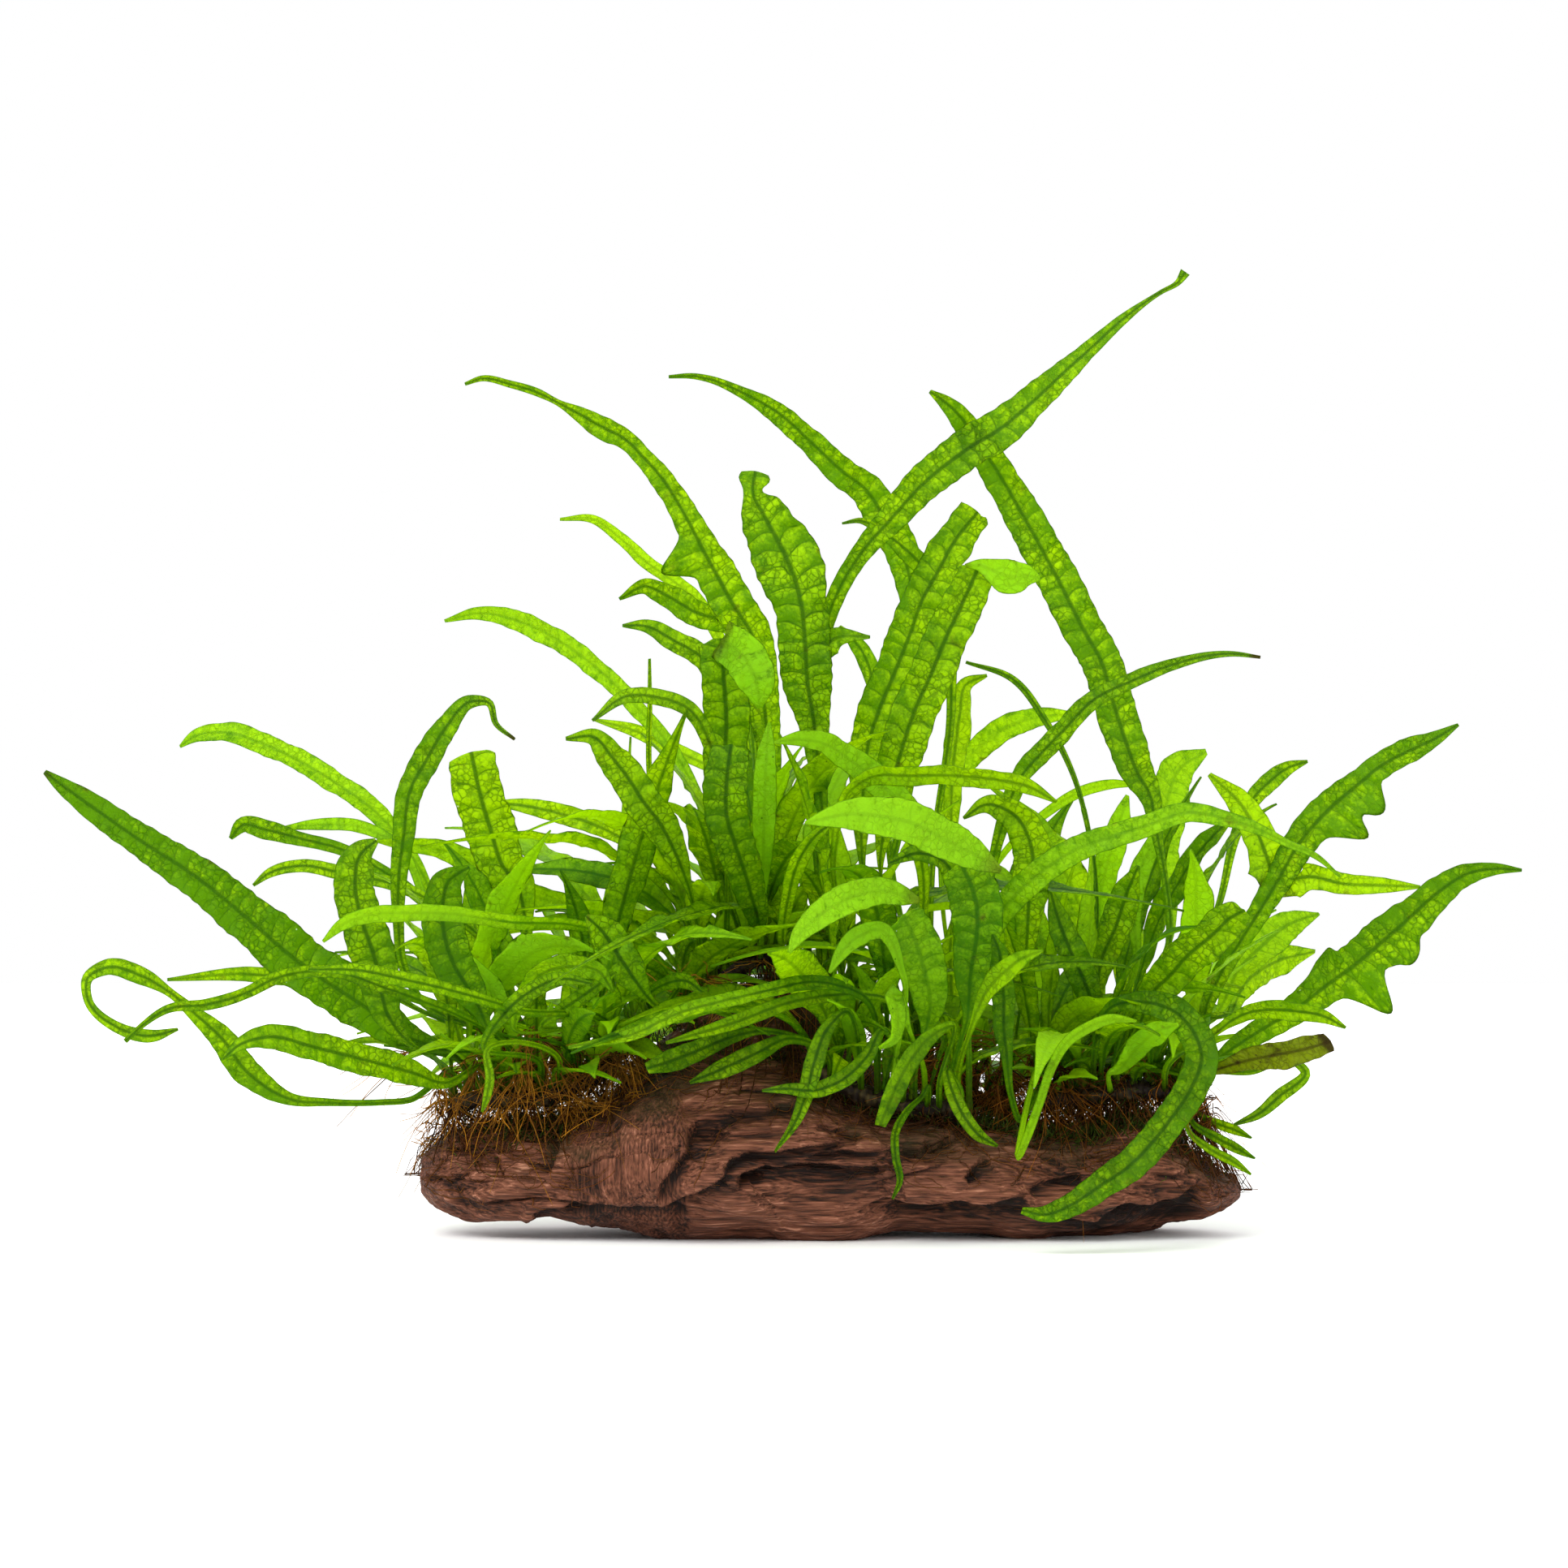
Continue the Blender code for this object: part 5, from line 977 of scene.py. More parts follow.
def frondShells(name, seed):
    # a frond and its lobes, and its folded tip where it has one
    _, _, _, _, rollBase, rollTip, seen, lobes = fronds[name]
    rows = frondLine(name)
    centre = fromView(rows[:, 0], rows[:, 1], rows[:, 3])
    wide, normal, cosRoll = bladeFrames(centre, rollBase, rollTip)
    half = halfWidths(rows, cosRoll)
    if name in widthFactors:
        half = half * np.interp(np.linspace(0, 1, len(half)), *np.array(widthFactors[name]).T)
    teeth, blades = [], []
    for number, lobe in enumerate(lobes):
        lobe = np.array(lobe, float)
        length = runOf(lobe[:, :2])[-1] * viewSettings["unit"]
        isFlap = seen[-1][2] > 30 and np.hypot(*(lobe[0, :2] - np.array(seen[-1][:2]))) < 30
        if isFlap and name in foldedTips:
            lobe = np.array(foldedTips[name], float)
        if length < toothLength and not isFlap:
            teeth.append(toothOf(rows, centre, wide, half, lobe))
        else:
            blades.append(lobeShell(rows, wide, half, lobe, isFlap, seed + 0.13 * (number + 1)))
    if name in folds:
        place, tip = folds[name]
        blades.append(foldShell(rows, np.array(tip, float), seed))
        keep = int(np.linalg.norm(rows[:, :2] - place, axis=1).argmin())
        centre, wide, normal, half = (table[:keep] for table in (centre, wide, normal, half))
    stalk = pointOnStem(fronds[name][0], fronds[name][1])
    foot = stalk + (centre[0] - stalk) * np.linspace(0, 1, 5)[:-1, None]
    centre = np.concatenate([foot, centre])
    wide, normal = (np.concatenate([table[[0] * 4], table]) for table in (wide, normal))
    half = np.concatenate([half[[0] * 4] * 1.25, half])
    teeth = [(row + 4, *rest) for row, *rest in teeth]
    wilt = wiltedTips.get(name, 0.0)
    pale = paleShares.get(name, (0.5 * seed - 0.35, 0.7 * seed - 0.35, 0.5))
    ragged = 0.2 if name in widthFactors or name in folds else None
    return [bladeShell(centre, wide, normal, half, seed, wilt, teeth, pale=pale, ragged=ragged)] + blades


def toothOf(rows, centre, wide, half, lobe):
    # a short side lobe as a pull on the margin: its row, its side, the pull, and its reach along the margin
    _, lateral, near = planeDepth(rows, wide, lobe[:, 0], lobe[:, 1])
    side = np.sign(lateral[-1])
    row = int(near[np.argmax(np.abs(lateral) > half[near] * 0.7)])
    margin = centre[row] + wide[row] * side * half[row]
    tip = fromView(lobe[-1, 0], lobe[-1, 1], margin[1] - 1.5)
    reach = max(lobe[0, 2] * viewSettings["unit"] * 1.05, 3.4)
    return row, side, tip - margin, reach


def lobeShell(rows, wide, half, lobe, isFlap, seed):
    # a long side lobe or a folded tip as a blade of its own, starting at the margin or at the fold
    length = runOf(lobe[:, :2])[-1] * viewSettings["unit"]
    count = max(int(length / bladeSettings["rowStep"]), 16)
    fine = evenlyAlong(lobe, count)
    depth, lateral, near = planeDepth(rows, wide, fine[:, 0], fine[:, 1])
    along = np.linspace(0, 1, count)
    first = int(np.argmax(np.abs(lateral) > half[near] * 0.9))
    if isFlap:
        depth = rows[-1, 3] - 5.0 * np.sin(np.pi * np.clip(along * 0.75, 0, 1)) - 0.6
    else:
        depth = depth[first] + (depth - depth[first]) * 0.5 - 3.0 * np.clip(along - along[first], 0, 1)
    lobeRows = np.column_stack([fine, depth])
    centre = fromView(lobeRows[:, 0], lobeRows[:, 1], lobeRows[:, 3])
    lobeWide, normal, cosRoll = bladeFrames(centre, 14, -12)
    width = halfWidths(lobeRows, cosRoll)
    starts = None
    if not isFlap:
        run = runOf(centre)
        width = width * (1 + 0.55 * np.exp(-np.abs(run - run[first]) / 2.4))
        across = np.linspace(-1, 1, 9)
        edge = centre[:, None] + lobeWide[:, None] * (width[:, None] * across)[..., None]
        seenAt = np.array([toView(point) for point in edge.reshape(-1, 3)])
        _, beside, near = planeDepth(rows, wide, *seenAt.T)
        outside = (np.abs(beside) > half[near] * 0.86).reshape(count, 9)
        starts = (across, np.where(outside.any(axis=0), outside.argmax(axis=0), first).clip(0, count - 8))
    return bladeShell(centre, lobeWide, normal, width, seed, 0.3, pale=(1.0, 1.0, 0.5) if isFlap else (0, 0.2, 0.5),
                      starts=starts)


def growFrond(stem, place, heading, length, width, climb, droop, roll, seed, wilt=0.0):
    # a frond that isn't drawn: it leaves its stem steeply and bends over under its weight.
    # out = length (a t + b t^2) along the heading, up = length (c t - d t^2)
    t = np.linspace(0, 1, max(int(length / 2.2), 14))
    base = pointOnStem(stem, place)
    out = length * (0.25 * (1 - climb) * t + (0.55 * (1 - climb) + 0.45 * droop) * t**2)
    up = length * ((0.45 + 0.75 * climb) * t - (0.12 + 0.55 * droop) * t**2.2)
    sway = length * 0.06 * np.sin(2.4 * t + seed * 20) * t
    heading = np.radians(heading)
    plan = np.array([np.cos(heading), np.sin(heading), 0.0])
    beside = np.array([-np.sin(heading), np.cos(heading), 0.0])
    centre = base + plan * out[:, None] + beside * sway[:, None] + np.array([0, 0, 1.0]) * up[:, None]
    tangent = np.gradient(centre, axis=0)
    tangent /= np.linalg.norm(tangent, axis=1, keepdims=True)
    across = beside - tangent * (tangent @ beside)[:, None]
    across /= np.linalg.norm(across, axis=1, keepdims=True)
    off = np.cross(tangent, across)
    turn = np.radians(roll * np.linspace(0.4, 1, len(t)) + 14 * np.sin(3 * t + seed * 9))[:, None]
    wide = across * np.cos(turn) + off * np.sin(turn)
    normal = off * np.cos(turn) - across * np.sin(turn)
    body = smoothStep(t, 0.16, 0.5) * (1 - smoothStep(t, 0.62, 1.0) ** 1.2)
    half = 0.55 + (width / 2 - 0.55) * body
    half[-1] = 0.25
    return centre, wide, normal, half


# small fronds that the solids leave out: some are drawn, the rest fill the plant from all sides

smallFronds = {
    "small_left_up": ("left_back", 0.20, 20, 34, 30, 10,
                      [(530, 1130, 8), (488, 1040, 12), (440, 1018, 16), (390, 1016, 14), (345, 1021, 4)]),
    "small_left_low": ("left", 0.90, -30, -44, 30, -20,
                       [(668, 1262, 8), (690, 1246, 16), (720, 1226, 20), (745, 1208, 14), (759, 1198, 4)]),
    "small_crown_low": ("crown", 0.02, -30, -46, 20, 30,
                        [(790, 1232, 8), (815, 1214, 16), (845, 1208, 20), (866, 1222, 5)]),
    "small_crown_far": ("crown", 0.45, 40, 58, 35, 20,
                        [(940, 1000, 8), (900, 960, 12), (839, 928, 18), (780, 900, 16), (733, 887, 4)]),
    "small_spike": ("crown", 0.10, 16, 10, 10, 60,
                    [(830, 1100, 7), (806, 1010, 7), (799, 941, 7), (800, 870, 6), (800, 812, 3)]),
    "small_right_thin": ("right", 0.20, 14, 24, 30, 30,
                         [(1350, 1150, 6), (1338, 1010, 6), (1325, 963, 7), (1290, 892, 9), (1246, 836, 9),
                          (1190, 816, 4)]),
    "small_front_left": ("front_middle", 0.62, -40, -60, 30, 20,
                         [(1092, 1232, 8), (1050, 1226, 14), (980, 1234, 18), (900, 1262, 18), (821, 1285, 4)]),
    "small_front_curl": ("front_middle", 0.70, -46, -56, 30, -50,
                         [(1118, 1262, 8), (1110, 1240, 18), (1100, 1224, 22), (1106, 1252, 20), (1100, 1280, 14),
                          (1083, 1291, 5)]),
    "small_plantlet": ("right", 0.02, -54, -62, -20, 30,
                       [(1256, 1424, 9), (1266, 1399, 11), (1281, 1358, 11), (1296, 1314, 12), (1314, 1284, 14),
                        (1340, 1266, 15), (1370, 1255, 13), (1400, 1258, 4)]),
    "small_right_pale": ("right_back", 0.10, 10, 18, 20, 20,
                         [(1362, 1200, 9), (1355, 1112, 26), (1368, 1050, 34), (1380, 1010, 26), (1389, 980, 5)]),
    "small_right_pale_b": ("right_back", 0.30, 6, 10, -20, 20,
                           [(1400, 1190, 9), (1397, 1120, 20), (1405, 1070, 26), (1420, 1040, 20), (1434, 1003, 5)]),
    "small_right_level": ("middle_back", 0.80, 26, 44, 40, 10,
                          [(1230, 1060, 8), (1288, 1002, 12), (1330, 976, 14), (1370, 966, 12), (1403, 967, 4)]),
    "small_end_a": ("right", 1.00, -6, -12, 30, 20,
                    [(1476, 1372, 7), (1500, 1384, 12), (1522, 1392, 12), (1542, 1402, 3)]),
    "small_end_b": ("right", 0.99, -14, -26, -30, 20,
                    [(1470, 1384, 7), (1500, 1402, 12), (1526, 1416, 12), (1546, 1427, 3)]),
    "small_end_c": ("right", 0.97, -20, -34, 20, -20,
                    [(1466, 1396, 7), (1494, 1418, 11), (1520, 1432, 11), (1541, 1447, 3)]),
    "small_mid_a": ("middle_back", 0.55, -26, -52, 20, 30,
                    [(1190, 1170, 8), (1180, 1090, 20), (1160, 1060, 26), (1130, 1052, 22), (1096, 1064, 5)]),
    "small_mid_b": ("front_middle", 0.92, -44, -62, -30, -20,
                    [(1200, 1260, 8), (1216, 1222, 20), (1240, 1196, 26), (1262, 1180, 18), (1284, 1172, 4)]),
    "small_mid_c": ("crown", 0.62, -34, -52, 30, 20,
                    [(966, 1160, 8), (972, 1100, 18), (984, 1060, 22), (1004, 1030, 16), (1030, 1010, 4)]),
    "small_back_high": ("middle_back", 0.30, 40, 52, 30, 30,
                        [(1096, 1050, 8), (1090, 930, 14), (1078, 850, 22), (1060, 800, 22), (1034, 772, 5)]),
    "small_left_hang": ("left", 0.66, -44, -50, 20, 20,
                        [(600, 1296, 8), (604, 1330, 12), (600, 1352, 10), (594, 1370, 3)]),
    "small_left_mid": ("left", 0.55, -46, -62, 35, 10,
                       [(596, 1290, 8), (620, 1250, 18), (652, 1222, 22), (690, 1206, 18), (730, 1212, 4)]),
}

fillSettings = {
    # stem: how many, middle heading in degrees (90 is straight back), and how far headings stray
    "stems": {"left": (30, 230, 95), "left_back": (30, 110, 95), "crown": (44, 90, 180), "middle_back": (34, 70, 110),
              "front_middle": (20, 270, 80), "right": (30, 310, 95), "right_back": (30, 70, 95)},
    "coverTries": 2600, "freeTries": 1100, "length": (24, 112), "width": (3.8, 12.5), "columns": 9,
    "inside": 1.0, "overWood": 2.0, "frontLow": (-20.0, 40.0), "cell": 9, "newShare": 0.3, "seed": 4711,
    # the mass of the plant as it is seen from the front, in view units
    "mass": [(400, 1320), (405, 1230), (385, 1170), (425, 1120), (440, 1040), (470, 985), (560, 965), (640, 985),
             (705, 1000), (735, 955), (700, 905), (745, 850), (800, 868), (775, 800), (860, 770), (905, 765),
             (965, 770), (1010, 800), (1035, 765), (1090, 735), (1150, 700), (1200, 720), (1212, 800), (1235, 862),
             (1290, 880), (1350, 890), (1375, 975), (1430, 930), (1490, 925), (1500, 958), (1560, 985), (1600, 960),
             (1570, 1050), (1540, 1105), (1610, 1130), (1560, 1195), (1630, 1190), (1570, 1265), (1505, 1330),
             (1480, 1390), (1250, 1390), (1000, 1330), (820, 1330), (700, 1380), (560, 1380)],
}


def freeDepth(rows, half, others):
    # the shift in depth that brings a drawn small frond nearest to crossing nothing
    best = None
    for shift in (0, 5, -5, 10, -10, 15, -15, 20, -20):
        clash = 0
        for other in others:
            gap = np.linalg.norm(rows[8:, None, :2] - other["seen"][None, 6:], axis=2)
            meet = gap < (rows[8:, None, 2] + other["width"][None, 6:]) / 2
            apart = np.abs(rows[8:, None, 3] + shift - other["depth"][None, 6:])
            clash += (meet & (apart < half[8:, None] + other["half"][None, 6:] * 0.8)).sum()
        cost = clash + abs(shift) * 0.2
        if best is None or cost < best[0]:
            best = (cost, shift)
    return best[1]


def settleSmall():
    # adds the drawn small fronds to the table, each at a depth of its own
    at = np.linspace(0, 1, settleSettings["samples"])
    others = []
    for name in list(fronds):
        rows = frondTrace(name, settleSettings["samples"])
        rows[:, 3] = settled[name]
        others.append({"seen": rows[:, :2], "width": rows[:, 2], "depth": rows[:, 3],
                       "half": halfDepths(rows, *fronds[name][4:6])})
    for name, row in smallFronds.items():
        fronds[name] = (*row, [])
        rows = frondTrace(name, settleSettings["samples"])
        half = halfDepths(rows, *row[4:6])
        rows[:, 3] += freeDepth(rows, half, others) * smoothStep(at, 0.05, 0.5)
        settled[name] = rows[:, 3]
        others.append({"seen": rows[:, :2], "width": rows[:, 2], "depth": rows[:, 3], "half": half})


def insideOf(polygon, places):
    # whether each place is inside: a ray to the right crosses the sides an odd number of times
    corner = np.array(polygon, float)
    after = np.roll(corner, -1, axis=0)
    x, y = places[:, :1], places[:, 1:]
    spans = (corner[:, 1] > y) != (after[:, 1] > y)
    cross = (after[:, 0] - corner[:, 0]) * (y - corner[:, 1]) / (after[:, 1] - corner[:, 1] + 1e-9) + corner[:, 0]
    return ((x < cross) & spans).sum(axis=1) % 2 == 1


def cellsOf(seen, width):
    # the cells of the front view that a line of places covers, by its own width at each place
    cell = fillSettings["cell"]
    found = []
    for place, size in zip(seen, width):
        reach = max(int(size / 2 / cell), 0)
        steps = np.arange(-reach, reach + 1)
        around = np.stack(np.meshgrid(steps, steps), axis=-1).reshape(-1, 2)
        found.append((place // cell).astype(int) + around)
    return np.unique(np.concatenate(found) @ (1000, 1))


def fillPlant():
    # grows seeded fronds from every stem. The first ones are kept where they cover a bare part of the plant as
    # it is seen from the front, the later ones anywhere, and none where it would leave the plant or cross much
    s = fillSettings
    rng = np.random.default_rng(s["seed"])
    low, high = np.array(cadLow) * 1000 + s["inside"], np.array(cadHigh) * 1000 - s["inside"]
    points, widths, covered = [], [], set()
    for name in fronds:
        rows = frondTrace(name, settleSettings["samples"])
        rows[:, 3] = settled[name]
        points.append(fromView(rows[:, 0], rows[:, 1], rows[:, 3])[5:])
        widths.append(rows[5:, 2] * viewSettings["unit"] / 2)
        fine = evenlyAlong(rows, 60)
        covered.update(cellsOf(fine[:, :2], fine[:, 2]).tolist())
    points, widths = np.concatenate(points), np.concatenate(widths)
    names = list(s["stems"])
    share = np.array([s["stems"][name][0] for name in names], float)
    grown = []
    for number in range(s["coverTries"] + s["freeTries"]):
        stem = names[rng.choice(len(names), p=share / share.sum())]
        _, middle, stray = s["stems"][stem]
        size = rng.random() ** (1.0 if number < s["coverTries"] else 1.6)
        length = np.interp(size, (0, 1), s["length"])
        width = np.interp(size * 0.6 + rng.random() * 0.4, (0, 1), s["width"])
        heading, climb, droop = middle + stray * rng.uniform(-1, 1), rng.uniform(0.1, 1), rng.uniform(0, 1)
        place, roll, seed = rng.random(), rng.uniform(-45, 45), rng.random()
        blade = growFrond(stem, place, heading, length, width, climb, droop, roll, seed)
        line, half = blade[0][3::2], blade[3][3::2]
        if (line < low).any() or (line > high).any():
            continue
        overLog = (np.abs(line[:, 0]) < 100) & (np.abs(line[:, 1]) < 32)
        top = np.where(overLog, woodTop(line[:, 0], line[:, 1]), 3.0)
        frontY, frontZ = s["frontLow"]
        if (line[:, 2] < top + s["overWood"] + half * 0.5).any() or ((line[:, 1] < frontY)
                                                                    & (line[:, 2] < frontZ)).any():
            continue
        seen = np.stack(toViewArrays(line), axis=1)
        if not insideOf(s["mass"], seen).all():
            continue
        cells = set(cellsOf(seen, half / viewSettings["unit"] * 1.4).tolist())
        if number < s["coverTries"] and len(cells - covered) < s["newShare"] * len(cells):
            continue
        near = np.linalg.norm(line[:, None] - points[None], axis=2)
        crowded = near < (half[:, None] + widths[None]) * 0.5 + 0.4
        if crowded.any(axis=1).sum() > 1:
            continue
        grown.append((blade, seed))
        covered |= cells
        points, widths = np.concatenate([points, line]), np.concatenate([widths, half])
    return grown


wiltedTips = {
    "frond_left_long": 0.6, "frond_left_hook": 0.5, "frond_right_slim": 0.7, "frond_right_lobed": 0.3,
    "frond_right_reach": 0.3, "frond_top_long": 0.2, "frond_right_tall": 0.3, "frond_crown_left": 0.4,
    "frond_crown_low": 0.3, "frond_crown_side": 0.3, "frond_right_brown": 0.8, "frond_top_drooping": 0.3,
    "frond_crown_tall": 0.3, "frond_left_fan": 0.3, "frond_back_slim": 0.2,
    "young_middle_up": 0.4, "frond_top_spike": 0.2, "frond_crown_arch": 0.4, "young_right_low": 0.3,
}

paleFronds = ("frond_front_pale", "frond_front_bent", "frond_left_pale", "frond_front_arching",
              "frond_back_pale", "frond_left_far", "frond_back_left", "frond_back_right")


def pieceName(name):
    # frond_left_long becomes frondLeftLong
    first, *rest = name.split("_")
    return first + "".join(word.capitalize() for word in rest)


def makeFronds(materials):
    for number, name in enumerate(fronds):
        if isYoung(name) or name.startswith("small"):
            continue
        slot = "frond_pale" if name in paleFronds else "frond_green"
        slot = "frond_brown" if name == "frond_right_brown" else slot
        shells = frondShells(name, (number * 0.618034) % 1)
        makePiece(pieceName(name), shells, materials[slot], [name])
    for stem in stems:
        shells = [frondShells(name, (number * 0.618034) % 1)
                  for number, name in enumerate(fronds) if fronds[name][0] == stem and isYoung(name)]
        shells = [part for group in shells for part in group]
        if shells:
            makePiece(pieceName("young_" + stem), shells, materials["frond_green"],
                      ["rhizome_" + stem])
    small = [frondShells(name, (number * 0.618034) % 1)
             for number, name in enumerate(fronds) if name.startswith("small")]
    makePiece("smallFronds", [part for group in small for part in group], materials["frond_green"])
    grown = fillPlant()
    print("fill fronds:", len(grown))
    for letter, slot in zip("ABCD", ("frond_green", "frond_green", "frond_pale", "frond_green")):
        shells = [bladeShell(*blade, seed, 0.4 * (seed > 0.7), columns=fillSettings["columns"], ragged=0,
                             pale=(1.1 * seed - 0.45, 1.5 * seed - 0.45, 0.5))
                  for blade, seed in grown["ABCD".index(letter)::4]]
        makePiece("fillFronds" + letter, shells, materials[slot])


# the driftwood

def woodBase():
    # the smooth skin of the wood: rounded sections along it, closed over both ends
    s = woodSettings
    sweep = np.linspace(-np.pi / 2, np.pi / 2, 3000)
    power = 2 / s["bluntness"]
    along = np.sign(np.sin(sweep)) * np.abs(np.sin(sweep)) ** power
    shrink = np.abs(np.cos(sweep)) ** power
    run = runOf(np.stack([along * 100, shrink * 24], axis=1))
    wanted = np.linspace(run[-1] * 0.004, run[-1] * 0.996, s["rows"])
    along, shrink = np.interp(wanted, run, along), np.interp(wanted, run, shrink)
    x = (s["left"] + s["right"]) / 2 + along * (s["right"] - s["left"]) / 2
    table = np.array(s["skin"], float)
    top, under, deep = smoothRows(table[:, 1:], table[:, 0], np.clip(x, table[0, 0], table[-1, 0])).T
    angle = np.arange(s["around"]) * 2 * np.pi / s["around"]
    angle = angle + 0.36 * np.sin(angle)    # the front, turned to the eye, gets more columns
    bend = 2 / s["roundness"]
    across = np.sign(np.cos(angle)) * np.abs(np.cos(angle)) ** bend
    up = np.sign(np.sin(angle)) * np.abs(np.sin(angle)) ** bend
    grain = (0.9 * np.sin(3 * angle + 0.05 * x[:, None]) + 0.7 * np.sin(5 * angle - 0.09 * x[:, None] + 1)
             + 0.5 * np.sin(2 * angle + 0.21 * x[:, None])) * shrink[:, None]
    y = across * ((deep * shrink)[:, None] + grain)
    z = ((top + under) / 2)[:, None] + up * (((top - under) / 2 * shrink)[:, None] + grain)
    z = z + knob(x[:, None], y) * np.clip(up * 1.4, 0, 1)
    return np.stack([np.broadcast_to(x[:, None], y.shape), y, z], axis=-1)


def outwardOf(skin):
    # unit directions off a closed grid, from its two neighbour differences
    along = np.gradient(skin, axis=0)
    around = (np.roll(skin, -1, axis=1) - np.roll(skin, 1, axis=1)) / 2
    out = np.cross(around, along)
    return out / (np.linalg.norm(out, axis=-1, keepdims=True) + 1e-9)


def stretched(points, longWay, shortWay):
    # points in grain space, long along the wood and short across it
    return points / np.array([longWay, shortWay, shortWay])


def carveWood():
    # the skin moved along its own directions: lumps, strands that run along it, fibres, cracks, hollows, and
    # the drawn edges on the front. Also the relief, which the material paints as shade in the cracks, hollows and
    # creases and as a little light on raised strands, the moss and the upright grain as values for the material
    s = woodSettings
    skin = woodBase()
    out = outwardOf(skin)
    bent = skin + 5.0 * np.stack([0 * skin[..., 0], softNoise(skin / (34, 22, 22), 41),
                                  softNoise(skin / (34, 22, 22), 47)], axis=-1)
    lumps = layeredNoise(skin / (30, 17, 15), 2, 3)
    strands = 1 - 2 * np.abs(layeredNoise(bent / (46, 6.0, 6.0), 2, 11))
    fibres = layeredNoise(bent / (17, 1.5, 1.5), 2, 19)
    crackLine = np.abs(layeredNoise(bent / (58, 8.5, 8.5), 2, 29))
    front = smoothStep(-skin[..., 1], 4, 12)
    cracks = (1 - smoothStep(crackLine, 0.0, 0.085)) * smoothStep(softNoise(skin / (22, 14, 14), 31), -0.1, 0.4)
    cracks = cracks * (1 - 0.65 * front)
    hollows = smoothStep(layeredNoise(skin / (26, 9, 8), 2, 37), 0.42, 0.95) * (1 - 0.8 * front)
    seen = np.stack(toViewArrays(skin), axis=-1)
    flat = 0 * seen[..., 1]
    wobble = 7 * softNoise(np.stack([seen[..., 1] / 26, flat, flat], axis=-1), 51)
    flake = (smoothStep(seen[..., 0], 690 + wobble, 724 + wobble)
             * (1 - smoothStep(seen[..., 0], 838 + wobble, 852 + wobble)) * front)
    upright = layeredNoise(bent / (2.0, 2.0, 22), 2, 61)
    for across, down, wide, tall, deep in woodMarks:
        mark = ((seen[..., 0] - across) / wide) ** 2 + ((seen[..., 1] - down) / tall) ** 2
        hollows = hollows + np.exp(-mark**1.5) * deep * front
    jitter = 3.2 * np.stack([softNoise(skin / 3.1, 81), softNoise(skin / 3.1, 87)], axis=-1)
    edges, creaseShade = edgeRelief(seen + jitter)
    fibreHeight = fibres * (1 - flake) + upright * 1.1 * flake
    strandHeight = strands * (1 - 0.7 * flake) * (1 - 0.35 * front) + 0.1 * flake
    ends = smoothStep(np.abs(skin[..., 0]), 88, 100)
    height = (s["lumps"] * lumps + s["strands"] * strandHeight * 0.6 + s["fibres"] * fibreHeight
              - s["cracks"] * cracks - s["hollows"] * hollows + s["flake"] * flake + edges * front)
    height = np.clip(height * (1 - 0.35 * ends), -7.5, 3.2)
    carved = skin + out * height[..., None]
    carved[..., 0] = np.clip(carved[..., 0], s["left"] - 2.5, s["right"] + 2.5)
    carved[..., 2] = np.maximum(carved[..., 2], 0)
    # relief for the colour: the grain's height, with painted shade in the cracks, hollows and the creases under the
    # drawn edges, and painted light on the raised sides of those edges
    relief = np.clip(0.4 * strandHeight + 0.5 * fibreHeight - 1.1 * cracks - 0.9 * hollows + 0.25 * lumps
                     - 1.3 * creaseShade * front + 0.16 * edges * front, -1, 1)
    crest = smoothStep(out[..., 2], 0.3, 0.9)
    patches = smoothStep(layeredNoise(skin / 11.0, 3, 71), -0.25, 0.55)
    mossy = crest * patches + 0.8 * smoothStep(skin[..., 2], 40, 52) * patches
    leftTop = np.exp(-((seen[..., 0] - 640) / 60) ** 2 - ((seen[..., 1] - 1405) / 34) ** 2)
    mossy = np.clip(mossy + leftTop * 1.1 * patches, 0, 1)
    layers = np.stack([relief, mossy, flake], axis=-1)
    return carved, out, layers


def toViewArrays(points):
    # across and down in the front view for arrays of points
    spread = viewSettings["unit"] * (viewSettings["distance"] + points[..., 1]) / viewSettings["distance"]
    return (viewSettings["centre"] + (points[..., 0] - viewSettings["x"]) / spread,
            viewSettings["centre"] - (points[..., 2] - viewSettings["z"]) / spread)


# dents in the front of the wood: across, down, half width, half height, how deep
woodMarks = [(872, 1394, 20, 13, 0.9), (925, 1454, 16, 9, 1.3), (1047, 1397, 15, 8, 0.7), (1196, 1448, 12, 13, 0.25),
             (1311, 1457, 24, 7, 0.25), (640, 1478, 30, 5, 0.4), (1180, 1496, 90, 9, 0.9), (1420, 1498, 60, 12, 0.9),
             (700, 1493, 38, 5, 0.8), (1330, 1500, 60, 8, 0.4)]


def makeWood(material):
    rows, around = carvedSkin.shape[:2]
    points = carvedSkin.reshape(-1, 3)
    layer = woodLayers.reshape(-1, 3)
    ends = np.stack([carvedSkin[0].mean(axis=0), carvedSkin[-1].mean(axis=0)])
    points = np.concatenate([points, ends])
    layer = np.concatenate([layer, layer[[0, -1]]])
    step = np.arange(around)
    after = (step + 1) % around
    first = np.stack([after, step, np.full(around, rows * around)], axis=1)
    last = np.stack([step, after, np.full(around, rows * around + 1)], axis=1)
    last[:, :2] += (rows - 1) * around
    wood = shell(points, ringFaces(rows, around), np.concatenate([first, last]), {"woodPlace": layer})
    makePiece("wood", [wood], material, ["driftwood"])


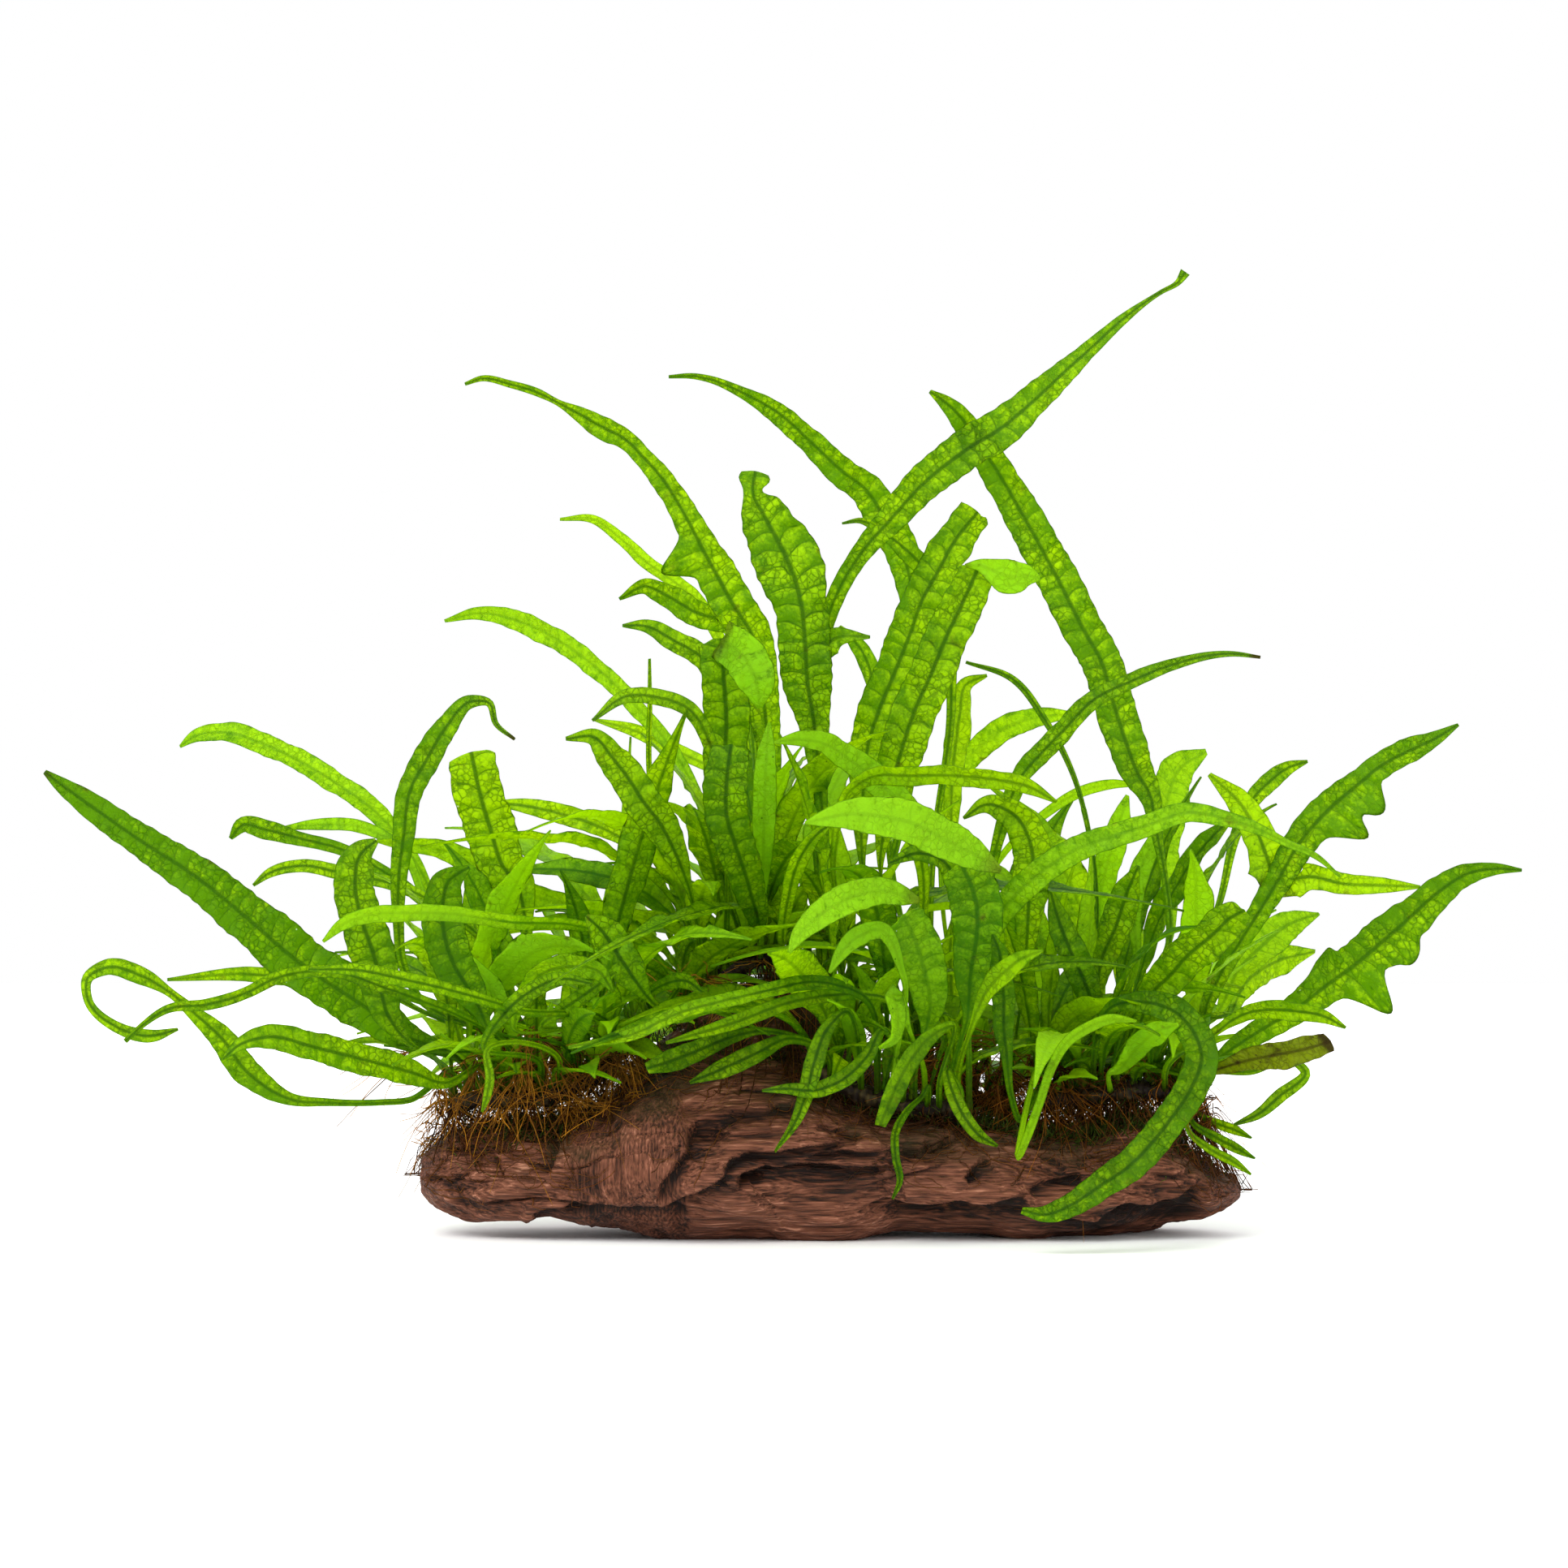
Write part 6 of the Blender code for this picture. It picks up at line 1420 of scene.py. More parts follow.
def onWood(x, turn, lift):
    # points on the carved skin at x and at a turn around it from 0 to 1, lifted off it
    xs = carvedSkin[:, :, 0].mean(axis=1)
    row = np.interp(x, xs, np.arange(len(xs)))
    column = (turn % 1) * carvedSkin.shape[1]
    low = np.clip(np.floor(row).astype(int), 0, len(xs) - 2)
    left = np.floor(column).astype(int) % carvedSkin.shape[1]
    right = (left + 1) % carvedSkin.shape[1]
    a, b = (row - low)[..., None], (column - np.floor(column))[..., None]
    found = []
    for table in (carvedSkin, skinOut):
        found.append((table[low, left] * (1 - b) + table[low, right] * b) * (1 - a)
                     + (table[low + 1, left] * (1 - b) + table[low + 1, right] * b) * a)
    return found[0] + found[1] * lift[..., None]


# roots

# Roots that crawl over the wood. Each mat: its stems, then groups of roots, each with how many, the x range,
# the turns around the wood (0 is the back, 0.25 the top, 0.5 the front), the crawl in mm, and the CAD mat
rootMats = {
    "rootsLeft": (("left", "left_back"), "root_mat_left",
                  [(105, (-98, -44), (0.08, 0.34), 26), (40, (-99, -86), (0.05, 0.60), 20),
                   (45, (-98, -40), (0.34, 0.56), 30), (50, (-98, -44), (0.0, 0.10), 26)]),
    "rootsMiddle": (("crown", "front_middle"), "root_mat_middle",
                    [(200, (-30, 36), (0.10, 0.35), 20), (26, (-20, 36), (0.34, 0.50), 30),
                     (50, (-30, 36), (0.0, 0.12), 24)]),
    "rootsRight": (("right", "right_back", "middle_back"), "root_mat_right",
                   [(210, (36, 90), (0.08, 0.34), 24), (24, (44, 98), (0.34, 0.52), 24),
                    (50, (86, 100), (0.10, 0.50), 18), (50, (40, 96), (0.0, 0.10), 24)]),
}
rootSettings = {"steps": 18, "radius": (0.09, 0.22), "lift": (0.15, 5.0), "wander": 1.1, "seed": 99}


def makeRoots(material):
    # each root leaves its stem, bends down onto the wood and crawls over it in small random turns
    for number, (name, (origins, mat, groups)) in enumerate(rootMats.items()):
        rng = np.random.default_rng(rootSettings["seed"] + number)
        steps = rootSettings["steps"]
        t = np.linspace(0, 1, steps)[None]
        parts = []
        for count, xRange, turns, crawl in groups:
            stemAt = np.linspace(0, 1, 40)
            start = np.concatenate([[pointOnStem(origin, place) for place in stemAt] for origin in origins])
            aim = rng.uniform(*xRange, count)
            start = start[np.abs(start[None, :, 0] - aim[:, None] + rng.normal(size=(count, 1)) * 6).argmin(axis=1)]
            start = start + rng.normal(size=(count, 3)) * (1.6, 1.0, 0.6)
            turn0 = rng.uniform(*turns, count)
            length = crawl * rng.uniform(0.3, 1.3, count)
            heading = (rng.uniform(0, 2 * np.pi, count)[:, None]
                       + np.cumsum(rng.normal(size=(count, steps)) * 0.42, axis=1))
            stepLength = (length / steps)[:, None]
            x = aim[:, None] + np.cumsum(np.cos(heading) * stepLength, axis=1)
            turn = turn0[:, None] + np.cumsum(np.sin(heading) * stepLength, axis=1) / 150
            x = np.clip(x, woodSettings["left"] - 0.5, woodSettings["right"] + 0.5)
            low, high = rootSettings["lift"]
            lift = low + (high - low) * rng.random((count, 1)) ** 2 * (0.55 + 0.45 * np.sin(t * 9 + heading[:, :1] * 5))
            crawlPath = onWood(x, turn, lift)
            blend = smoothStep(t, 0.05, 0.42)[..., None]
            sag = np.stack([0 * t, 0 * t, -np.sin(np.pi * np.clip(t / 0.42, 0, 1)) * 1.5], axis=-1)
            path = start[:, None] * (1 - blend) + crawlPath * blend + sag * (1 - blend)
            phase = rng.uniform(0, 6.3, (count, 1, 3))
            path = path + rootSettings["wander"] * 0.5 * np.sin(t[..., None] * (14, 17, 11) + phase) * (0.3, 0.3, 0.2)
            path[..., 2] = np.maximum(path[..., 2], 0.3)
            radius = rng.uniform(*rootSettings["radius"], count)[:, None] * (1.15 - 0.75 * t)
            parts.append(tubes(path, radius, 3, rng))
        makePiece(name, parts, material, [mat])


# Loose roots in fans. Each row: the middle of the fans in the front view and its depth, their spread across,
# down and in depth, how many fans and roots in each, the length in mm, and how much they point down
looseRoots = [
    ((640, 1318, -14), (75, 22, 7), 16, 13, 17, 0.9), ((720, 1300, -14), (55, 18, 7), 16, 13, 18, 1.0),
    ((760, 1318, -10), (26, 16, 6), 7, 12, 15, 0.6), ((600, 1318, 12), (90, 20, 8), 14, 12, 18, 0.8),
    ((546, 1345, -8), (8, 14, 10), 7, 8, 10, 1.0), ((528, 1410, -10), (5, 30, 9), 12, 3, 6, 0.3),
    ((700, 1362, -18), (60, 10, 5), 9, 11, 8, 0.2), ((1300, 1330, -10), (60, 24, 8), 20, 13, 16, 0.9),
    ((1400, 1320, -6), (60, 22, 9), 18, 13, 17, 1.0), ((1300, 1340, 14), (90, 22, 8), 18, 13, 17, 0.8),
    ((1490, 1375, -6), (12, 18, 8), 10, 8, 10, 0.7), ((1160, 1330, 10), (90, 20, 8), 18, 13, 14, 0.7),
    ((1080, 1290, -18), (90, 20, 6), 10, 9, 11, 0.6), ((880, 1215, -16), (60, 26, 8), 14, 9, 11, 0.5),
    ((900, 1330, 30), (300, 30, 5), 16, 9, 18, 1.0), ((1285, 1372, -6), (60, 12, 7), 9, 11, 10, 0.5),
    ((1180, 1300, -4), (50, 20, 8), 12, 12, 13, 0.7),
]


def makeLooseRoots(materials):
    # fans of thin roots: all roots of a fan leave one place, spread, sag and wave a little
    rng = np.random.default_rng(7)
    steps = 14
    t = np.linspace(0, 1, steps)[:, None]
    paths = []
    for (across, down, depth), spread, fans, count, length, pull in looseRoots:
        across, down, depth = (value + rng.normal(size=fans) * size * 0.7
                               for value, size in zip((across, down, depth), spread))
        start = np.repeat(fromView(across, down, depth), count, axis=0) + rng.normal(size=(fans * count, 3)) * 0.5
        way = np.repeat(rng.normal(size=(fans, 3)) * (1.0, 0.8, 0.5), count, axis=0)
        way = way + rng.normal(size=way.shape) * (0.8, 0.6, 0.5) - (0, 0, pull)
        way /= np.linalg.norm(way, axis=1, keepdims=True)
        size = length * rng.uniform(0.35, 1.3, (len(way), 1, 1))
        phase = rng.uniform(0, 6.3, (len(way), 1, 3))
        bend = rng.normal(size=(len(way), 1, 3)) * 0.3 - (0, 0, 0.12 + 0.2 * pull)
        wave = (np.sin(t * (7, 9, 6) + phase) - np.sin(phase)) * 0.045
        path = start[:, None] + size * (way[:, None] * t + bend * t**2 + wave)
        path[..., 2] = np.maximum(path[..., 2], 0.3)
        paths.append(path)
    paths = np.concatenate(paths)
    low, high = np.array(cadLow) * 1000 - 3, np.array(cadHigh) * 1000 + 3
    paths = np.clip(paths, low, high)
    radius = rng.uniform(0.09, 0.21, len(paths))[:, None] * np.linspace(1, 0.4, steps)
    isLeft = paths[:, 0, 0] < 0
    for name, side, material in (("looseRootsLeft", isLeft, materials[0]), ("looseRootsRight", ~isLeft, materials[1])):
        makePiece(name, [tubes(paths[side], radius[side], 3, rng)], material)


def makeRhizomes(material):
    # a creeping stem: a fat tube with knobs and overlapping scales, and blunt rounded ends
    for name, path in stemPaths.items():
        count = 150
        line = evenlyAlong(np.column_stack([path[:, 0], path[:, 1], path[:, 2]]), count)
        along = np.linspace(0, 1, count)
        angle = np.arange(28) * 2 * np.pi / 28
        tangent = np.gradient(line, axis=0)
        side = np.cross(tangent, (0, 0, 1.0))
        side /= np.linalg.norm(side, axis=1, keepdims=True)
        up = np.cross(side, tangent)
        up /= np.linalg.norm(up, axis=1, keepdims=True)
        run = runOf(line)[:, None]
        ring = np.stack([run + 0 * angle, 4 * np.cos(angle) + 0 * run, 4 * np.sin(angle) + 0 * run], axis=-1)
        rough = 0.24 * layeredNoise(ring / 2.6, 3, 83) + 0.16 * np.abs(np.sin(run * 1.9 + 2.5 * np.cos(angle)))
        close = np.sqrt(np.clip(1 - (2 * along - 1) ** 16, 0.0, 1))[:, None]
        radius = settleSettings["stemRadius"] * (1 + 0.12 * np.sin(along * 23))[:, None] * (1 + rough) * close + 0.05
        spread = side[:, None] * np.cos(angle)[:, None] + up[:, None] * np.sin(angle)[:, None]
        points = (line[:, None] + spread * radius[..., None]).reshape(-1, 3)
        quads = ringFaces(count, 28)
        fan = np.stack([np.zeros(26, int), np.arange(1, 27), np.arange(2, 28)], axis=1)
        tris = np.concatenate([fan[:, ::-1], fan + (count - 1) * 28])
        layer = np.stack([rough / 0.4, 0 * rough + along[:, None], 0 * rough], axis=-1).reshape(-1, 3)
        part = shell(points, quads, tris, {"stemPlace": layer})
        makePiece(pieceName("rhizome_" + name), [part], material, ["rhizome_" + name])


# tufts of moss: (x, y) of the middle, spread, count
mossTufts = [((-12, 2), (22, 12), 1700), ((-34, -4), (12, 10), 500), ((20, -10), (24, 6), 700),
             ((-72, -8), (14, 10), 900), ((66, -6), (20, 10), 1700), ((52, -14), (22, 5), 700), ((-60, 8), (20, 8), 400), ((40, 4), (16, 12), 600)]


def makeMoss(material):
    # short curved hairs that stand on the top of the wood and on the creeping stems
    rng = np.random.default_rng(21)
    plan = np.concatenate([np.array(centre) + rng.normal(size=(count, 2)) * np.array(spread) * 0.6
                           for centre, spread, count in mossTufts])
    top = carvedTop(plan)
    keep = ~np.isnan(top)
    start = np.column_stack([plan[keep], top[keep] - 0.2])
    along = np.linspace(0, 1, 260)
    onStems = np.concatenate([[pointOnStem(name, place) for place in along] for name in stems])
    aside = rng.normal(size=onStems.shape)
    aside /= np.linalg.norm(aside, axis=1, keepdims=True)
    start = np.concatenate([start, onStems + aside * settleSettings["stemRadius"]])
    way = np.concatenate([np.tile((0, -0.15, 0.7), (keep.sum(), 1)), aside * 0.8])[:, None]
    count, steps = len(start), 4
    way = way + rng.normal(size=(count, 1, 3)) * (0.7, 0.7, 0.5) + np.cumsum(
        rng.normal(size=(count, steps, 3)) * 0.3, axis=1)
    way /= np.linalg.norm(way, axis=2, keepdims=True)
    size = rng.uniform(1.6, 5.5, (count, 1, 1)) / steps
    path = start[:, None] + np.cumsum(way * size, axis=1)
    radius = rng.uniform(0.1, 0.2, count)[:, None] * np.linspace(1, 0.3, steps)
    makePiece("mossTufts", [tubes(path, radius, 3, rng)], material)


def carvedTop(plan):
    # height of the carved wood at places in plan, from the nearest points of its upper skin
    upper = carvedSkin[::3, ::3].reshape(-1, 3)
    upper = upper[skinOut[::3, ::3].reshape(-1, 3)[:, 2] > 0.15]
    top = np.full(len(plan), np.nan)
    for start in range(0, len(plan), 500):
        part = plan[start:start + 500]
        gap = np.linalg.norm(part[:, None] - upper[None, :, :2], axis=2)
        near = np.argmin(gap, axis=1)
        top[start:start + 500] = np.where(gap.min(axis=1) < 1.6, upper[near, 2], np.nan)
    return top


# materials

def put(tree, kind, inputs=None, **settings):
    # a node with its inputs set: numbers and colours are typed in, other nodes' outputs are joined
    node = tree.nodes.new(kind)
    for key, value in settings.items():
        setattr(node, key, value)
    for key, value in (inputs or {}).items():
        if isinstance(value, bpy.types.NodeSocket):
            tree.links.new(value, node.inputs[key])
        else:
            node.inputs[key].default_value = value
    return node


def maths(tree, operation, *values):
    return put(tree, "ShaderNodeMath", dict(enumerate(values)), operation=operation).outputs[0]


def ramp(tree, value, low, high, atLow=0.0, atHigh=1.0):
    # a smooth change from atLow to atHigh while value goes from low to high
    inputs = {0: value, 1: low, 2: high, 3: atLow, 4: atHigh}
    return put(tree, "ShaderNodeMapRange", inputs, interpolation_type="SMOOTHSTEP").outputs[0]


def blend(tree, share, first, second):
    return put(tree, "ShaderNodeMix", {0: share, 6: first, 7: second}, data_type="RGBA").outputs[2]


def layerParts(tree, layer):
    # the three values of one of the piece's own layers
    source = put(tree, "ShaderNodeAttribute", attribute_name=layer, attribute_type="GEOMETRY")
    return put(tree, "ShaderNodeSeparateXYZ", {0: source.outputs["Vector"]}).outputs


def grainNoise(tree, scale, detail, vector=None, rough=0.55):
    vector = vector or put(tree, "ShaderNodeTexCoord").outputs["Object"]
    inputs = {"Vector": vector, "Scale": scale, "Detail": detail, "Roughness": rough}
    return put(tree, "ShaderNodeTexNoise", inputs).outputs[0]


def makeGroup(name, inputs, outputs):
    group = bpy.data.node_groups.new(name, "ShaderNodeTree")
    for socket, kind, value in inputs:
        made = group.interface.new_socket(socket, in_out="INPUT", socket_type="NodeSocket" + kind)
        made.default_value = value
    for socket, kind in outputs:
        group.interface.new_socket(socket, in_out="OUTPUT", socket_type="NodeSocket" + kind)
    return group, group.nodes.new("NodeGroupInput").outputs, group.nodes.new("NodeGroupOutput").inputs


def leafTissueGroup():
    # colours of a leaf by its own layers: side veins with painted pucker light and shade between them, one half painted
    # lighter, a net of small veins, the rib, the rim, freckles, decay at the tip, painted shade towards the base, and a
    # paler face where it is turned to the front, partly the upper face's own colour and partly painted front light
    s = bladeSettings
    colours = ("Deep", "Bright", "Vein", "Pale", "Lit Deep", "Lit Bright", "Lit Vein", "Lit Pale", "Decay")
    group, given, result = makeGroup(
        "leafTissue", [(name, "Color", (0, 0, 0, 1)) for name in colours]
        + [("Veins", "Float", 0.5), ("Freckles", "Float", 0.5), ("Age", "Float", 0.0)],
        [("Color", "Color"), ("Lit", "Color"), ("Roughness", "Float"), ("Height", "Float")])
    along, across, half = layerParts(group, "leafPlace")
    seed, spoil, stray = layerParts(group, "leafKind")
    turned, face, share = layerParts(group, "leafTone")
    pale = maths(group, "MAXIMUM", turned, 0.0)
    beside = maths(group, "ABSOLUTE", across)
    size = maths(group, "DIVIDE", beside, half)
    lean = maths(group, "MULTIPLY_ADD", size, s["veinCurve"], s["veinLean"])
    phase = maths(group, "DIVIDE", maths(group, "SUBTRACT", along, maths(group, "MULTIPLY", beside, lean)),
                  s["veinSpacing"])
    side = maths(group, "LESS_THAN", across, 0.0)
    phase = maths(group, "ADD", maths(group, "MULTIPLY_ADD", side, 0.5, phase), stray)
    cell = maths(group, "FRACT", phase)
    middle = maths(group, "ABSOLUTE", maths(group, "SUBTRACT", cell, 0.5))
    fromVein = maths(group, "MULTIPLY", maths(group, "SUBTRACT", 0.5, middle), s["veinSpacing"])
    clouds = grainNoise(group, 120.0, 3.0)
    patches = grainNoise(group, 420.0, 4.0, rough=0.65)
    speckle = grainNoise(group, 1500.0, 3.0, rough=0.65)
    broad = ramp(group, half, 2.5, 7.5, 0.4, 1)
    vein = maths(group, "MULTIPLY", ramp(group, fromVein, 0.06, 0.34, 1, 0), ramp(group, size, 0.74, 0.97, 1, 0))
    vein = maths(group, "MULTIPLY", vein, maths(group, "MULTIPLY", broad, ramp(group, patches, 0.34, 0.56, 0.3, 1)))
    sheet = put(group, "ShaderNodeCombineXYZ", {0: maths(group, "MULTIPLY_ADD", seed, 311.0, along),
                                                1: across, 2: maths(group, "MULTIPLY", patches, 2.2)}).outputs[0]
    cells = put(group, "ShaderNodeTexVoronoi", {"Vector": sheet, "Scale": 0.62, "Randomness": 1.0},
                feature="DISTANCE_TO_EDGE").outputs["Distance"]
    net = maths(group, "MULTIPLY", ramp(group, cells, 0.0, 0.15, 1, 0), ramp(group, clouds, 0.40, 0.60, 0.2, 1.0))
    ribWidth = maths(group, "MULTIPLY_ADD", half, 0.04, maths(group, "MULTIPLY_ADD", speckle, 0.7, -0.1))
    rib = ramp(group, maths(group, "DIVIDE", beside, ribWidth), 0.5, 1.7, 1, 0)
    rim = ramp(group, maths(group, "SUBTRACT", half, beside), 0.02, 0.34, 1, 0)
    dots = put(group, "ShaderNodeTexVoronoi", {"Vector": sheet, "Scale": 0.34, "Randomness": 1.0})
    picked = put(group, "ShaderNodeSeparateColor", {0: dots.outputs["Color"]}).outputs
    dot = ramp(group, dots.outputs["Distance"], 0.05, 0.12, 1, 0)
    freckle = maths(group, "MULTIPLY", maths(group, "MULTIPLY", dot, maths(group, "GREATER_THAN", picked[0], 0.72)),
                    given["Freckles"])
    lime = maths(group, "MULTIPLY", ramp(group, dots.outputs["Distance"], 0.05, 0.09, 1, 0),
                 maths(group, "LESS_THAN", picked[1], 0.05))
    veins = maths(group, "MULTIPLY", given["Veins"], maths(group, "MAXIMUM", maths(
        group, "MULTIPLY_ADD", pale, -1.1, 1.0), 0.3))
    darkness = maths(group, "MULTIPLY", vein, veins)
    darkness = maths(group, "MAXIMUM", darkness, maths(group, "MULTIPLY", net, maths(group, "MULTIPLY", veins, 0.7)))
    darkness = maths(group, "MAXIMUM", darkness, maths(
        group, "MULTIPLY", rib, maths(group, "MAXIMUM", maths(group, "MULTIPLY_ADD", pale, -1.2, 0.85), 0.2)))
    darkness = maths(group, "MAXIMUM", darkness, maths(group, "MULTIPLY", rim, 0.6))
    darkness = maths(group, "MAXIMUM", darkness, freckle)
    tone = maths(group, "MULTIPLY_ADD", clouds, 1.9, maths(group, "MULTIPLY_ADD", seed, 0.7, -1.1))
    tone = maths(group, "MULTIPLY_ADD", patches, 2.4, maths(group, "SUBTRACT", tone, 0.98))
    tone = maths(group, "MULTIPLY_ADD", speckle, 2.2, maths(group, "SUBTRACT", tone, 1.06))
    # painted light and shade of the puckers: each cell between side veins grows lighter towards the next vein, and the
    # half with across below 0 is painted a little lighter than the other
    fold = maths(group, "MULTIPLY", maths(group, "SUBTRACT", cell, 0.45), broad)
    tone = maths(group, "MULTIPLY_ADD", fold, 0.8, maths(group, "MULTIPLY_ADD", side, 0.16, tone))
    tone = maths(group, "MULTIPLY_ADD", ramp(group, size, 0.5, 0.98), -0.25, tone)
    # painted shade: darker near the base of each leaf, low in the plant among the others
    tone = maths(group, "MULTIPLY_ADD", ramp(group, share, 0.0, 0.3, 1, 0), -0.4, maths(group, "ADD", tone, 0.27))
    # painted shade: a pale share below 0 darkens the leaf as if it lay in the shadow of others
    tone = maths(group, "MULTIPLY_ADD", maths(group, "MINIMUM", turned, 0.0), 0.6, tone)
    tone = maths(group, "MINIMUM", maths(group, "MAXIMUM", tone, 0.0), 1.0)
    patch = ramp(group, maths(group, "MULTIPLY_ADD", spoil, 1.15, maths(group, "MULTIPLY_ADD", clouds, 0.8, -0.45)),
                 0.42, 0.7)
    patch = maths(group, "MULTIPLY", patch, ramp(group, spoil, 0.02, 0.3))
    old = ramp(group, maths(group, "ADD", grainNoise(group, 210.0, 3.0), given["Age"]), 0.64, 0.84)
    foot = ramp(group, share, 0.0, 0.14, 0.55, 0)
    decay = maths(group, "MULTIPLY", maths(group, "MAXIMUM", maths(group, "MAXIMUM", patch, foot), old), 0.8)
    # the paler face: partly the upper face's own colour, partly painted front light
    paleShare = maths(group, "MULTIPLY", maths(group, "POWER", pale, 1.6),
                      ramp(group, maths(group, "MULTIPLY_ADD", tone, 0.35, patches), 0.3, 0.8, 0.15, 1))
    for lit, out in (("", "Color"), ("Lit ", "Lit")):
        colour = blend(group, tone, given[lit + "Deep"], given[lit + "Bright"])
        colour = blend(group, paleShare, colour, given[lit + "Pale"])
        colour = blend(group, darkness, colour, given[lit + "Vein"])
        colour = blend(group, decay, colour, given["Decay"])
        group.links.new(blend(group, lime, colour, (0.8, 0.85, 0.6, 1)), result[out])
    group.links.new(maths(group, "MULTIPLY_ADD", clouds, 0.3, 0.3), result["Roughness"])
    height = maths(group, "MULTIPLY_ADD", net, -0.6, maths(group, "MULTIPLY", speckle, 0.8))
    group.links.new(maths(group, "MULTIPLY_ADD", patches, 1.6, height), result["Height"])
    return group


leafKinds = {
    "frond_green": {"Deep": (0.040, 0.120, 0.0005, 1), "Bright": (0.17, 0.36, 0.001, 1),
                    "Vein": (0.014, 0.045, 0.0005, 1), "Pale": (0.27, 0.54, 0.010, 1),
                    "Lit Deep": (0.36, 0.59, 0.003, 1), "Lit Bright": (0.76, 0.95, 0.008, 1),
                    "Lit Vein": (0.18, 0.36, 0.002, 1), "Lit Pale": (0.61, 0.87, 0.03, 1),
                    "Decay": (0.10, 0.07, 0.008, 1), "Veins": 0.9, "Freckles": 0.85, "Age": 0.0, "through": 0.76},
    "frond_pale": {"Deep": (0.05, 0.16, 0.001, 1), "Bright": (0.18, 0.40, 0.003, 1),
                   "Vein": (0.02, 0.10, 0.002, 1), "Pale": (0.30, 0.59, 0.012, 1),
                   "Lit Deep": (0.36, 0.60, 0.005, 1), "Lit Bright": (0.70, 0.90, 0.015, 1),
                   "Lit Vein": (0.24, 0.46, 0.004, 1), "Lit Pale": (0.62, 0.87, 0.035, 1),
                   "Decay": (0.12, 0.09, 0.01, 1), "Veins": 0.75, "Freckles": 0.6, "Age": 0.0, "through": 0.70},
    "frond_brown": {"Deep": (0.05, 0.08, 0.001, 1), "Bright": (0.16, 0.21, 0.002, 1),
                    "Vein": (0.02, 0.012, 0.002, 1), "Pale": (0.2, 0.2, 0.03, 1),
                    "Lit Deep": (0.29, 0.37, 0.003, 1), "Lit Bright": (0.58, 0.68, 0.006, 1),
                    "Lit Vein": (0.12, 0.06, 0.006, 1), "Lit Pale": (0.4, 0.4, 0.05, 1),
                    "Decay": (0.05, 0.022, 0.004, 1), "Veins": 0.7, "Freckles": 1.0, "Age": 0.10, "through": 0.6},
}


def newMaterial(name):
    material = bpy.data.materials.new(name)
    material.use_nodes = True
    return material, material.node_tree, material.node_tree.nodes["Principled BSDF"]


def leafMaterial(name, tissue):
    # a leaf sends light back as a satin green sheet and lets the rest through as a soft yellower glow
    kind = leafKinds[name]
    material, tree, shader = newMaterial(name)
    node = put(tree, "ShaderNodeGroup", node_tree=tissue)
    for key, value in kind.items():
        if key != "through":
            node.inputs[key].default_value = value
    bump = put(tree, "ShaderNodeBump", {"Height": node.outputs["Height"], "Distance": 0.0003, "Strength": 0.9})
    tree.links.new(node.outputs["Color"], shader.inputs["Base Color"])
    tree.links.new(node.outputs["Roughness"], shader.inputs["Roughness"])
    tree.links.new(bump.outputs[0], shader.inputs["Normal"])
    shader.inputs["Specular IOR Level"].default_value = 0.16
    glow = put(tree, "ShaderNodeBsdfTranslucent", {"Color": node.outputs["Lit"], "Normal": bump.outputs[0]})
    mixed = put(tree, "ShaderNodeMixShader", {0: kind["through"], 1: shader.outputs[0], 2: glow.outputs[0]})
    tree.links.new(mixed.outputs[0], tree.nodes["Material Output"].inputs[0])
    return material


def stretchedNoise(tree, lengths, detail):
    # noise whose cells are lengths long in metres along X, Y and Z
    place = put(tree, "ShaderNodeTexCoord").outputs["Object"]
    turned = put(tree, "ShaderNodeMapping", {"Vector": place, "Scale": [1 / length for length in lengths]})
    return grainNoise(tree, 1.0, detail, turned.outputs[0])


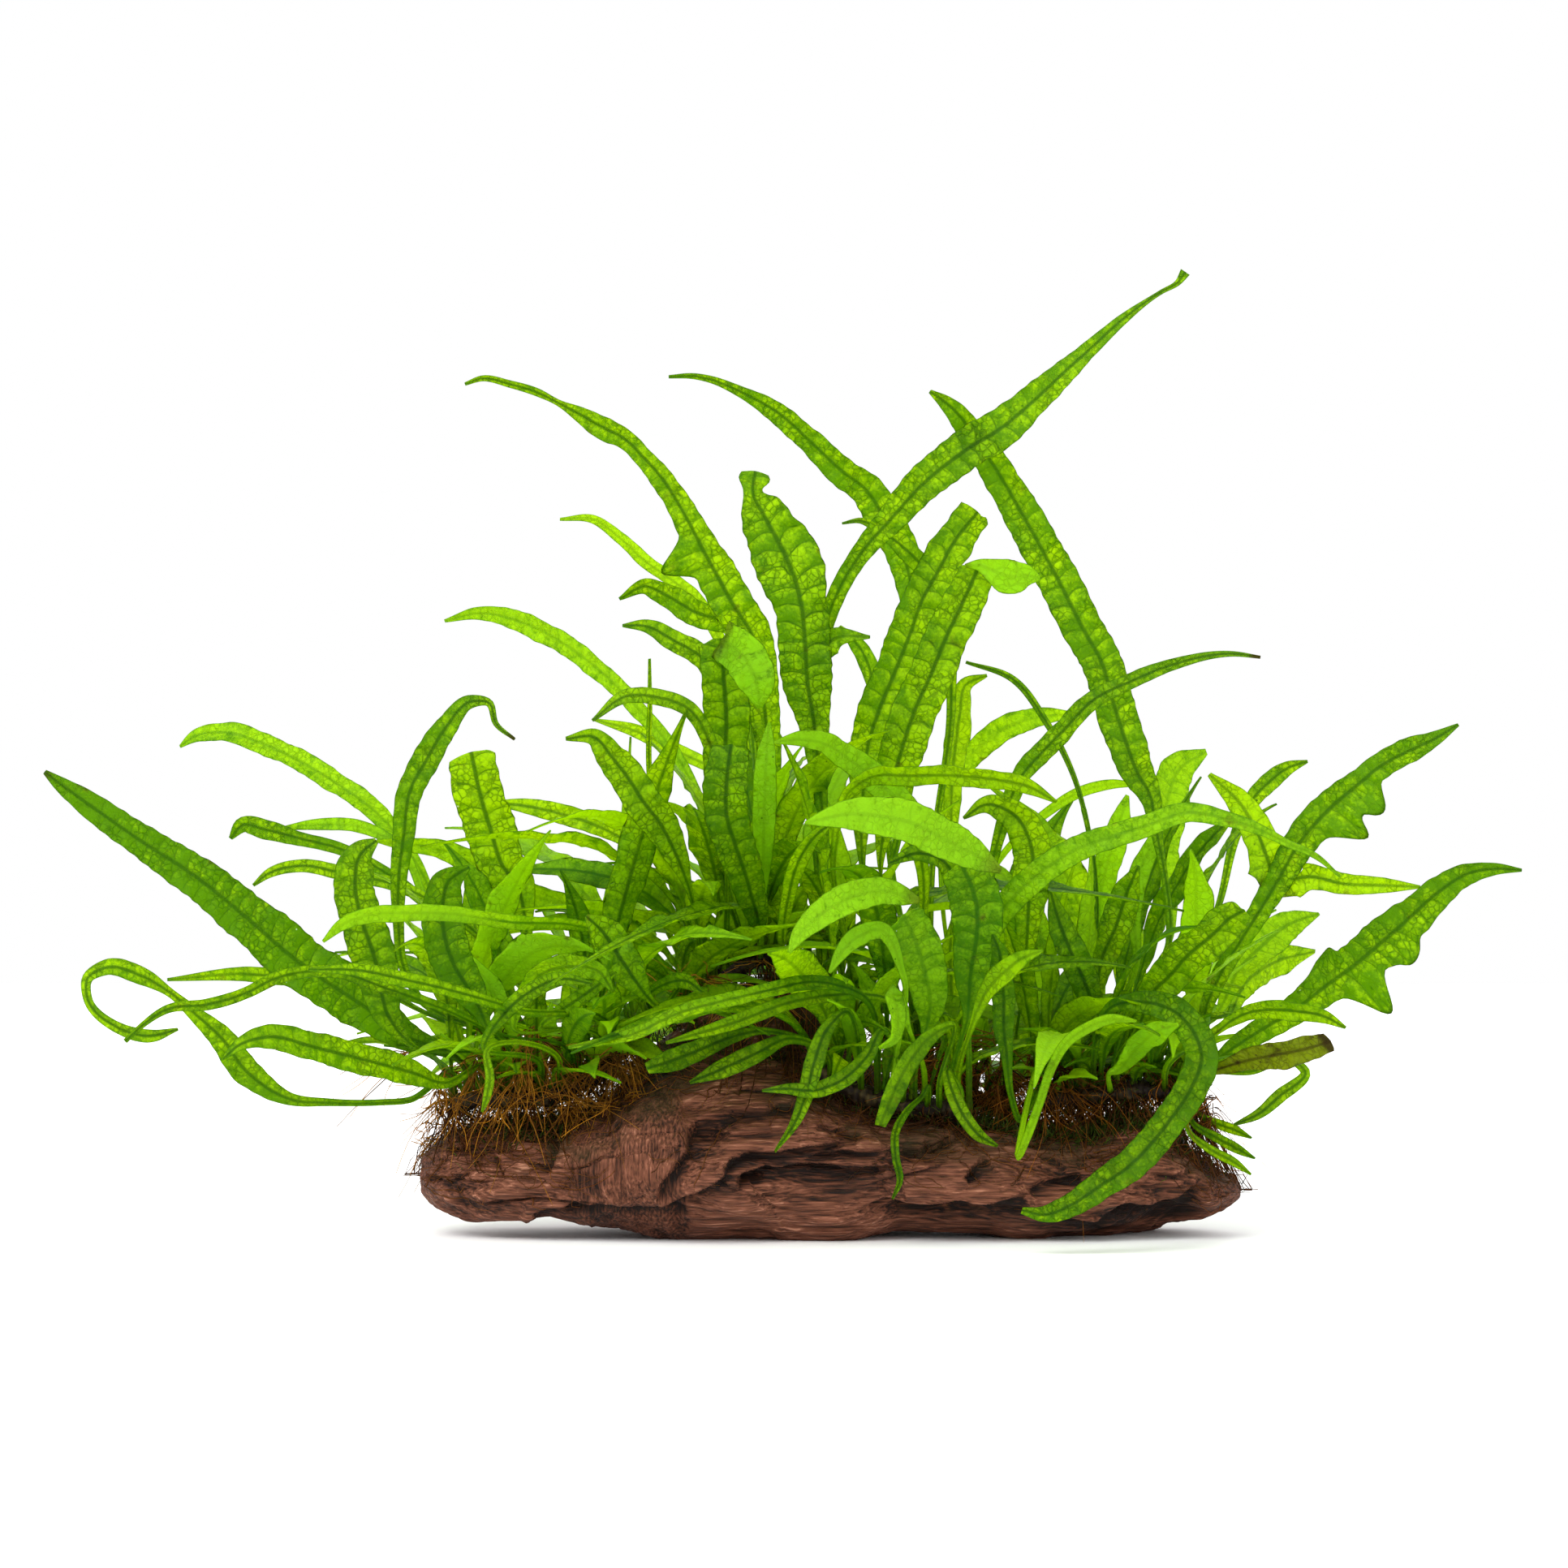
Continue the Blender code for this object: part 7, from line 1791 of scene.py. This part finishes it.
def woodMaterial():
    # wet red-brown wood: fine wavy lines along the grain, upright on the plate, and painted shade near black in the
    # cracks, hollows and creases, with a little painted light on raised strands
    material, tree, shader = newMaterial("driftwood")
    relief, moss, flake = layerParts(tree, "woodPlace")
    level = stretchedNoise(tree, (0.010, 0.0006, 0.0006), 4.0)
    upright = stretchedNoise(tree, (0.0006, 0.0006, 0.008), 4.0)
    grain = maths(tree, "ADD", maths(tree, "MULTIPLY", level, maths(tree, "SUBTRACT", 1.0, flake)),
                  maths(tree, "MULTIPLY", upright, flake))
    broad = stretchedNoise(tree, (0.04, 0.007, 0.007), 3.0)
    # painted shade from the relief: darker in the cracks, hollows and creases, a little lighter on raised strands
    tone = maths(tree, "MULTIPLY_ADD", maths(tree, "MINIMUM", relief, 0.2), 0.42,
                 maths(tree, "MULTIPLY_ADD", grain, 1.8, -0.42))
    tone = maths(tree, "MULTIPLY_ADD", flake, -0.14, maths(tree, "MULTIPLY_ADD", broad, 0.7, tone))
    side = put(tree, "ShaderNodeSeparateXYZ", {0: put(tree, "ShaderNodeTexCoord").outputs["Object"]}).outputs[0]
    tone = maths(tree, "SUBTRACT", tone, ramp(tree, side, 0.015, 0.07, 0.33, 0.45))
    ramps = put(tree, "ShaderNodeValToRGB", {0: tone})
    stops = ramps.color_ramp.elements
    stops[0].position, stops[0].color = 0.02, (0.008, 0.003, 0.0015, 1)
    stops[1].position, stops[1].color = 1.0, (0.42, 0.19, 0.115, 1)
    for position, colour in ((0.25, (0.044, 0.014, 0.006, 1)), (0.5, (0.115, 0.038, 0.019, 1)),
                             (0.75, (0.20, 0.072, 0.040, 1))):
        stops.new(position).color = colour
    fleck = put(tree, "ShaderNodeTexVoronoi", {"Vector": put(tree, "ShaderNodeTexCoord").outputs["Object"],
                                               "Scale": 72.0})
    lime = maths(tree, "MULTIPLY", ramp(tree, fleck.outputs["Distance"], 0.035, 0.06, 1, 0), maths(
        tree, "GREATER_THAN", put(tree, "ShaderNodeSeparateColor", {0: fleck.outputs["Color"]}).outputs[1], 0.86))
    mossTone = blend(tree, grainNoise(tree, 420.0, 3.0), (0.006, 0.006, 0.0015, 1), (0.05, 0.035, 0.008, 1))
    colour = blend(tree, maths(tree, "MULTIPLY", moss, 0.7), ramps.outputs[0], mossTone)
    colour = blend(tree, lime, colour, (0.75, 0.72, 0.66, 1))
    tree.links.new(colour, shader.inputs["Base Color"])
    tree.links.new(maths(tree, "MULTIPLY_ADD", broad, 0.4, 0.4), shader.inputs["Roughness"])
    shader.inputs["Specular IOR Level"].default_value = 0.16
    bump = put(tree, "ShaderNodeBump", {"Height": grain, "Distance": 0.0009, "Strength": 1.0})
    tree.links.new(bump.outputs[0], shader.inputs["Normal"])
    return material


def fibreMaterial(name, base, tip, glow, through):
    # thin roots or hairs: the colour goes from base to tip and changes from one to the next
    material, tree, shader = newMaterial(name)
    share, seed, _ = layerParts(tree, "fibrePlace")
    tone = maths(tree, "MULTIPLY_ADD", share, 0.4, maths(tree, "MULTIPLY", seed, 0.7))
    colour = blend(tree, tone, base, tip)
    tree.links.new(colour, shader.inputs["Base Color"])
    tree.links.new(maths(tree, "MULTIPLY_ADD", seed, 0.3, 0.4), shader.inputs["Roughness"])
    shader.inputs["Specular IOR Level"].default_value = 0.15
    lit = put(tree, "ShaderNodeBsdfTranslucent", {"Color": blend(tree, tone, base, glow)})
    mixed = put(tree, "ShaderNodeMixShader", {0: through, 1: shader.outputs[0], 2: lit.outputs[0]})
    tree.links.new(mixed.outputs[0], tree.nodes["Material Output"].inputs[0])
    return material


def rhizomeMaterial():
    # dark green-brown stems with rough scales
    material, tree, shader = newMaterial("rhizome")
    rough, along, _ = layerParts(tree, "stemPlace")
    scales = grainNoise(tree, 700.0, 3.0)
    tone = maths(tree, "MULTIPLY_ADD", rough, 0.6, maths(tree, "MULTIPLY_ADD", scales, 0.9, -0.3))
    colour = blend(tree, ramp(tree, tone, 0.1, 0.9), (0.008, 0.004, 0.002, 1), (0.055, 0.036, 0.009, 1))
    tree.links.new(colour, shader.inputs["Base Color"])
    tree.links.new(maths(tree, "MULTIPLY_ADD", scales, 0.3, 0.45), shader.inputs["Roughness"])
    shader.inputs["Specular IOR Level"].default_value = 0.15
    bump = put(tree, "ShaderNodeBump", {"Height": scales, "Distance": 0.0004, "Strength": 0.8})
    tree.links.new(bump.outputs[0], shader.inputs["Normal"])
    return material


# stage

stageSettings = {
    "eye": (-0.0112, -1.2, 0.1108), "lens": 111.8,
    "world": 1.0, "floor": 3.0, "floorColour": (0.92, 0.92, 0.92, 1),
    # name: place, size, power
    "lights": {"backLight": ((0.1, 1.1, 0.75), 1.2, 7.0), "keyLight": ((-0.6, -1.0, 1.1), 0.9, 27.0),
               "fillLight": ((0.9, -0.9, 0.5), 0.9, 6.0)},
    "aim": (0.0, 0.0, 0.08),
}


def makeStage():
    scene = bpy.context.scene
    scene.view_settings.view_transform = "Standard"
    camera = bpy.data.objects.new("camera", bpy.data.cameras.new("camera"))
    scene.collection.objects.link(camera)
    camera.location = stageSettings["eye"]
    camera.rotation_euler = (np.pi / 2, 0, 0)
    camera.data.sensor_width = 36.0
    camera.data.lens = stageSettings["lens"]
    scene.camera = camera
    world = bpy.data.worlds.new("studio")
    world.use_nodes = True
    world.node_tree.nodes["Background"].inputs[0].default_value = (1, 1, 1, 1)
    world.node_tree.nodes["Background"].inputs[1].default_value = stageSettings["world"]
    scene.world = world
    for name, (place, size, power) in stageSettings["lights"].items():
        light = bpy.data.lights.new(name, "AREA")
        light.size, light.energy = size, power
        lamp = bpy.data.objects.new(name, light)
        scene.collection.objects.link(lamp)
        lamp.location = place
        away = Vector(place) - Vector(stageSettings["aim"])
        lamp.rotation_euler = away.to_track_quat("Z", "Y").to_euler()
        lamp.visible_camera = False
    reach = stageSettings["floor"] / 2
    mesh = bpy.data.meshes.new("floor")
    corners = [(-reach, -reach, 0), (reach, -reach, 0), (reach, reach, 0), (-reach, reach, 0)]
    mesh.from_pydata(corners, [], [(0, 1, 2, 3)])
    floor = bpy.data.objects.new("floor", mesh)
    scene.collection.objects.link(floor)
    material, _, shader = newMaterial("floor")
    shader.inputs["Base Color"].default_value = stageSettings["floorColour"]
    shader.inputs["Roughness"].default_value = 0.7
    mesh.materials.append(material)


pieceTriangles = {}
stemPaths = {name: stemPath(name) for name in stems}
settled = settleFronds()
settleSmall()
print("fronds settled:", len(settled))
carvedSkin, skinOut, woodLayers = carveWood()
makeWood(woodMaterial())
print("wood made")
makeRoots(fibreMaterial("rootOnWood", (0.012, 0.004, 0.001, 1), (0.13, 0.046, 0.008, 1), (0.75, 0.34, 0.04, 1), 0.35))
makeLooseRoots((
    fibreMaterial("rootGolden", (0.06, 0.022, 0.003, 1), (0.42, 0.19, 0.02, 1), (1.0, 0.62, 0.09, 1), 0.6),
    fibreMaterial("rootLoose", (0.03, 0.010, 0.002, 1), (0.20, 0.08, 0.012, 1), (1.0, 0.55, 0.07, 1), 0.6)))
makeRhizomes(rhizomeMaterial())
makeMoss(fibreMaterial("mossHair", (0.008, 0.012, 0.002, 1), (0.06, 0.09, 0.006, 1), (0.25, 0.38, 0.02, 1), 0.3))
print("roots, creeping stems and moss made")
tissue = leafTissueGroup()
makeFronds({name: leafMaterial(name, tissue) for name in leafKinds})
print("triangles:", sum(pieceTriangles.values()), "most:", max(pieceTriangles.items(), key=lambda row: row[1]))
makeStage()
